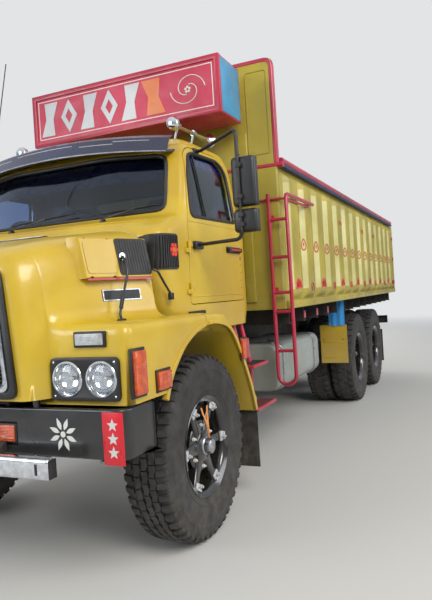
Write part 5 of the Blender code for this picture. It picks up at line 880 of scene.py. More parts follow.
def hood_row(y):
    """The hood's widths and heights at a place along it."""
    share = (y - BONNET_FRONT_Y) / (BONNET_REAR_Y - BONNET_FRONT_Y)
    for before, after in zip(HOOD, HOOD[1:]):
        if share <= after[0]:
            t = (share - before[0]) / (after[0] - before[0])
            return [a + (b - a) * t for a, b in zip(before, after)]
    return HOOD[-1]


def front_section(y, inset, wing_inset, wings=True):
    """Outline across the truck of the hood, with both wings beside it."""
    _, low, shoulder, top, shoulder_up, top_up = hood_row(y)
    height = BONNET_TOP_Z - BONNET_BOTTOM_Z
    low_x, shoulder_x, top_x = (w * CAB_HALF_WIDTH - inset for w in (low, shoulder, top))
    top_z = BONNET_BOTTOM_Z + top_up * height - inset
    hood = [(shoulder_x, BONNET_BOTTOM_Z + shoulder_up * height - inset / 2), (top_x, top_z)]
    if wings:
        wing_x, wing_z = WING_OUTER_X - wing_inset, WING_TOP_Z - wing_inset
        half = [(wing_x, WING_BOTTOM_Z), (wing_x, wing_z), (low_x, wing_z)] + hood
        reach = [0.0, 0.06, 0.09, 0.12, 0.14]
    else:
        middle_z = (BONNET_BOTTOM_Z + WING_TOP_Z) / 2
        half = [(low_x, BONNET_BOTTOM_Z), (low_x, middle_z)] + hood
        reach = [0.0, 0.12, 0.12, 0.14]
    outline = half + [(0.0, top_z + 0.012)] + [(-x, z) for x, z in reversed(half)]
    loop = rounded_loop(outline, reach + [0.3] + reach[::-1], 5)
    return [Vector((x, y, z)) for x, z in loop]


def quarter(distance, radius):
    """How far a rounded edge has still to come out, a distance behind its front."""
    left = max(radius - distance, 0.0)
    return radius - math.sqrt(radius * radius - left * left)


EDGE_STEPS = (0.0, 0.004, 0.012, 0.024, 0.038, FRONT_ROUND)
nose_ys = [BONNET_FRONT_Y + step for step in EDGE_STEPS]
nose = [front_section(y, quarter(y - BONNET_FRONT_Y, FRONT_ROUND) * 0.8, 0.0, False)
    for y in nose_ys + [BONNET_FRONT_Y + 0.09, WING_FRONT_Y]]
nose.append(front_section(-0.94, SINK, 0.0, False))
wing_ys = [WING_FRONT_Y + step for step in EDGE_STEPS] + [WING_FRONT_Y + FRONT_ROUND + 0.05 * k
    for k in range(1, 13)] + [-0.34, -0.2, WING_REAR_Y]
hood = [front_section(y, SINK if y == WING_FRONT_Y else 0.0, quarter(y - WING_FRONT_Y, FRONT_ROUND))
    for y in wing_ys]
arch = [(along * ARCH_HALF_LENGTH, ARCH_TAIL_Z + rise * (ARCH_TOP_Z - ARCH_TAIL_Z))
    for along, rise in eased(ARCH_SHARES, 3)]
front_arch = [p for p in arch if p[0] < 0.42]
arch_hole = outline_solid(
    front_arch + [(0.05, WING_BOTTOM_Z - 0.1), (front_arch[0][0], WING_BOTTOM_Z - 0.1)], "x",
    WING_OUTER_X / 2, WING_OUTER_X + 0.1)
GRILLE_LOW_Z, GRILLE_TOP_Z = 1.165, 1.80
GRILLE_LOW_X, GRILLE_TOP_X = 0.56, 0.50
grille_outline = [(-GRILLE_LOW_X, GRILLE_LOW_Z), (GRILLE_LOW_X, GRILLE_LOW_Z),
    (GRILLE_TOP_X, GRILLE_TOP_Z), (-GRILLE_TOP_X, GRILLE_TOP_Z)]
LAMP_PANEL = (0.735, 1.105, 1.172, 1.335)
lamp_outline = shifted(rounded(LAMP_PANEL[2] - LAMP_PANEL[0], LAMP_PANEL[3] - LAMP_PANEL[1], 0.035),
    (LAMP_PANEL[0] + LAMP_PANEL[2]) / 2, (LAMP_PANEL[1] + LAMP_PANEL[3]) / 2)
lamp_hole = outline_solid(shrunk(lamp_outline, 0.02), "y", WING_FRONT_Y - 0.05, WING_FRONT_Y + 0.1)
inner_hood = loft([front_section(y, SHEET, 0.0, False)
        for y in (BONNET_FRONT_Y + SHEET, -0.95, -0.7, -0.5, BONNET_REAR_Y)] + [
        [p + Vector((0, 0.2, 0)) for p in front_section(BONNET_REAR_Y, SHEET, 0.0, False)]])
under_hood = block((-0.58, BONNET_FRONT_Y + SHEET, 1.0), (0.58, -0.2, 1.3))
under_wings = block((-WING_OUTER_X + SHEET, WING_FRONT_Y + SHEET, 1.0),
    (WING_OUTER_X - SHEET, 0.1, WING_TOP_Z - SHEET))
cab_room = block((-CAB_HALF_WIDTH - 0.012, BONNET_REAR_Y, 1.0), (CAB_HALF_WIDTH + 0.012, 0.0, 2.3))
bonnet = united(loft(hood), loft(nose))
hood_skin = bonnet.copy()
bonnet = cut(bonnet, inner_hood, under_hood, under_wings, cab_room, mirrored(arch_hole), arch_hole,
    mirrored(lamp_hole), lamp_hole,
    outline_solid(grille_outline, "y", BONNET_FRONT_Y - 0.05, BONNET_FRONT_Y + 0.1))
piece("bonnet_panels", bonnet, "yellow", "bonnet", ["bonnet"], 40)


def arch_lip(points):
    """The flange that stands out round a wheel arch, as a strip of even width."""
    outer = []
    for i, here in enumerate(points):
        before, after = Vector(points[max(i - 1, 0)]), Vector(points[min(i + 1, len(points) - 1)])
        along = (after - before).normalized()
        outer.append((here[0] - along.y * 0.03, here[1] + along.x * 0.03))
    strip = outline_solid(list(points) + outer[::-1], "x", WING_OUTER_X - SHEET,
        WING_OUTER_X + 0.008)
    return softened(strip, 0.004, 2, 60)


both("front_arch_lip", arch_lip([p for p in arch if p[0] <= WING_REAR_Y]), "yellow", "bonnet")
rear_arch = [p for p in arch if p[0] >= WING_REAR_Y + PANEL_GAP]
both("rear_arch_lip", arch_lip(rear_arch), "yellow")
tail_y = rear_arch[-1][0] + 0.03
wing_skin = [(y + 0.024, z + 0.018) for y, z in rear_arch if y > 0.30 and z > 0.80]
wing_outline = [(WING_REAR_Y + PANEL_GAP, ARCH_TOP_Z - 0.002)] + rear_arch
wing_outline += [(tail_y, ARCH_TAIL_Z), (tail_y, 0.80)] + wing_skin[::-1]
wing_outline += [(0.24, WING_TOP_Z - 0.03), (WING_REAR_Y + PANEL_GAP, WING_TOP_Z)]
profile = rounded_loop([(0.72, 0.6), (WING_OUTER_X, 0.6), (WING_OUTER_X, WING_TOP_Z + 0.001),
        (0.72, WING_TOP_Z + 0.001)], [0.0, 0.0, 0.06, 0.0], 5)
rear_wing = common(outline_solid(profile, "y", -0.1, 0.9),
    outline_solid(wing_outline, "x", 0.72, WING_OUTER_X + 0.05))
rear_wing = cut(rear_wing,
    block((0.0, -0.4, CAB_BOTTOM_Z - 0.001), (CAB_HALF_WIDTH + 0.004, 1.2, 1.7)))
both("rear_wing_panel", rear_wing, "yellow", "root", ["rear_wing"])
both("wing_gasket", block((CAB_HALF_WIDTH + 0.002, WING_REAR_Y + 0.01, WING_TOP_Z - 0.02),
        (CAB_HALF_WIDTH + 0.016, 0.20, WING_TOP_Z + 0.012), 0.004), "black")

# Grille and lamps

GRILLE_Y = BONNET_FRONT_Y - GAP


def grille_at(grow, low_y, high_y, reach=0.05):
    outline = shrunk(grille_outline, -grow)
    return outline_solid(rounded_loop(outline, reach, 5), "y", low_y, high_y)


surround = softened(cut(grille_at(0.036, GRILLE_Y - 0.026, GRILLE_Y, 0.06),
        grille_at(-0.002, GRILLE_Y - 0.06, GRILLE_Y + 0.02)), 0.004, 2, 50)
piece("grille_surround", surround, "black", "bonnet", ["grille"])
trim = softened(cut(grille_at(-0.002 - GAP, GRILLE_Y - 0.036, GRILLE_Y - 0.002),
        grille_at(-0.030, GRILLE_Y - 0.06, GRILLE_Y + 0.02)), 0.005, 2, 50)
piece("grille_frame", trim, "chrome", "bonnet")
slats, wires = [], []
for k in range(1, 30):
    z = GRILLE_LOW_Z + (GRILLE_TOP_Z - GRILLE_LOW_Z) * k / 30
    reach = GRILLE_LOW_X + (GRILLE_TOP_X - GRILLE_LOW_X) * k / 30 - 0.028
    slats.append(
        block((-reach, GRILLE_Y - 0.018, z - 0.0035), (reach, GRILLE_Y - 0.004, z + 0.0035)))
for k in range(-9, 10):
    x = 0.052 * k
    wires.append(block((x - 0.004, GRILLE_Y - 0.010, GRILLE_LOW_Z + 0.02),
            (x + 0.004, GRILLE_Y + 0.006, GRILLE_TOP_Z - 0.02)))
piece("grille_slats", slats, "chassis", "bonnet")
piece("grille_bars", wires, "black", "bonnet")
piece("grille_backing", grille_at(-0.004, GRILLE_Y + 0.012, GRILLE_Y + 0.016), "chassis", "bonnet")

LAMP_XS, LAMP_Z, LAMP_RADIUS = (0.845, 1.062), 1.22, 0.088
BOWL = ((0.0, 0.050), (0.035, 0.046), (0.065, 0.028), (0.079, 0.004), (0.083, -0.020),
    (0.087, -0.026), (0.094, -0.027), (0.097, -0.023), (0.087, -0.019), (0.082, 0.010),
    (0.066, 0.034), (0.036, 0.054), (0.0, 0.058))
DOME = ((0.0, -0.034), (0.045, -0.031), (0.070, -0.024), (0.0825, -0.014), (0.0825, -0.011),
    (0.070, -0.020), (0.045, -0.027), (0.0, -0.030))
panel_back = WING_FRONT_Y - GAP
panel = outline_solid(lamp_outline, "y", panel_back - 0.022, panel_back)
for x in LAMP_XS:
    panel = cut(panel, rod((x, -1.2, LAMP_Z), (x, -0.9, LAMP_Z), LAMP_RADIUS, 48))
both("headlamp_panel", softened(panel, 0.004, 2, 50), "black", "bonnet", ["headlamp"])
for number, x in enumerate(LAMP_XS, 1):
    centre = (x, panel_back, LAMP_Z)
    both(f"headlamp_bowl_{number}", turned(BOWL, centre, "y"), "chrome", "bonnet")
    bulb = gathered(ball((x, panel_back + 0.022, LAMP_Z), 0.014),
        rod((x, panel_back + 0.03, LAMP_Z), (x, panel_back + 0.056, LAMP_Z), 0.010))
    both(f"headlamp_bulb_{number}", bulb, "white", "bonnet")
    both(f"headlamp_glass_{number}", turned(DOME, centre, "y"), "lamp_glass", "bonnet")
screws = [ball((x, panel_back - 0.022, z), 0.007, (1, 0.5, 1))
    for x in (LAMP_PANEL[0] + 0.025, LAMP_PANEL[2] - 0.025)
    for z in (LAMP_PANEL[1] + 0.025, LAMP_PANEL[3] - 0.025)]
both("lamp_screws", screws, "chrome", "bonnet")
blocks((
    ("pale_lamp_frame", "black", (0.895, -1.026, 1.385), (1.095, -1.006, 1.47), 0.006),
    ("pale_lamp_lens", "clear_lens", (0.908, -1.034, 1.397), (1.082, -1.020, 1.458), 0.006),
    ("tall_marker_lens", "amber", (1.217, -0.985, 1.125), (1.250, -0.875, 1.356), 0.008),
    ("tall_marker_base", "black", (1.215, -1.0, 1.11), (1.230, -0.86, 1.37), 0.004),
    ("small_marker_lens", "amber", (1.217, -0.745, 1.112), (1.244, -0.60, 1.214), 0.008),
    ("small_marker_base", "black", (1.215, -0.755, 1.10), (1.228, -0.59, 1.226), 0.004),
), "bonnet")

# Wheels

TYRE_SIDE = ((0.303, 0.112), (0.322, 0.128), (0.345, 0.139), (0.375, 0.147), (0.381, 0.151),
    (0.387, 0.148), (0.425, 0.1550), (0.460, 0.1573), (0.505, 0.1560), (0.512, 0.1585),
    (0.519, 0.1555), (0.552, 0.1500), (0.578, 0.1420), (0.588, 0.1300), (0.592, 0.1050),
    (0.594, 0.0500))
TREAD_TOP, TREAD_LOW = 0.6125, 0.586


def tyre(steps=96):
    """A tyre's body without its tread, centred on zero."""
    inside = [(0.303, 0.095), (0.36, 0.125), (0.46, 0.137), (0.55, 0.128), (0.574, 0.09)]
    half = [*inside[::-1], *TYRE_SIDE]
    profile = half + [(radius, -along) for radius, along in reversed(half)]
    return turned(profile, (0, 0, 0), "x", steps)


def tread_block(points, count, edge=0.003):
    """A ring of tread blocks from one outline of (across, share of the pitch, top radius)."""
    pitch = math.tau / count
    bm = bmesh.new()
    low, high = [], []
    for x, share, top in points:
        turn = share * pitch
        for radius, verts in ((TREAD_LOW if abs(x) < 0.13 else top - 0.03, low), (top, high)):
            verts.append(bm.verts.new((x, math.sin(turn) * radius, math.cos(turn) * radius)))
    bm.faces.new(low)
    bm.faces.new(high)
    for i in range(len(points)):
        j = (i + 1) % len(points)
        bm.faces.new((low[i], low[j], high[j], high[i]))
    bmesh.ops.recalc_face_normals(bm, faces=bm.faces)
    return ring_of(softened(bm, edge, 1, 50), count)


def zigzag(centre, half, swing, shift, count):
    points = []
    for side, order in ((-1, (0.04, 0.5, 0.96)), (1, (0.96, 0.5, 0.04))):
        for share in order:
            bend = swing if share == 0.5 else 0.0
            points.append((centre + side * half + bend, share + shift, TREAD_TOP))
    return tread_block(points, count)


def lugs(side, count, shift=0.0):
    """Shoulder lugs that turn down onto the sidewall."""
    points = [(0.083, 0.10), (0.083, 0.58), (0.128, 0.66), (0.1475, 0.70), (0.1475, 0.18),
        (0.128, 0.14)]
    tops = {0.083: TREAD_TOP, 0.128: TREAD_TOP - 0.002, 0.1475: 0.592}
    return tread_block([(side * x, share + shift, tops[x]) for x, share in points], count)


def road_tyre(count=50):
    return gathered(tyre(), zigzag(-0.050, 0.019, 0.010, 0.0, count),
        zigzag(0.0, 0.019, 0.010, 0.5, count), zigzag(0.050, 0.019, 0.010, 0.0, count),
        lugs(1, count), lugs(-1, count, 0.4))


def drive_tyre(count=38):
    return gathered(tyre(72), zigzag(-0.035, 0.029, 0.016, 0.0, count),
        zigzag(0.035, 0.029, -0.016, 0.5, count), lugs(1, count), lugs(-1, count, 0.4))


RIM_SIDE = ((0.303, 0.100), (0.303, 0.112), (0.318, 0.120), (0.332, 0.131), (0.336, 0.138),
    (0.330, 0.142), (0.318, 0.134), (0.300, 0.124), (0.291, 0.112), (0.287, 0.080))


def rim_barrel():
    """A rim's round band with a flange at each edge."""
    other = [(radius, -along) for radius, along in reversed(RIM_SIDE)]
    return turned([*RIM_SIDE, *other, (0.297, -0.06), (0.297, 0.06)], (0, 0, 0), "x", 72)


def around(shape, count, phase=0.0):
    bmesh.ops.rotate(shape, cent=(0, 0, 0), matrix=Matrix.Rotation(phase, 3, "X"),
        verts=shape.verts)
    return ring_of(shape, count)


def spokes(stations, count, phase):
    """Tapered spokes from stations of (radius, half width, inner face, outer face)."""
    rings = []
    for radius, half, back, front in stations:
        outline = rounded_loop([(back, -half), (front, -half), (front, half), (back, half)],
            [0.004, half * 0.6, half * 0.6, 0.004], 4)
        rings.append([(x, y, radius) for x, y in outline])
    return around(loft(rings), count, phase)


def at_wheel(bm, x, y):
    bmesh.ops.translate(bm, vec=(x, y, WHEEL_Z), verts=bm.verts)
    return bm


FRONT_WHEEL_X, TWIN_X, TWIN_HALF = 1.01, 0.91, 0.1725
BOGIE_YS = (4.95, 6.32)
SPOKE_PHASE, SPOKE_COUNT = math.pi / 6, 6
HUB_PLACE = (0, 0, 0)
FRONT_HUB = ((0.0, 0.112), (0.092, 0.112), (0.104, 0.104), (0.108, 0.090), (0.162, 0.086),
    (0.170, 0.080), (0.168, 0.066), (0.108, 0.060), (0.100, -0.06), (0.0, -0.06))
FRONT_SPOKES = ((0.090, 0.052, 0.020, 0.106), (0.150, 0.038, 0.030, 0.104),
    (0.215, 0.031, 0.048, 0.104), (0.262, 0.034, 0.064, 0.110), (0.289, 0.042, 0.070, 0.110))
HUB_CAP = ((0.0, 0.176), (0.036, 0.175), (0.046, 0.170), (0.050, 0.160), (0.051, 0.130),
    (0.060, 0.124), (0.062, 0.112), (0.0, 0.112))
REAR_HUB = ((0.0, 0.055), (0.060, 0.053), (0.078, 0.044), (0.085, 0.030), (0.088, -0.020),
    (0.112, -0.030), (0.150, -0.036), (0.155, -0.048), (0.112, -0.060), (0.0, -0.060))
REAR_DRUM = ((0.100, -0.05), (0.100, -0.36), (0.075, -0.36), (0.075, -0.05))
REAR_SPOKES = ((0.090, 0.050, -0.09, -0.020), (0.150, 0.038, -0.08, -0.010),
    (0.215, 0.031, -0.06, 0.010), (0.289, 0.042, -0.03, 0.030))
SPACER = ((0.300, 0.075), (0.300, -0.075), (0.284, -0.075), (0.284, 0.075))
nut = gathered(rod((0.084, 0, 0.138), (0.102, 0, 0.138), 0.0125, 6),
    rod((0.100, 0, 0.138), (0.112, 0, 0.138), 0.007, 10))
clamp = gathered(block((0.108, -0.034, 0.250), (0.122, 0.034, 0.292), 0.006),
    block((0.100, -0.028, 0.284), (0.134, 0.028, 0.300), 0.005),
    rod((0.120, 0, 0.268), (0.140, 0, 0.268), 0.014, 6),
    rod((0.138, 0, 0.268), (0.152, 0, 0.268), 0.008, 10))
ribbon = []
for x_top, lean in ((-0.045, -1), (0.045, 1)):
    path = [(0.150, 0.0, 0.052), (0.146, 0.004 * lean, 0.12), (0.140, 0.012 * lean, 0.17),
        (0.128, x_top * 0.7, 0.22), (0.124, x_top, 0.262)]
    ribbon.append(loft([[(x, y - 0.010, z), (x, y + 0.010, z), (x + 0.0015, y + 0.010, z),
            (x + 0.0015, y - 0.010, z)] for x, y, z in path]))
for name, shape, finish, nodes in (("front_tyre", road_tyre(), "rubber", ["front_tyre"]),
        ("front_wheel_rim", rim_barrel(), "rim", ["front_rim"]), ("front_spoke_hub",
            gathered(turned(FRONT_HUB, HUB_PLACE), spokes(FRONT_SPOKES, SPOKE_COUNT, SPOKE_PHASE)),
            "rim", ()), ("front_hub_cap", turned(HUB_CAP, HUB_PLACE), "alloy", ()),
        # The hub nuts are painted white: a painted highlight that stands in for the glint on chrome
        # nuts.
        ("front_hub_nuts", around(nut, SPOKE_COUNT), "white", ()),
        ("front_rim_clamps", around(clamp, SPOKE_COUNT, SPOKE_PHASE), "silver", ()),
        ("wheel_ribbon", gathered(*ribbon), "ribbon", ())):
    both(name, at_wheel(shape, FRONT_WHEEL_X, 0.0), finish, "front_wheel", nodes)
outer_x, inner_x = TWIN_X + TWIN_HALF, TWIN_X - TWIN_HALF
for number, y in enumerate(BOGIE_YS, 1):
    body = f"rear_wheel_{number}"
    hub = gathered(turned(REAR_HUB, HUB_PLACE), spokes(REAR_SPOKES, SPOKE_COUNT, SPOKE_PHASE),
        turned(REAR_DRUM, HUB_PLACE))
    clamp = gathered(block((0.026, -0.034, 0.250), (0.044, 0.034, 0.292), 0.005),
        rod((0.042, 0, 0.268), (0.060, 0, 0.268), 0.014, 6))
    for name, shape, x, finish, nodes in (("outer_tyre", drive_tyre(), outer_x, "rubber", [body]),
            ("inner_tyre", drive_tyre(), inner_x, "rubber", ()),
            ("outer_rim", rim_barrel(), outer_x, "rim", ()),
            ("inner_rim", rim_barrel(), inner_x, "rim", ()),
            ("rim_spacer", turned(SPACER, HUB_PLACE), TWIN_X, "rim", ()),
            ("rear_spoke_hub", hub, outer_x, "chassis", ()),
            ("rear_rim_clamps", around(clamp, SPOKE_COUNT, SPOKE_PHASE), outer_x, "alloy", ())):
        both(f"{name}_{number}", at_wheel(shape, x, y), finish, body, nodes)

# Fittings of the cab and the bonnet

VISOR_HALF_WIDTH, VISOR_SWEEP, VISOR_DROOP = 0.915, 0.16, 0.04


def visor_ring(share, half_width, section, reach=None):
    """A section of (y, z) points, set back and lowered towards the ends of the swept visor."""
    back, down = VISOR_SWEEP * share * share, VISOR_DROOP * share * share
    section = [(y + back, z - down) for y, z in section]
    if reach:
        section = rounded_loop(section, reach, 3)
    return [Vector((share * half_width, y, z)) for y, z in section]


BLADE = ((0.40, 2.77), (0.16, 2.742), (-0.06, 2.69), (-0.058, 2.675), (0.16, 2.727), (0.40, 2.755))
blade_rings = [visor_ring(k / 12, 0.92, BLADE, [0, 0.1, 0.008, 0.008, 0.1, 0])
    for k in range(-12, 13)]
piece("visor_blade", cut(loft(blade_rings), cab_skin(-0.0006)), "visor_blue", "root", ["sun_visor"])
front_edge = [visor_ring(k / 12, VISOR_HALF_WIDTH, [(-0.055, 2.683)])[0] for k in range(-12, 13)]
piece("visor_edge_strip", pipe(front_edge, 0.006, 2), "alloy")
FASCIA = ((-0.058, 2.678), (-0.050, 2.678), (0.004, 2.783), (0.052, 2.808), (0.050, 2.816),
    (-0.004, 2.790))
fascia = [visor_ring(k / 14, VISOR_HALF_WIDTH, FASCIA) for k in range(-14, 15)]
piece("visor_fascia", loft(fascia), "visor_blue")
streaks = []
for first, last, rise in ((-13, -6, 0.075), (-5, 3, 0.088), (4, 8, 0.072), (8, 12, 0.09)):
    spot = [(-0.0595 + rise * 0.52, 2.678 + rise)]
    streaks.append(pipe(
            [visor_ring(k / 28, VISOR_HALF_WIDTH, spot)[0] for k in range(first * 2, last * 2 + 1)],
            0.0035, 1))
piece("visor_streaks", streaks, "silver")
for make, name, radius, side, line in (
        (both, "roof_gutter", 0.008, "left",
         [(0.14, 2.66), (0.26, 2.725), (0.50, 2.752), (0.90, 2.752), (1.04, 2.72)]),
        (piece, "screen_brow", 0.008, "front",
         [(-0.84, 2.658), (-0.45, 2.674), (0.45, 2.674), (0.84, 2.658)]),
        (piece, "cowl_bead", 0.007, "front", [(-0.88, 2.135), (0.88, 2.135)])):
    make(name, pipe(along_skin(skin, line, side), radius, 2), "yellow")

HORN_X, HORN_Z = 0.755, 2.965
trumpet = [(0.0, 0.502), (0.026, 0.504), (0.045, 0.515), (0.0535, 0.54), (0.050, 0.566),
    (0.032, 0.592), (0.018, 0.615), (0.0165, 0.75), (0.0175, 0.95), (0.021, 1.03), (0.029, 1.10),
    (0.044, 1.165), (0.0645, 1.1985), (0.0615, 1.1995), (0.041, 1.168), (0.024, 1.10), (0.0, 1.06)]
posts = []
for y in (0.62, 0.90):
    posts += [rod((HORN_X, y, HORN_Z), (HORN_X - 0.055, y, 2.80), 0.0095, 12),
        block((HORN_X - 0.083, y - 0.028, 2.787), (HORN_X - 0.027, y + 0.028, 2.812), 0.005),
        rod((HORN_X, y - 0.018, HORN_Z), (HORN_X, y + 0.018, HORN_Z), 0.025, 16)]
both("roof_horn", turned(trumpet, (HORN_X, 0, HORN_Z), "y", 40), "chrome")
both("roof_horn_posts", posts, "alloy")
whip = [(-0.39, -0.30, 2.10), (-0.29, -0.302, 2.54), (-0.188, -0.30, 2.992), (-0.112, -0.29, 3.34)]
piece("whip_aerial", [pipe(whip, 0.0035, 2),
        rod((-0.393, -0.30, 2.085), (-0.377, -0.30, 2.16), 0.011, 14),
        ball((-0.396, -0.30, 2.085), 0.024, (1, 1, 0.6))], "black")

# Windscreen fittings
BAND_GAP = 0.004
shade_band = common(layer(BAND_DEPTHS, shrunk(screen, BAND_GAP), SCREEN_SPAN),
    block((-1.0, -0.6, 2.455), (1.0, 1.0, 2.8)))
piece("screen_sun_band", shade_band, "band")
side_band = common(layer(BAND_DEPTHS, shrunk(window, BAND_GAP), SIDE_SPAN),
    block((0.6, 0.0, 2.575), (1.2, 1.0, 2.8)))
both("window_blue_band", side_band, "blue_band", "door")
divider = along_skin(skin, [(0.405, 2.18), (0.352, 2.655)], "left", -0.012)
both("window_divider", pipe(divider, 0.008, 2), "black", "door")
for number, (start_x, start_z, end_x, end_z, pivot_x) in enumerate(
        ((0.50, 2.226, 0.925, 2.262, 0.58), (-0.30, 2.222, 0.25, 2.262, -0.20)), 1):
    blade = along_skin(skin, [(start_x, start_z), (end_x, end_z)], "front", 0.012)
    spine = along_skin(skin, [(start_x + 0.06, start_z + 0.006), (end_x - 0.06, end_z - 0.004)],
        "front", 0.022)
    foot = along_skin(skin, [(pivot_x, 2.155), (pivot_x + 0.01, 2.156)], "front")[0]
    arm = bent([foot + Vector((0, -0.004, 0)), foot + Vector((0.02, -0.034, 0.012)),
            spine[len(spine) // 2]], 0.03, 3)
    pivot = rod(foot + Vector((0, 0.012, 0)), foot + Vector((0, -0.020, 0)), 0.016, 16)
    piece(f"wiper_{number}",
        [pipe(blade, 0.006, 1), pipe(spine, 0.0045, 1), pipe(arm, 0.0055, 1), pivot], "black")
seam = loft([front_section(y, inset, 0.0, False)
        for y, inset in ((-0.3505, -0.002), (-0.3415, -0.002), (-0.3415, 0.014), (-0.3505, 0.014))],
    hoop=True)
piece("bonnet_seam_strip", cut(seam, block((-1.3, -0.6, 0.9), (1.3, 0.0, 1.515))), "pale")
piece("cowl_plate", block((-0.225, -0.415, 2.079), (0.225, -0.365, 2.0855), 0.003), "alloy",
    "bonnet")


def vent_at(share, rise, out=0.0):
    """A point on the slanting face of the vent box, lifted outwards."""
    x = 0.85 + 0.178 * share - 0.045 * rise
    return Vector((x + 0.930 * out, -0.82 + 0.45 * share - 0.368 * out, 1.755 + 0.24 * rise))


def vent_plate(low_share, high_share, low_rise, high_rise, low, high, reach=0.02):
    corners = [(low_share, low_rise), (high_share, low_rise), (high_share, high_rise),
        (low_share, high_rise)]
    loop = rounded_loop([(s * 0.484, t * 0.24) for s, t in corners], reach, 3)
    return loft([[vent_at(s / 0.484, t / 0.24, out) for s, t in loop] for out in (low, high)])


vent_rings = []
for share in (0.0, 0.02, 0.98, 1.0):
    inward = 0.010 if share in (0.0, 1.0) else 0.0
    face = [vent_at(share, 0.0, -inward), vent_at(share, 1.0, -inward)]
    back = [Vector((face[1].x - 0.07, face[1].y, face[1].z)),
        Vector((face[0].x - 0.12, face[0].y, face[0].z))]
    loop = rounded_loop([(p.x, p.z) for p in face + back], [0.012, 0.012, 0.0, 0.0], 3)
    vent_rings.append([Vector((x, face[0].y, z)) for x, z in loop])
vent_box = loft(vent_rings)
notches = [rod(vent_at(s, t, -0.03), vent_at(s, t, 0.05), 0.013, 12) for s in (0.09, 0.41)
    for t in (0.0, 1.0)]
vent_box = cut(vent_box, *notches)
both("vent_box", [vent_box, vent_plate(0.05, 0.46, 0.12, 0.88, -0.002, 0.004)], "yellow", "bonnet")
both("vent_under_trim", vent_plate(0.02, 0.98, -0.045, 0.0, -0.02, 0.003, 0.002), "red", "bonnet")
bars = []
for k in range(1, 12):
    s = 0.50 + 0.478 * k / 12
    bars.append((s - 0.006, s + 0.006, 0.10, 0.94, 0.0085))
for k in range(1, 13):
    t = 0.06 + 0.92 * k / 13
    bars.append((0.515, 0.963, t - 0.010, t + 0.010, 0.0072))
bars = [loft([[vent_at(s_low, t_low, out), vent_at(s_high, t_low, out),
        vent_at(s_high, t_high, out), vent_at(s_low, t_high, out)] for out in (0.004, top)])
    for s_low, s_high, t_low, t_high, top in bars]
both("vent_mesh_panel", vent_plate(0.50, 0.978, 0.06, 0.98, -0.002, 0.005), "chassis", "bonnet")
both("vent_mesh_bars", bars, "black", "bonnet")
STRAP_SPOT = (0.564, 0.533)
washer = gathered(rod(vent_at(*STRAP_SPOT, 0.006), vent_at(*STRAP_SPOT, 0.012), 0.021, 24),
    rod(vent_at(*STRAP_SPOT, 0.010), vent_at(*STRAP_SPOT, 0.019), 0.010, 6))
both("vent_washer", washer, "chrome", "bonnet")
strap = bent([vent_at(*STRAP_SPOT, 0.014), (0.995, -0.60, 1.80), (0.975, -0.64, 1.66),
        (0.965, -0.675, 1.54), (0.985, -0.69, 1.510)], 0.05, 4)
strap = gathered(pipe(strap, 0.0075, 2), block((0.965, -0.71, 1.503), (1.005, -0.67, 1.516), 0.004),
    rod((0.972, -0.645, 1.645), (0.968, -0.665, 1.575), 0.012, 12))
both("bonnet_strap", strap, "black", "bonnet")
catch = bent(
    [(1.035, -0.385, 1.80), (1.062, -0.375, 1.785), (1.072, -0.31, 1.70), (1.088, -0.264, 1.63)],
    0.03, 4)
both("bonnet_catch",
    [pipe(catch, 0.0075, 2), block((1.070, -0.285, 1.605), (1.096, -0.245, 1.65), 0.005)], "black",
    "bonnet")
SHOULDER_SPAN = ("x", 0.9, 1.3)
panel_outline = rounded_loop([(-0.325, 1.80), (-0.135, 1.80), (-0.135, 2.03), (-0.325, 2.03)],
    0.025, 4)
both("shoulder_vent_panel", layer((-0.005, 0.002), panel_outline, SHOULDER_SPAN), "chassis")
stripes = []
for k in range(12):
    low_y, high_y = -0.320 + 0.0155 * k, -0.312 + 0.0155 * k
    stripes.append(outline_solid([(low_y, 1.812), (high_y, 1.812), (high_y, 2.018), (low_y, 2.018)],
            *SHOULDER_SPAN))
both("shoulder_vent_ribs", common(cut(cab_skin(-0.0095), cab_skin(-0.003)), gathered(*stripes)),
    "black")

STICKER_Y, STICKER_Z = -0.185, 1.925
near, far = on_skin(skin, [(STICKER_Y - 0.01, STICKER_Z), (STICKER_Y + 0.01, STICKER_Z)], "left",
    False)
slope = (far - near).normalized()
centre, out_way = (near + far) / 2, Vector((slope.y, -slope.x, 0.0)).normalized()
across_way = Vector((-out_way.y, out_way.x, 0.0))


def sticker_dots(reach_across, reach_up, low, high, radius, steps):
    """Six round dots in a ring on the flower sticker."""
    spots = [centre + across_way * a + Vector((0, 0, b))
        for a, b in circle(0.0, 0.0, reach_across, reach_up, 6)]
    return [rod(spot + out_way * low, spot + out_way * high, radius, steps) for spot in spots]


both("flower_sticker", sticker_dots(0.024, 0.030, 0.009, 0.0125, 0.0165, 16), "bright_red")
heart = rod(centre + out_way * 0.010, centre + out_way * 0.0138, 0.016, 20)
both("flower_sticker_heart", [heart, *sticker_dots(0.026, 0.032, 0.011, 0.0134, 0.007, 12)],
    "orange")
badge = [(-0.70, 1.622), (-0.45, 1.622), (-0.45, 1.688), (-0.70, 1.688)]
both("bare_badge_plate", plate_on(hood_skin, badge, "left", -0.002, 0.004), "black", "bonnet")
both("badge_plate_rim", cut(plate_on(hood_skin, badge, "left", -0.002, 0.006),
        outline_solid(shrunk(badge, 0.006), "x", 0.5, 1.5)), "alloy", "bonnet")

# Doors and mirrors

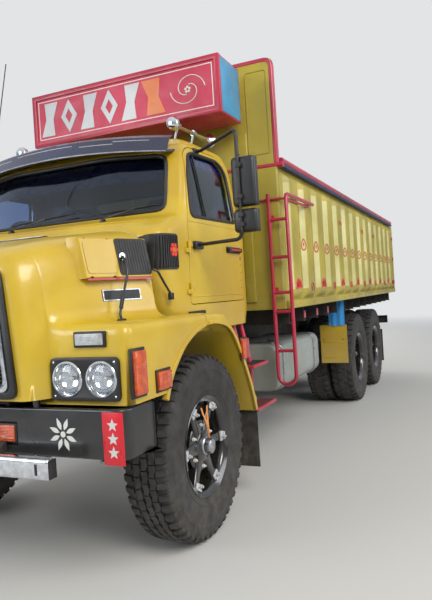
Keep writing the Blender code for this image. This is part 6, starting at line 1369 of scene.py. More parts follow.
HINGE_X, HINGE_Y, HINGE_RADIUS = 1.097, 0.006, 0.0115
fixed, moving = [], []
for share in (0.06, 0.30):
    z = DOOR_SILL_Z + share * DOOR_HEIGHT + 0.04
    fixed += [rod((HINGE_X, HINGE_Y, z - 0.0398), (HINGE_X, HINGE_Y, z - 0.0003), HINGE_RADIUS),
        block((1.083, -0.043, z - 0.035), (1.1015, 0.001, z - 0.005), 0.002)]
    moving += [rod((HINGE_X, HINGE_Y, z + 0.0003), (HINGE_X, HINGE_Y, z + 0.0398), HINGE_RADIUS),
        block((1.0855, 0.012, z + 0.005), (1.1015, 0.055, z + 0.035), 0.002)]
both("cab_hinge_leaf", fixed, "yellow")
both("door_hinge_leaf", moving, "yellow", "door")
both("door_handle", [block((1.0845, 0.66, 1.935), (1.0895, 0.94, 1.985), 0.002),
        block((1.088, 0.67, 1.944), (1.113, 0.72, 1.976), 0.006),
        block((1.088, 0.88, 1.944), (1.113, 0.93, 1.976), 0.006),
        block((1.101, 0.67, 1.946), (1.1145, 0.93, 1.974), 0.006)], "black", "door")
both("door_handle_insert", block((1.1135, 0.70, 1.954), (1.1155, 0.90, 1.966), 0.001), "bright_red",
    "door")
both("door_lock", rod((1.083, 0.93, 1.90), (1.0905, 0.93, 1.90), 0.014, 20), "chrome", "door")
rivets = []
for k in range(9):
    z = 1.60 + 0.062 * k
    rivets.append(
        ball(on_skin(skin, [(0.935, z), (0.936, z)], "left", False)[0], 0.0055, (0.6, 1, 1)))
both("door_rivets", rivets, "dark_orange", "door")
creases = [pipe(along_skin(skin, [(0.06, z), (0.90, z)], "left"), 0.0045, 2)
    for z in (1.615, 2.135)]
both("door_creases", creases, "yellow", "door")
both("mirror_arm_mount", [block((1.084, 0.075, 1.94), (1.118, 0.20, 1.995), 0.010, 3),
        block((0.965, 0.385, 2.662), (1.002, 0.455, 2.708), 0.008, 3)], "black", "door")
arm = bent([(0.975, 0.42, 2.685), (1.028, 0.42, 2.685), (1.47, 0.03, 2.685), (1.47, 0.03, 1.97),
        (1.137, 0.13, 1.97), (1.09, 0.13, 1.97)], 0.05, 5)
both("mirror_arm", pipe(arm, 0.0125, 4), "black", "door")
heads, glasses = [], []
for low_z, high_z in ((2.17, 2.49), (2.005, 2.155)):
    heads += [block((1.445, -0.04, low_z), (1.61, 0.028, high_z), 0.026, 4),
        block((1.449, 0.018, low_z + 0.004), (1.606, 0.030, high_z - 0.004), 0.005, 2)]
    glasses.append(block((1.458, 0.0275, low_z + 0.014), (1.597, 0.0315, high_z - 0.014), 0.001))
front_rod = bent(
    [(1.505, -0.030, 1.992), (1.505, -0.052, 2.01), (1.505, -0.052, 2.48), (1.505, -0.030, 2.50)],
    0.02, 3)
clamps = [block((1.488, -0.062, z - 0.014), (1.522, -0.036, z + 0.014), 0.003)
    for z in (2.055, 2.115, 2.23, 2.43)]
both("mirror_heads", heads, "black", "door", ["mirror"])
both("mirror_clamp_rod", [pipe(front_rod, 0.008, 2), *clamps], "chassis", "door")
both("mirror_faces", glasses, "chrome", "door")

# Bumper and front bar

FRONT_FACE_Y = -1.07
SIDES = (-1, 1)
plan = [(-1.215, -0.78), (-1.215, FRONT_FACE_Y), (1.215, FRONT_FACE_Y), (1.215, -0.78),
    (1.175, -0.78), (1.175, -1.03), (-1.175, -1.03), (-1.175, -0.78)]
plan = rounded_loop(plan, [0.0, 0.09, 0.09, 0.0, 0.0, 0.06, 0.06, 0.0], 6)
shell = softened(outline_solid(plan, "z", 0.81, 1.07), 0.010, 3, 50)
pockets = [block((side * 0.43 - 0.085, -1.2, 0.862), (side * 0.43 + 0.085, -1.045, 0.992))
    for side in SIDES]
piece("bumper_shell", cut(shell, *pockets), "bumper_black", "root", ["bumper"])
blocks((
    ("bumper_pocket_floor", "chassis", (0.343, -1.048, 0.858), (0.517, -1.040, 0.996), 0.001),
    ("fog_lamp_body", "black", (0.352, -1.072, 0.872), (0.508, -1.046, 0.982), 0.008, 3),
    ("fog_lamp_lens", "amber", (0.364, -1.079, 0.882), (0.496, -1.068, 0.972), 0.006, 3),
    ("bumper_lug", "bumper_black", (0.6155, -1.05, 1.06), (0.6545, -1.0305, 1.13), 0.003),
))


def on_bumper(outline):
    """A painted motif on the bumper's front."""
    return outline_solid(outline, "y", FRONT_FACE_Y - 0.0018, FRONT_FACE_Y + 0.001)


ROSETTE = Vector((0.825, 0.935))
petals = []
for k in range(8):
    turn = math.tau * k / 8 + math.pi / 8
    along, side = Vector((math.cos(turn), math.sin(turn))), Vector(
        (-math.sin(turn), math.cos(turn)))
    petals.append(on_bumper(rounded_loop(
        [ROSETTE + along * 0.024, ROSETTE + along * 0.052 + side * 0.017, ROSETTE + along * 0.092,
         ROSETTE + along * 0.052 - side * 0.017], [0.0, 0.02, 0.0, 0.02], 3)))
both("bumper_rosette", [on_bumper(circle(*ROSETTE, 0.016, 0.016, 20)), *petals], "white")
both("star_plate", block((1.082, -1.079, 0.79), (1.208, -1.0725, 1.06), 0.003), "bright_red")
stars = []
for z in (0.995, 0.925, 0.855):
    points = []
    for k in range(10):
        reach, turn = (0.0145 if k % 2 else 0.034), math.tau * k / 10 + math.pi / 2
        points.append((1.145 + reach * math.cos(turn), z + reach * math.sin(turn)))
    stars.append(outline_solid(points, "y", -1.0805, -1.0785))
both("plate_stars", stars, "white")
both("bumper_corner_blob", block((1.13, -1.0, 1.062), (1.205, -0.90, 1.112), 0.02, 4), "black")
bar = block((-0.86, -1.2445, 0.74), (0.86, -1.175, 0.85), 0.019, 5)
webs = [outline_solid([(-1.180, 0.762), (-1.0715, 0.832), (-1.0715, 0.888), (-1.180, 0.828)], "x",
        side * 0.40 - 0.034, side * 0.40 + 0.034) for side in SIDES]
piece("front_bar_tube", bar, "chrome", "root", ["front_bar"])
piece("front_bar_brackets", softened(gathered(*webs), 0.003, 2, 50), "chassis")
blocks((
    ("front_bar_slot", "black", (0.772, -1.2450, 0.765), (0.792, -1.2395, 0.825), 0.002),
    ("front_bar_end_cap", "black", (0.8575, -1.2395, 0.746), (0.8615, -1.180, 0.844), 0.0015),
))

# Load bed

BED_FRONT_Y, BED_REAR_Y = 1.55, 8.45
BED_HALF_WIDTH, BED_WALL = 1.25, 0.035
BED_LOW_Z, BED_FLOOR_Z, BED_TOP_Z = 1.45, 1.50, 2.76
RIB_DEPTH, RIB_COUNT = 0.05, 14
WALL_START, WALL_END = BED_FRONT_Y + 0.07, BED_REAR_Y - 0.07
RIB_PITCH = (WALL_END - WALL_START) / RIB_COUNT
RIB_LOW_Z, RIB_TOP_Z = BED_LOW_Z + 0.085, BED_TOP_Z - 0.062
SIDE_FRONT_Y = BED_FRONT_Y + 0.0515


def rib_at(z, proud, share):
    """Section of a pressed rib: its flat top and its two slopes down to the wall."""
    base, flat = RIB_PITCH * 0.40, RIB_PITCH * 0.23 * share + RIB_PITCH * 0.40 * (1 - share)
    section = rounded_loop([(BED_HALF_WIDTH - SINK, -base), (BED_HALF_WIDTH + proud, -flat),
            (BED_HALF_WIDTH + proud, flat), (BED_HALF_WIDTH - SINK, base)],
        [0.0, 0.016, 0.016, 0.0], 4)
    return [Vector((x, y, z)) for x, y in section]


def wall_rib(middle_y):
    rows = ((RIB_LOW_Z, 0.001, 0.5), (RIB_LOW_Z + 0.012, 0.012, 0.6),
        (RIB_LOW_Z + 0.05, 0.044, 0.94), (RIB_LOW_Z + 0.07, RIB_DEPTH, 1.0),
        (RIB_TOP_Z - 0.07, RIB_DEPTH, 1.0), (RIB_TOP_Z - 0.05, 0.044, 0.94),
        (RIB_TOP_Z - 0.012, 0.012, 0.6), (RIB_TOP_Z, 0.001, 0.5))
    rib = loft([rib_at(*row) for row in rows])
    bmesh.ops.translate(rib, vec=(0.0, middle_y, 0.0), verts=rib.verts)
    return rib


SILL_X = 1.305
RIB_FACE_X = BED_HALF_WIDTH + RIB_DEPTH
rib_ys = [WALL_START + RIB_PITCH * (k + 0.5) for k in range(RIB_COUNT)]
wall_sheet = block((BED_HALF_WIDTH - BED_WALL, SIDE_FRONT_Y, BED_LOW_Z + 0.002),
    (BED_HALF_WIDTH, BED_REAR_Y, BED_TOP_Z - 0.004), 0.003)
post = block((BED_HALF_WIDTH - SINK, BED_REAR_Y - 0.058, BED_LOW_Z + 0.07),
    (RIB_FACE_X, BED_REAR_Y, BED_TOP_Z - 0.045), 0.006)
sill = block((BED_HALF_WIDTH - 0.017, SIDE_FRONT_Y, BED_LOW_Z),
    (SILL_X, BED_REAR_Y, BED_LOW_Z + 0.07), 0.008, 3)
both("bed_wall_sheet", [wall_sheet, sill, post], "bed_yellow", "root", ["bed_side"])
both("bed_wall_ribs", [wall_rib(y) for y in rib_ys], "bed_yellow")
# Pale strips on the front slope of each rib: painted highlight where the light catches the slopes.
slopes = []
for y in rib_ys:
    low_y, high_y = y - RIB_PITCH * 0.385, y - RIB_PITCH * 0.262
    slopes.append(outline_solid([(BED_HALF_WIDTH + 0.0035, low_y), (RIB_FACE_X - 0.0055, high_y),
            (RIB_FACE_X - 0.0075, high_y + 0.004), (BED_HALF_WIDTH, low_y + 0.004)], "z",
            RIB_LOW_Z + 0.09, RIB_TOP_Z - 0.09))
both("rib_slope_painted_highlights", slopes, "pale")
# Dark blue band under the top rail: blue paint with the rail's shadow painted into it.
both("bed_under_edge", block((BED_HALF_WIDTH - 0.017, SIDE_FRONT_Y, BED_TOP_Z - 0.034),
        (SILL_X, BED_REAR_Y, BED_TOP_Z), 0.006, 3), "edge_blue")
rail_z, rail_x = BED_TOP_Z + 0.0285, 1.273
both("bed_top_rail", rod((rail_x, SIDE_FRONT_Y, rail_z), (rail_x, BED_REAR_Y, rail_z), 0.031, 20),
    "red")
joints = [turned(
        [(0.0315, -0.012), (0.0319, 0.0), (0.0315, 0.012), (0.028, 0.012), (0.028, -0.012)],
        (rail_x, y, rail_z), "y", 20) for y in rib_ys[1::3]]
both("rail_weld_rings", joints, "red")
both("sill_bolts",
    [rod((1.300, y, BED_LOW_Z + 0.038), (1.3065, y, BED_LOW_Z + 0.038), 0.010, 6) for y in rib_ys],
    "dark_orange")


def on_slope(shape, y, z):
    """Lay a motif, drawn flat about zero in y and z, on the front slope of a rib."""
    slope = Vector((RIB_DEPTH - 0.009, RIB_PITCH * 0.123, 0.0)).normalized()
    out = Vector((slope.y, -slope.x, 0.0))
    centre = Vector((BED_HALF_WIDTH + RIB_DEPTH / 2 - 0.0005, y - RIB_PITCH * 0.3235, z))
    for v in shape.verts:
        v.co = centre + out * v.co.x + slope * v.co.y + Vector((0, 0, v.co.z))
    return shape


def ring_leaf(y, z):
    """Painted pointed ring with a small leaf inside, on a rib's slope."""
    outer, inner = [], []
    for k in range(24):
        turn = math.tau * k / 24
        width = 0.033 * math.sin(turn) * (1.0 - 0.25 * math.cos(turn))
        outer.append((width, 0.062 * math.cos(turn)))
        inner.append((width * 0.66, 0.044 * math.cos(turn) - 0.002))
    ring = cut(outline_solid(outer, "x", 0.0, 0.0022), outline_solid(inner, "x", -0.01, 0.01))
    leaf = outline_solid([(0.0, 0.026), (0.010, 0.004), (0.0, -0.024), (-0.010, 0.004)], "x", 0.0,
        0.0022)
    return on_slope(gathered(ring, leaf), y, z)


def leaf_spray(y, z, size):
    """Painted spray of broad leaves that fan out from a round heart."""
    heart = Vector((y, z + 0.022))
    leaves = [outline_solid(circle(*heart, 0.024, 0.020, 16), "x", RIB_FACE_X - 0.001,
            RIB_FACE_X + 0.0014)]
    for turn in (-100, -68, -38, -6, 26, 58, 92):
        along = Vector((math.sin(math.radians(turn)), 0.80 * math.cos(math.radians(turn))))
        side = Vector((along.y, -along.x)).normalized()
        points = [heart + along * size * reach + side * size * width for reach, width in (
                (0.10, 0.0), (0.45, 0.20), (0.80, 0.14), (1.0, 0.0), (0.80, -0.14), (0.45, -0.20))]
        loop = rounded_loop(points, [0.0, 0.03, 0.03, 0.0, 0.03, 0.03], 3)
        leaves.append(outline_solid(loop, "x", RIB_FACE_X - 0.001, RIB_FACE_X + 0.0012))
    return gathered(*leaves)


def wire_loop(y, z, width, height):
    """Bent tie loop whose two feet are welded to a rib."""
    half = [(RIB_FACE_X - 0.004, -width / 2, z), (RIB_FACE_X + 0.0035, -width / 2, z + 0.004),
        (RIB_FACE_X + 0.0035, -width / 2, z + height)]
    path = half + [(x, -across, up) for x, across, up in reversed(half)]
    return pipe(bent([(x, y + across, up) for x, across, up in path], 0.035, 4), 0.0055, 2)


both("rib_ring_motifs", [ring_leaf(y, 2.06) for y in rib_ys[1:]], "dark_orange")
both("sill_leaf_motifs", [leaf_spray(y, 1.625, 0.110) for y in rib_ys[0::2]], "bright_red")
both("tie_loops", [wire_loop(y, 1.60, 0.075, 0.075) for y in rib_ys[1::2]], "red")
both("lift_handles", [wire_loop(rib_ys[k], 2.37, 0.12, 0.05) for k in (4, 7, 9)], "red")
hinges = [block((1.285, BED_REAR_Y - 0.13, z - 0.03), (1.3035, BED_REAR_Y - 0.002, z + 0.03), 0.004)
    for z in (1.65, 2.09, 2.48)]
both("rear_hinge_plates", hinges, "red")

FRONT_WALL_TOP_Z, SHOULDER_Z = 3.700, 2.75
TUBE_RADIUS, TUBE_Y, TUBE_X = 0.0275, 1.572, 1.2407
BULKHEAD_Y = 1.5497         # where sign arms and ladder mounts end
front_wall = block((-BED_HALF_WIDTH, BED_FRONT_Y, BED_LOW_Z),
    (BED_HALF_WIDTH, BED_FRONT_Y + 0.0497, FRONT_WALL_TOP_Z - 0.001), 0.004)
swages = [block((x - RIB_DEPTH, BED_FRONT_Y - 0.025, 1.522),
        (x + RIB_DEPTH, BED_FRONT_Y + SINK, 3.074), 0.012, 3)
    for x in (-0.9375, -0.3125, 0.3125, 0.9375)]
piece("bulkhead_wall", [front_wall, *swages], "bed_yellow", "root", ["bulkhead"])
edge = bent([(TUBE_X, TUBE_Y, SHOULDER_Z), (TUBE_X, TUBE_Y, FRONT_WALL_TOP_Z),
        (-TUBE_X, TUBE_Y, FRONT_WALL_TOP_Z), (-TUBE_X, TUBE_Y, SHOULDER_Z)], 0.07, 6)
tubes = gathered(pipe(edge, TUBE_RADIUS, 4),
    rod((-1.3045, TUBE_Y, SHOULDER_Z), (1.3045, TUBE_Y, SHOULDER_Z), TUBE_RADIUS, 20))
piece("bulkhead_tubes", tubes, "red")
frames = []
for middle_x in (1.095, -1.095):
    outline = shifted(rounded(0.21, 0.76, 0.03, 4), middle_x, 3.24)
    outer = outline_solid(outline, "y", BED_FRONT_Y - 0.006, BED_FRONT_Y + 0.001)
    inner = outline_solid(shrunk(outline, 0.012), "y", BED_FRONT_Y - 0.02, BED_FRONT_Y + 0.02)
    frames.append(softened(cut(outer, inner), 0.002, 1, 50))
piece("bulkhead_inset_frames", frames, "bed_yellow")
both("bulkhead_edge_line",
    block((1.236, BED_FRONT_Y - 0.001, 1.53), (1.2495, BED_FRONT_Y + 0.001, 2.71)), "pale")
corner_bar = bent(
    [(1.02, 1.5385, 2.44), (1.285, 1.5385, 2.44), (1.3095, 1.56, 2.44), (1.3095, 2.28, 2.44)], 0.03,
    4)
piece("corner_bar", pipe(corner_bar, 0.0115, 3), "red")

FLOOR_X, BEARER_LOW_Z = 1.2145, 1.30
plate = block((-FLOOR_X, 1.6003, BED_LOW_Z), (FLOOR_X, BED_REAR_Y, BED_FLOOR_Z - 0.003), 0.002)
bearers = []
for k in range(14):
    y = BED_FRONT_Y + (BED_REAR_Y - BED_FRONT_Y) / 14 * (k + 0.5)
    section = [(-0.035, BED_LOW_Z + 0.002), (-0.035, BEARER_LOW_Z), (0.035, BEARER_LOW_Z),
        (0.035, BEARER_LOW_Z + 0.008), (-0.027, BEARER_LOW_Z + 0.008), (-0.027, BED_LOW_Z - 0.006),
        (0.035, BED_LOW_Z - 0.006), (0.035, BED_LOW_Z + 0.002)]
    bearers.append(outline_solid(shifted(section, y, 0.0), "x", -FLOOR_X, FLOOR_X))
runners = [block((x - 0.04, 1.602, 1.0905), (x + 0.04, 8.37, 1.302), 0.004)
    for x in (-0.385, 0.385)]
piece("bed_floor_and_bearers", [plate, *bearers, *runners], "chassis", "root", ["bed_floor"])
boards = []
for k in range(16):
    x = -1.2 + 2.4 * (k + 0.5) / 16
    boards.append(
        block((x - 0.0715, 1.604, BED_FLOOR_Z - 0.004), (x + 0.0715, 8.39, BED_FLOOR_Z), 0.0015))
piece("bed_floor_planks", boards, "tank_front")
both("bearer_end_paint", [block((1.2135, y - 0.036, 1.325), (1.2165, y + 0.036, 1.40), 0.001)
        for y in (2.2829, 2.776, 3.2686)], "red")

DOOR_EDGE_X = 1.209
door_leaf = block((0.002, BED_REAR_Y - 0.035, BED_LOW_Z + 0.056),
    (DOOR_EDGE_X, BED_REAR_Y + 0.01, BED_TOP_Z - 0.006), 0.004)
channels = [block((share * DOOR_EDGE_X - RIB_DEPTH, BED_REAR_Y + 0.006, 1.57),
        (share * DOOR_EDGE_X + RIB_DEPTH, BED_REAR_Y + 0.034, 2.63), 0.010, 3)
    for share in (0.1, 0.35, 0.65, 0.9)]
both("cargo_door_leaf", [door_leaf, *channels], "bed_yellow", "cargo_door", ["cargo_door"])
straps = []
door_low, door_high = BED_FLOOR_Z + 0.006, BED_TOP_Z - 0.006
for share in (0.12, 0.5, 0.86):
    z = door_low + share * (door_high - door_low)
    straps += [
        block((1.0, BED_REAR_Y + 0.008, z - 0.024), (1.266, BED_REAR_Y + 0.0215, z + 0.024), 0.003),
        rod((1.266, BED_REAR_Y + 0.016, z - 0.05), (1.266, BED_REAR_Y + 0.016, z + 0.05), 0.0155)]
both("cargo_door_hinges", straps, "red", "cargo_door")
lock = gathered(
    rod((0.055, BED_REAR_Y + 0.024, 1.54), (0.055, BED_REAR_Y + 0.024, 2.70), 0.009, 12), *[
        block((0.040, BED_REAR_Y + 0.008, z), (0.070, BED_REAR_Y + 0.033, z + 0.03), 0.002)
        for z in (1.60, 2.60)],
    block((0.045, BED_REAR_Y + 0.018, 1.95), (0.20, BED_REAR_Y + 0.032, 1.975), 0.004))
both("cargo_door_lock_rod", lock, "alloy", "cargo_door")

# Sign over the cab

SIGN_LOW_Z, SIGN_HIGH_Z, SIGN_HALF_WIDTH = 3.13, 3.62, 0.983
SIGN_FRONT_Y, SIGN_REAR_Y, SIGN_FRAME = 0.98, 1.44, 0.045
SIGN_MIDDLE_Z = (SIGN_LOW_Z + SIGN_HIGH_Z) / 2
FACE_Y = SIGN_FRONT_Y + 0.015
THROUGH_FACE = ("y", FACE_Y - 0.1, FACE_Y + 0.1)
box_body = block((-SIGN_HALF_WIDTH + 0.004, SIGN_FRONT_Y + 0.016, SIGN_LOW_Z + 0.004),
    (SIGN_HALF_WIDTH - 0.004, SIGN_REAR_Y, SIGN_HIGH_Z - 0.004), 0.003)
arms = [block((x - 0.025, SIGN_REAR_Y - SINK, z), (x + 0.025, BULKHEAD_Y, z + 0.05), 0.004)
    for z in (SIGN_LOW_Z + 0.05, SIGN_HIGH_Z - 0.10) for x in (-0.725, 0.725)]
piece("sign_box_body", [box_body, *arms], "red", "root", ["sign_box"])
rim_outer = block((-SIGN_HALF_WIDTH, SIGN_FRONT_Y, SIGN_LOW_Z),
    (SIGN_HALF_WIDTH, SIGN_FRONT_Y + 0.05, SIGN_HIGH_Z))
rim_inner = block((-SIGN_HALF_WIDTH + SIGN_FRAME, SIGN_FRONT_Y - 0.1, SIGN_LOW_Z + SIGN_FRAME),
    (SIGN_HALF_WIDTH - SIGN_FRAME, SIGN_FRONT_Y + 0.1, SIGN_HIGH_Z - SIGN_FRAME))
piece("sign_frame", softened(cut(rim_outer, rim_inner), 0.005, 2, 50), "red")
piece("sign_face", block((-0.937, FACE_Y - 0.003, SIGN_LOW_Z + 0.046),
        (0.937, FACE_Y + 0.002, SIGN_HIGH_Z - 0.046)), "sign_red")
both("sign_end_panel", block((SIGN_HALF_WIDTH - 0.006, SIGN_FRONT_Y + 0.03, SIGN_LOW_Z + 0.018),
        (SIGN_HALF_WIDTH, SIGN_REAR_Y - 0.018, SIGN_HIGH_Z - 0.018), 0.002), "sign_blue")


def on_face(outline):
    """A raised motif on the sign's face."""
    return softened(outline_solid(outline, "y", FACE_Y - 0.007, FACE_Y - 0.002), 0.0015, 1, 50)


def slanted(x, width, height, lean=0.05):
    """A block motif: a tall bar that leans, with a notched middle."""
    half_w, half_h, lean = width / 2, height / 2, lean / 2
    outline = [(-half_w - lean, -half_h), (half_w - lean, -half_h), (half_w * 0.55, -0.004),
        (half_w + lean, half_h), (-half_w + lean, half_h), (-half_w * 0.55, 0.004)]
    return shifted(outline, x, SIGN_MIDDLE_Z)


def diamond(x, half_width, half_height):
    outline = [(0, half_height), (half_width, 0), (0, -half_height), (-half_width, 0)]
    return shifted(outline, x, SIGN_MIDDLE_Z)


grey_motifs = []
for k, x in enumerate((-0.79, -0.565, -0.34, -0.115, 0.11)):
    if k % 2:
        hole = outline_solid(diamond(x, 0.040, 0.068), *THROUGH_FACE)
        grey_motifs.append(cut(on_face(diamond(x, 0.092, 0.155)), hole))
    else:
        grey_motifs.append(on_face(slanted(x, 0.155, 0.31)))
piece("sign_grey_motifs", grey_motifs, "silver")
piece("sign_gold_motif", on_face(slanted(0.345, 0.19, 0.31, -0.04)), "orange")
outline_frame = [(-0.918, SIGN_LOW_Z + 0.064), (0.918, SIGN_LOW_Z + 0.064),
    (0.918, SIGN_HIGH_Z - 0.064), (-0.918, SIGN_HIGH_Z - 0.064)]
line = cut(outline_solid(outline_frame, "y", FACE_Y - 0.0045, FACE_Y - 0.002),
    outline_solid(shrunk(outline_frame, 0.007), *THROUGH_FACE))
CURL_X, CURL_RADIUS, CURL_TURN, CURL_STEPS = 0.68, 0.15, math.tau * 0.713, 35
curls = []
for phase in (0.0, math.pi):
    path = []
    for k in range(CURL_STEPS + 1):
        t = k / CURL_STEPS
        angle, reach = phase + t * CURL_TURN, CURL_RADIUS * (1 - 0.72 * t)
        path.append((CURL_X + reach * math.cos(angle) * 1.1, FACE_Y - 0.004,
                SIGN_MIDDLE_Z + reach * math.sin(angle)))
    curls.append(pipe(path, 0.0045, 1))
petals = [ball((x, FACE_Y - 0.0045, z), 0.011, (1, 0.2, 1))
    for x, z in circle(CURL_X, SIGN_MIDDLE_Z, 0.020, 0.020, 5, math.pi / 2)]
piece("sign_pale_outline", [line, *curls, *petals], "white")

# Steps, tanks, flaps and the low fittings

RAIL_X = 0.4255             # outer face of the chassis rails
boards, treads = [], []
for front_y, rear_y, top_z in ((0.78, 1.12, 1.05), (0.82, 1.27, 0.70)):
    boards.append(block((1.06, front_y, top_z - 0.03), (1.21, rear_y, top_z - 0.004), 0.006, 3))
    count = round((rear_y - front_y) / 0.045)
    for k in range(count):
        y = front_y + (rear_y - front_y) * (k + 0.5) / count
        treads.append(
            block((1.075, y - 0.008, top_z - 0.007), (1.195, y + 0.008, top_z - 0.0005), 0.002, 1))
legs = []
for y in (0.86, 1.02):
    legs += [
        pipe(bent([(1.084, y, 0.685), (1.084, y, 1.045), (1.017, y, 1.3695)], 0.06, 4), 0.0195, 4),
        block((1.0, y - 0.035, 1.355), (1.034, y + 0.035, 1.3697), 0.003)]
both("step_boards", [*boards, *legs], "red", "root", ["step"])
both("step_treads", treads, "chassis")


def tank_outline(width, height, radius):
    return shifted(rounded(width, height, radius, 8), 0.81, 0.905)


TANK_FRONT_Y, TANK_LENGTH = 1.62, 1.48
shell_outline = tank_outline(0.62, 0.43, 0.11)
body = softened(
    outline_solid(shell_outline, "y", TANK_FRONT_Y + 0.002, TANK_FRONT_Y + TANK_LENGTH - 0.002),
    0.014, 3, 60)
seams = [cut(outline_solid(tank_outline(0.624, 0.434, 0.112), "y", y - 0.007, y + 0.007),
        outline_solid(shrunk(shell_outline, 0.004), "y", y - 0.05, y + 0.05))
    for y in (1.655, 3.065)]
both("tank_shell", [body, *seams], "tank", "root", ["tank"])
bands, mounts = [], []
for y in (TANK_FRONT_Y + TANK_LENGTH * 0.12, TANK_FRONT_Y + TANK_LENGTH * 0.86):
    strap = cut(outline_solid(tank_outline(0.644, 0.454, 0.118), "y", y - 0.024, y + 0.024),
        outline_solid(tank_outline(0.622, 0.432, 0.111), "y", y - 0.1, y + 0.1))
    bands += [softened(strap, 0.003, 1, 50),
        block((1.122, y - 0.014, 0.86), (1.1318, y + 0.014, 0.95), 0.003)]
    mounts.append(block((RAIL_X, y - 0.025, 0.84), (0.55, y + 0.025, 1.04), 0.004))
both("tank_straps", bands, "alloy")
both("tank_brackets", mounts, "chassis")
both("tank_filler_cap", [rod((0.98, 1.82, 1.07), (1.01, 1.82, 1.128), 0.045, 32),
        rod((1.008, 1.82, 1.122), (1.016, 1.82, 1.142), 0.052, 32)], "alloy")
LADDER_INNER, LADDER_OUTER, LADDER_Y, LADDER_BEND_Z, LADDER_TOP_Z = 1.17, 1.335, 1.485, 0.8625, 2.47
side_rail = [(LADDER_INNER, LADDER_Y, 2.485), (LADDER_INNER, LADDER_Y, LADDER_BEND_Z)]
for k in range(1, 12):
    turn = math.pi * k / 12
    side_rail.append(
        (1.2525 - 0.0825 * math.cos(turn), LADDER_Y, LADDER_BEND_Z - 0.0825 * math.sin(turn)))
side_rail += [(LADDER_OUTER, LADDER_Y, LADDER_BEND_Z), (LADDER_OUTER, LADDER_Y, 2.43),
    (LADDER_OUTER, LADDER_Y + 0.012, 2.46), (LADDER_OUTER, LADDER_Y + 0.042, LADDER_TOP_Z),
    (LADDER_OUTER, 2.39, LADDER_TOP_Z)]
rungs = [pipe(side_rail, 0.0175, 4)]
rungs += [rod((LADDER_INNER, LADDER_Y, z), (LADDER_OUTER, LADDER_Y, z), 0.0142)
    for z in (1.08, 1.43, 1.60, 1.915, 2.25)]
for z in (1.618, 2.268):
    rungs += [rod((LADDER_INNER, LADDER_Y, z), (LADDER_INNER, BULKHEAD_Y, z), 0.0125, 14), block(
            (LADDER_INNER - 0.03, 1.543, z - 0.03), (LADDER_INNER + 0.03, BULKHEAD_Y, z + 0.03),
            0.002)]
rungs.append(rod((1.3003, 2.34, LADDER_TOP_Z), (LADDER_OUTER, 2.34, LADDER_TOP_Z), 0.0125, 14))
piece("ladder_pipes", rungs, "red", "root", ["ladder"])

PLATE_Y, ARM_Z = 4.05, 0.94
panel = [block((0.90, PLATE_Y, 0.635), (1.25, 4.0548, 1.13), 0.002, 1),
    block((0.90, PLATE_Y, 0.635), (0.906, 4.065, 1.13), 0.0015, 1),
    block((1.244, PLATE_Y, 0.635), (1.25, 4.065, 1.13), 0.0015, 1),
    block((0.90, PLATE_Y, 1.124), (1.25, 4.065, 1.13), 0.0015, 1)]
panel += [block((0.94, 4.046, z), (1.21, 4.052, z + 0.015), 0.003) for z in (0.70, 0.90)]
both("mud_plate_panel", panel, "yellow", "root", ["mud_plate"])
both("mud_plate_arm", [rod((RAIL_X, 4.083, ARM_Z), (1.24, 4.083, ARM_Z), 0.0215, 20),
        block((RAIL_X, 4.055, 0.90), (0.440, 4.112, 0.98), 0.003)], "chassis")
both("mud_plate_bolts", [rod((x, 4.044, ARM_Z), (x, 4.051, ARM_Z), 0.011, 6) for x in (0.95, 1.20)],
    "alloy")


def hung_cloth():
    """Cloth gathered at its top edge, with folds that open out towards its wavy hem."""
    bm = bmesh.new()
    columns, rows, width, drop = 60, 48, 0.205, 0.329
    top_z, left_x = 1.4485, 1.03
    grid = []
    for j in range(rows + 1):
        down = j / rows
        line = []
        for i in range(columns + 1):
            across = i / columns
            swing = (0.0030 + 0.0030 * down) * math.sin(
                math.tau * 2.2 * across + 0.8 * math.sin(2.1 * down))
            swing += 0.003 * down * math.sin(math.tau * 1.3 * across + 1.0)
            sag = 0.006 * math.sin(math.pi * across) * (1 - down) * 0.6
            hem = 0.010 * down * math.sin(math.tau * 1.6 * across + 0.5)
            x = left_x + width * (across + 0.012 * down * math.sin(math.tau * across))
            line.append(
                bm.verts.new((x, 4.033 + swing, top_z - drop * down - sag * 0.4 + hem * 0.6)))
        grid.append(line)
    for j in range(rows):
        for i in range(columns):
            bm.faces.new((grid[j][i], grid[j][i + 1], grid[j + 1][i + 1], grid[j + 1][i]))
    bmesh.ops.recalc_face_normals(bm, faces=bm.faces)
    skin_faces = list(bm.faces)
    bmesh.ops.solidify(bm, geom=skin_faces, thickness=0.0012)
    bmesh.ops.recalc_face_normals(bm, faces=bm.faces)
    return bm


side_sheet = piece("hanging_side_cloth", hung_cloth(), "cloth", "root", ["side_cloth"], 80)


def ribbed_flap(x_low, x_high, y_front, thick, z_low, z_high):
    """Rubber flap with moulded upright ribs and a thicker hem."""
    shapes = [block((x_low, y_front + thick * 0.25, z_low),
            (x_high, y_front + thick * 0.85, z_high), 0.001, 1),
        block((x_low, y_front, z_low), (x_high, y_front + thick, z_low + 0.03), 0.002, 1)]
    count = round((x_high - x_low) / 0.05)
    for k in range(count):
        x = x_low + (x_high - x_low) * (k + 0.5) / count
        shapes.append(block((x - 0.008, y_front + 0.0003, z_low + 0.05),
                (x + 0.008, y_front + thick * 0.6, z_high - 0.04), 0.0015, 1))
    return gathered(*shapes)


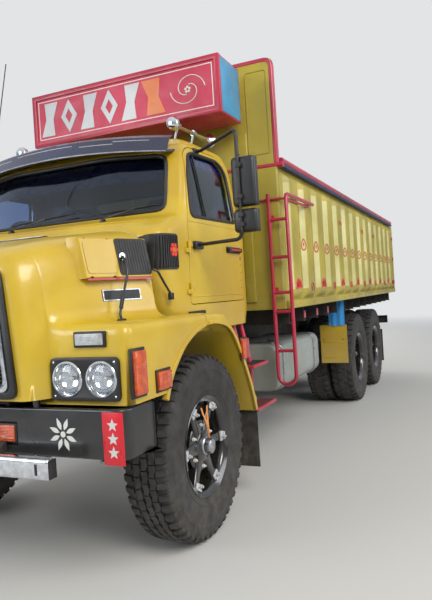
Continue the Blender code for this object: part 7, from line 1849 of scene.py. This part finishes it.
both("wing_flap_rubber", ribbed_flap(0.90, 1.215, 0.7703, 0.0098, 0.25, 0.79), "flap", "root",
    ["front_flap"])
both("wing_flap_strip", block((0.905, 0.7665, 0.735), (1.21, 0.7708, 0.765), 0.001), "alloy")
REAR_FLAP_Y, FLAP_PIPE_Z = 7.10, 0.746
flap = ribbed_flap(0.60, 1.22, REAR_FLAP_Y, 0.0098, 0.28, 0.83)
piece("tail_flap_rubbers", [mirrored(flap), flap], "flap", "root", ["rear_flaps"])
hangers = [block((side * 0.385 - 0.038, REAR_FLAP_Y - 0.017, FLAP_PIPE_Z),
        (side * 0.385 + 0.038, REAR_FLAP_Y + 0.017, 0.7897), 0.002) for side in SIDES]
piece("tail_flap_pipe", [
        rod((-1.21, REAR_FLAP_Y, FLAP_PIPE_Z), (1.21, REAR_FLAP_Y, FLAP_PIPE_Z), 0.0215, 20),
        *hangers], "chassis")
channel = [(8.2003, 0.87), (8.2803, 0.87), (8.2803, 1.01), (8.2003, 1.01), (8.2003, 1.0),
    (8.2703, 1.0), (8.2703, 0.88), (8.2003, 0.88)]
ends = [block((side * 1.147 - 0.003, 8.201, 0.871), (side * 1.147 + 0.003, 8.280, 1.009))
    for side in SIDES]
piece("rear_bar_channel", [outline_solid(channel, "x", -1.15, 1.15), *ends], "chassis", "root",
    ["rear_bar"])
blocks((
    ("rear_lamp_housing", "black", (0.842, 8.277, 0.887), (1.098, 8.318, 0.993), 0.008, 3),
    ("rear_lamp_red", "red_lens", (0.982, 8.310, 0.895), (1.090, 8.3295, 0.985), 0.006, 3),
    ("rear_lamp_amber", "amber", (0.915, 8.310, 0.895), (0.978, 8.3285, 0.985), 0.006, 3),
    ("rear_lamp_clear", "clear_lens", (0.850, 8.310, 0.895), (0.911, 8.3285, 0.985), 0.006, 3),
))
piece("bare_rear_plate", block((-0.26, 8.2805, 0.885), (0.26, 8.2845, 0.995), 0.003), "white")
blocks((
    ("tail_marker_base", "black", (1.217, 0.490, 1.12), (1.226, 0.620, 1.29), 0.003),
    ("tail_marker_amber", "amber", (1.218, 0.498, 1.13), (1.2495, 0.553, 1.28), 0.008, 3),
    ("tail_marker_red", "red_lens", (1.218, 0.556, 1.13), (1.2495, 0.611, 1.28), 0.008, 3),
))

# Engine bay and frame

CYLINDER_YS = (-0.71, -0.58, -0.45)
radiator_parts = [block((-0.405, -0.946, 1.655), (0.405, -0.855, 1.7245), 0.012, 3),
    block((-0.405, -0.946, 1.0915), (0.405, -0.855, 1.15), 0.012, 3),
    rod((0.26, -0.90, 1.72), (0.26, -0.90, 1.742), 0.032, 24)]
radiator_parts += [
    block((side * 0.395 - 0.009, -0.945, 1.14), (side * 0.395 + 0.009, -0.856, 1.66), 0.003)
    for side in SIDES]
piece("radiator_tanks", radiator_parts, "black")
fins = [block((-0.385, -0.9445, 1.158 + 0.0135 * k), (0.385, -0.9385, 1.163 + 0.0135 * k))
    for k in range(37)]
fins += [block((-0.385 + 0.0963 * k - 0.004, -0.9455, 1.15),
        (-0.385 + 0.0963 * k + 0.004, -0.9395, 1.656)) for k in range(9)]
piece("radiator_fins", fins, "alloy")
piece("rocker_covers",
    [block((-0.15, y - 0.052, 1.616), (0.15, y + 0.052, 1.666), 0.014, 3) for y in CYLINDER_YS],
    "engine")
piece("rocker_cover_bolts",
    [rod((x, y, 1.664), (x, y, 1.674), 0.010, 6) for y in CYLINDER_YS for x in (-0.10, 0.10)],
    "alloy")
for name, side, z, finish in (("intake_pipe", 1, 1.52, "alloy"),
        ("exhaust_pipe", -1, 1.46, "chassis")):
    run = bent([(side * 0.345, -0.75, z), (side * 0.345, -0.44, z),
            (side * 0.345, -0.415, z - 0.20), (side * 0.31, -0.415, z - 0.34)], 0.05, 5)
    branches = [rod((side * 0.285, y, z), (side * 0.345, y, z), 0.024, 18) for y in CYLINDER_YS]
    piece(name, [pipe(run, 0.031, 5), *branches], finish)
hose = bent([(0.16, -0.858, 1.69), (0.16, -0.82, 1.69), (0.16, -0.80, 1.60), (0.16, -0.776, 1.57)],
    0.03, 4)
piece("radiator_hose", pipe(hose, 0.024, 5), "flap")
FAN_CENTRE, FAN_PITCH = Vector((0.0, -0.826, 1.405)), 0.5
fan_blades = []
for k in range(8):
    blade = block((0.055, -0.006, -0.045), (0.225, 0.004, 0.045), 0.003, 1)
    turn = Matrix.Rotation(math.tau * k / 8, 4, "Y") @ Matrix.Rotation(FAN_PITCH, 4, "X")
    bmesh.ops.transform(blade, matrix=Matrix.Translation(FAN_CENTRE) @ turn, verts=blade.verts)
    fan_blades.append(blade)
piece("fan_blades", fan_blades, "alloy")
rivet_heads = [(y + dy, z) for y in (-0.96, 3.30, 4.40, 7.60) for dy in (-0.05, 0.05)
    for z in (0.86, 0.94, 1.02)]
rivet_heads += [(y, z)
    for y in (-0.50, -0.20, 0.30, 1.35, 2.20, 2.55, 3.70, 5.20, 6.10, 6.60, 7.00, 8.00)
    for z in (0.85, 1.03)]
both("rail_rivets",
    [rod((RAIL_X - 0.001, y, z), (RAIL_X + 0.006, y, z), 0.011, 8) for y, z in rivet_heads],
    "chassis")


def clip(x_low, x_high, y, z_low, z_high, radius):
    """An upside-down U bolt across a spring."""
    path = [(x_low, y, z_low), (x_low, y, z_high), (x_high, y, z_high), (x_high, y, z_low)]
    return pipe(bent(path, 0.02, 4), radius, 3)


clips = [block((0.325, -0.088, 0.469), (0.435, 0.088, 0.4848), 0.004)]
clips += [clip(0.332, 0.428, y, 0.462, 0.699, 0.0075) for y in (-0.062, 0.062)]
clips += [block((0.3355, y - 0.016, 0.662), (0.4245, y + 0.016, 0.722), 0.003)
    for y in (-0.36, 0.36)]
both("front_spring_clips", clips, "alloy")
BOGIE_MIDDLE = (BOGIE_YS[0] + BOGIE_YS[1]) / 2
leaf_lines = []
for x in (0.4597, 0.5403):
    for share in (0.2, 0.4, 0.6, 0.8):
        for way in SIDES:
            reach = way * (0.76 - 0.42 * (1 - share))
            leaf_lines.append(pipe([(x, BOGIE_MIDDLE + reach, 0.7175 + 0.045 * share),
                    (x, BOGIE_MIDDLE + reach * 0.5, 0.757 + 0.075 * share),
                    (x, BOGIE_MIDDLE, 0.72 + 0.185 * share)], 0.0028, 1))
both("bogie_leaf_lines", leaf_lines, "black")
both("bogie_spring_clips",
    [clip(0.4535, 0.5465, BOGIE_MIDDLE + dy, 0.73, 0.912, 0.008) for dy in (-0.10, 0.10)], "alloy")

# Inside the cab


def pad(centre, size, lean=0.0, channels=0, power=5.5, cuts=17):
    """A stuffed cushion: a puffed box with sewn channels across its broad face."""
    bm = bmesh.new()
    bmesh.ops.create_cube(bm, size=2.0)
    bmesh.ops.subdivide_edges(bm, edges=bm.edges, cuts=cuts, use_grid_fill=True)
    turn = Matrix.Rotation(lean, 3, "X")
    for v in bm.verts:
        a, b, c = v.co
        scale = (abs(a) ** power + abs(b) ** power + abs(c) ** power) ** (-1 / power)
        a, b, c = a * scale, b * scale, c * scale
        crown = 1.0 + 0.05 * (1 - a * a) * (1 - b * b)
        groove = 0.0
        if channels:
            near = abs(math.sin(math.pi * channels * (a + 1) / 2))
            groove = 0.055 * (1 - min(near * 2.6, 1.0)) * (1 - b ** 4)
        local = Vector((a * size[0] / 2, b * size[1] / 2,
                c * size[2] / 2 * (crown / 1.05 - (groove if c > 0.2 else 0.0) * 2.2)))
        v.co = Vector(centre) + turn @ local
    bmesh.ops.recalc_face_normals(bm, faces=bm.faces)
    return bm


seat_bases = []
for number, x in enumerate((0.48, -0.48), 1):
    base = piece(f"seat_cushion_{number}", pad((x, 0.70, 1.79), (0.49, 0.43, 0.136), 0.0, 5),
        "seat", "root", ["seats"] if number == 1 else (), 60)
    back_rest = pad((x, 0.912, 2.175), (0.49, 0.60, 0.13), math.radians(81), 5)
    back = piece(f"seat_back_{number}", back_rest, "seat", "root", (), 60)
    seat_bases += [block((x - 0.20, 0.53, 1.4205), (x + 0.20, 0.93, 1.70), 0.015, 2),
        block((x - 0.235, 0.49, 1.695), (x + 0.235, 0.93, 1.725), 0.008, 2)]
seat_bases.append(block((-0.48, 0.78, 1.4205), (0.48, 0.90, 1.50), 0.004))
piece("seat_boxes", seat_bases, "black")
section = rounded_loop(
    [(CAB_FRONT_Y, 1.85), (0.20, 1.80), (0.30, 2.04), (0.25, 2.14), (CAB_FRONT_Y, 2.14)],
    [0.0, 0.03, 0.03, 0.04, 0.0], 4)
room = cab_skin(CAB_WALL + 0.0006, CAB_BOTTOM_Z + CAB_WALL, CAB_TOP_Z - CAB_WALL)
panel = common(outline_solid(section, "x", -0.9765, 0.9765), room)
piece("dash_panel", panel, "black", "root", ["dashboard"])
DIAL_XS, DIAL_Z = (-0.60, -0.48, -0.36), 2.03
piece("dash_instruments", [
    block((-0.72, 0.19, 2.10), (-0.24, 0.262, 2.155), 0.010, 3),
    *[rod((x, 0.275, DIAL_Z), (x, 0.296, DIAL_Z), 0.040, 24) for x in DIAL_XS],
    block((0.15, 0.275, 1.97), (0.75, 0.293, 2.02), 0.006)], "chassis")
piece("dash_dials", [rod((x, 0.2955, DIAL_Z), (x, 0.2985, DIAL_Z), 0.034, 24) for x in DIAL_XS],
    "white")
HELM_CENTRE, HELM_TILT, HELM_RADIUS, GRIP = Vector(
    (-0.48, 0.34, 2.14)), math.radians(50), 0.23, 0.0158
column_way = Vector((0, math.cos(HELM_TILT), math.sin(HELM_TILT)))
piece("steering_column",
    rod(HELM_CENTRE - column_way * 0.18, HELM_CENTRE - column_way * 0.0165, 0.0295, 20), "chassis")
grip = circle(HELM_RADIUS, 0.0, GRIP, GRIP, 14)
helm = [turned(grip + grip[:1], (0, 0, 0), "z", 64), turned(
        [(0.0, GRIP), (0.030, 0.0155), (0.043, 0.008), (0.045, -0.0155), (0.0, -0.0155)], (0, 0, 0),
        "z", 32)]
for (x, y), (far_x, far_y) in zip(circle(0.0, 0.0, 0.03, 0.03, 3, math.pi / 2),
        circle(0.0, 0.0, 0.226, 0.226, 3, math.pi / 2)):
    helm.append(rod((x, y, 0.0), (far_x, far_y, 0.0), 0.0092, 12))
helm = gathered(*helm)
bmesh.ops.transform(helm,
    matrix=Matrix.Translation(HELM_CENTRE) @ Matrix.Rotation(HELM_TILT - math.pi / 2, 4, "X"),
    verts=helm.verts)
piece("steering_wheel_rim", helm, "black", "steering_wheel", ["steering_wheel"])
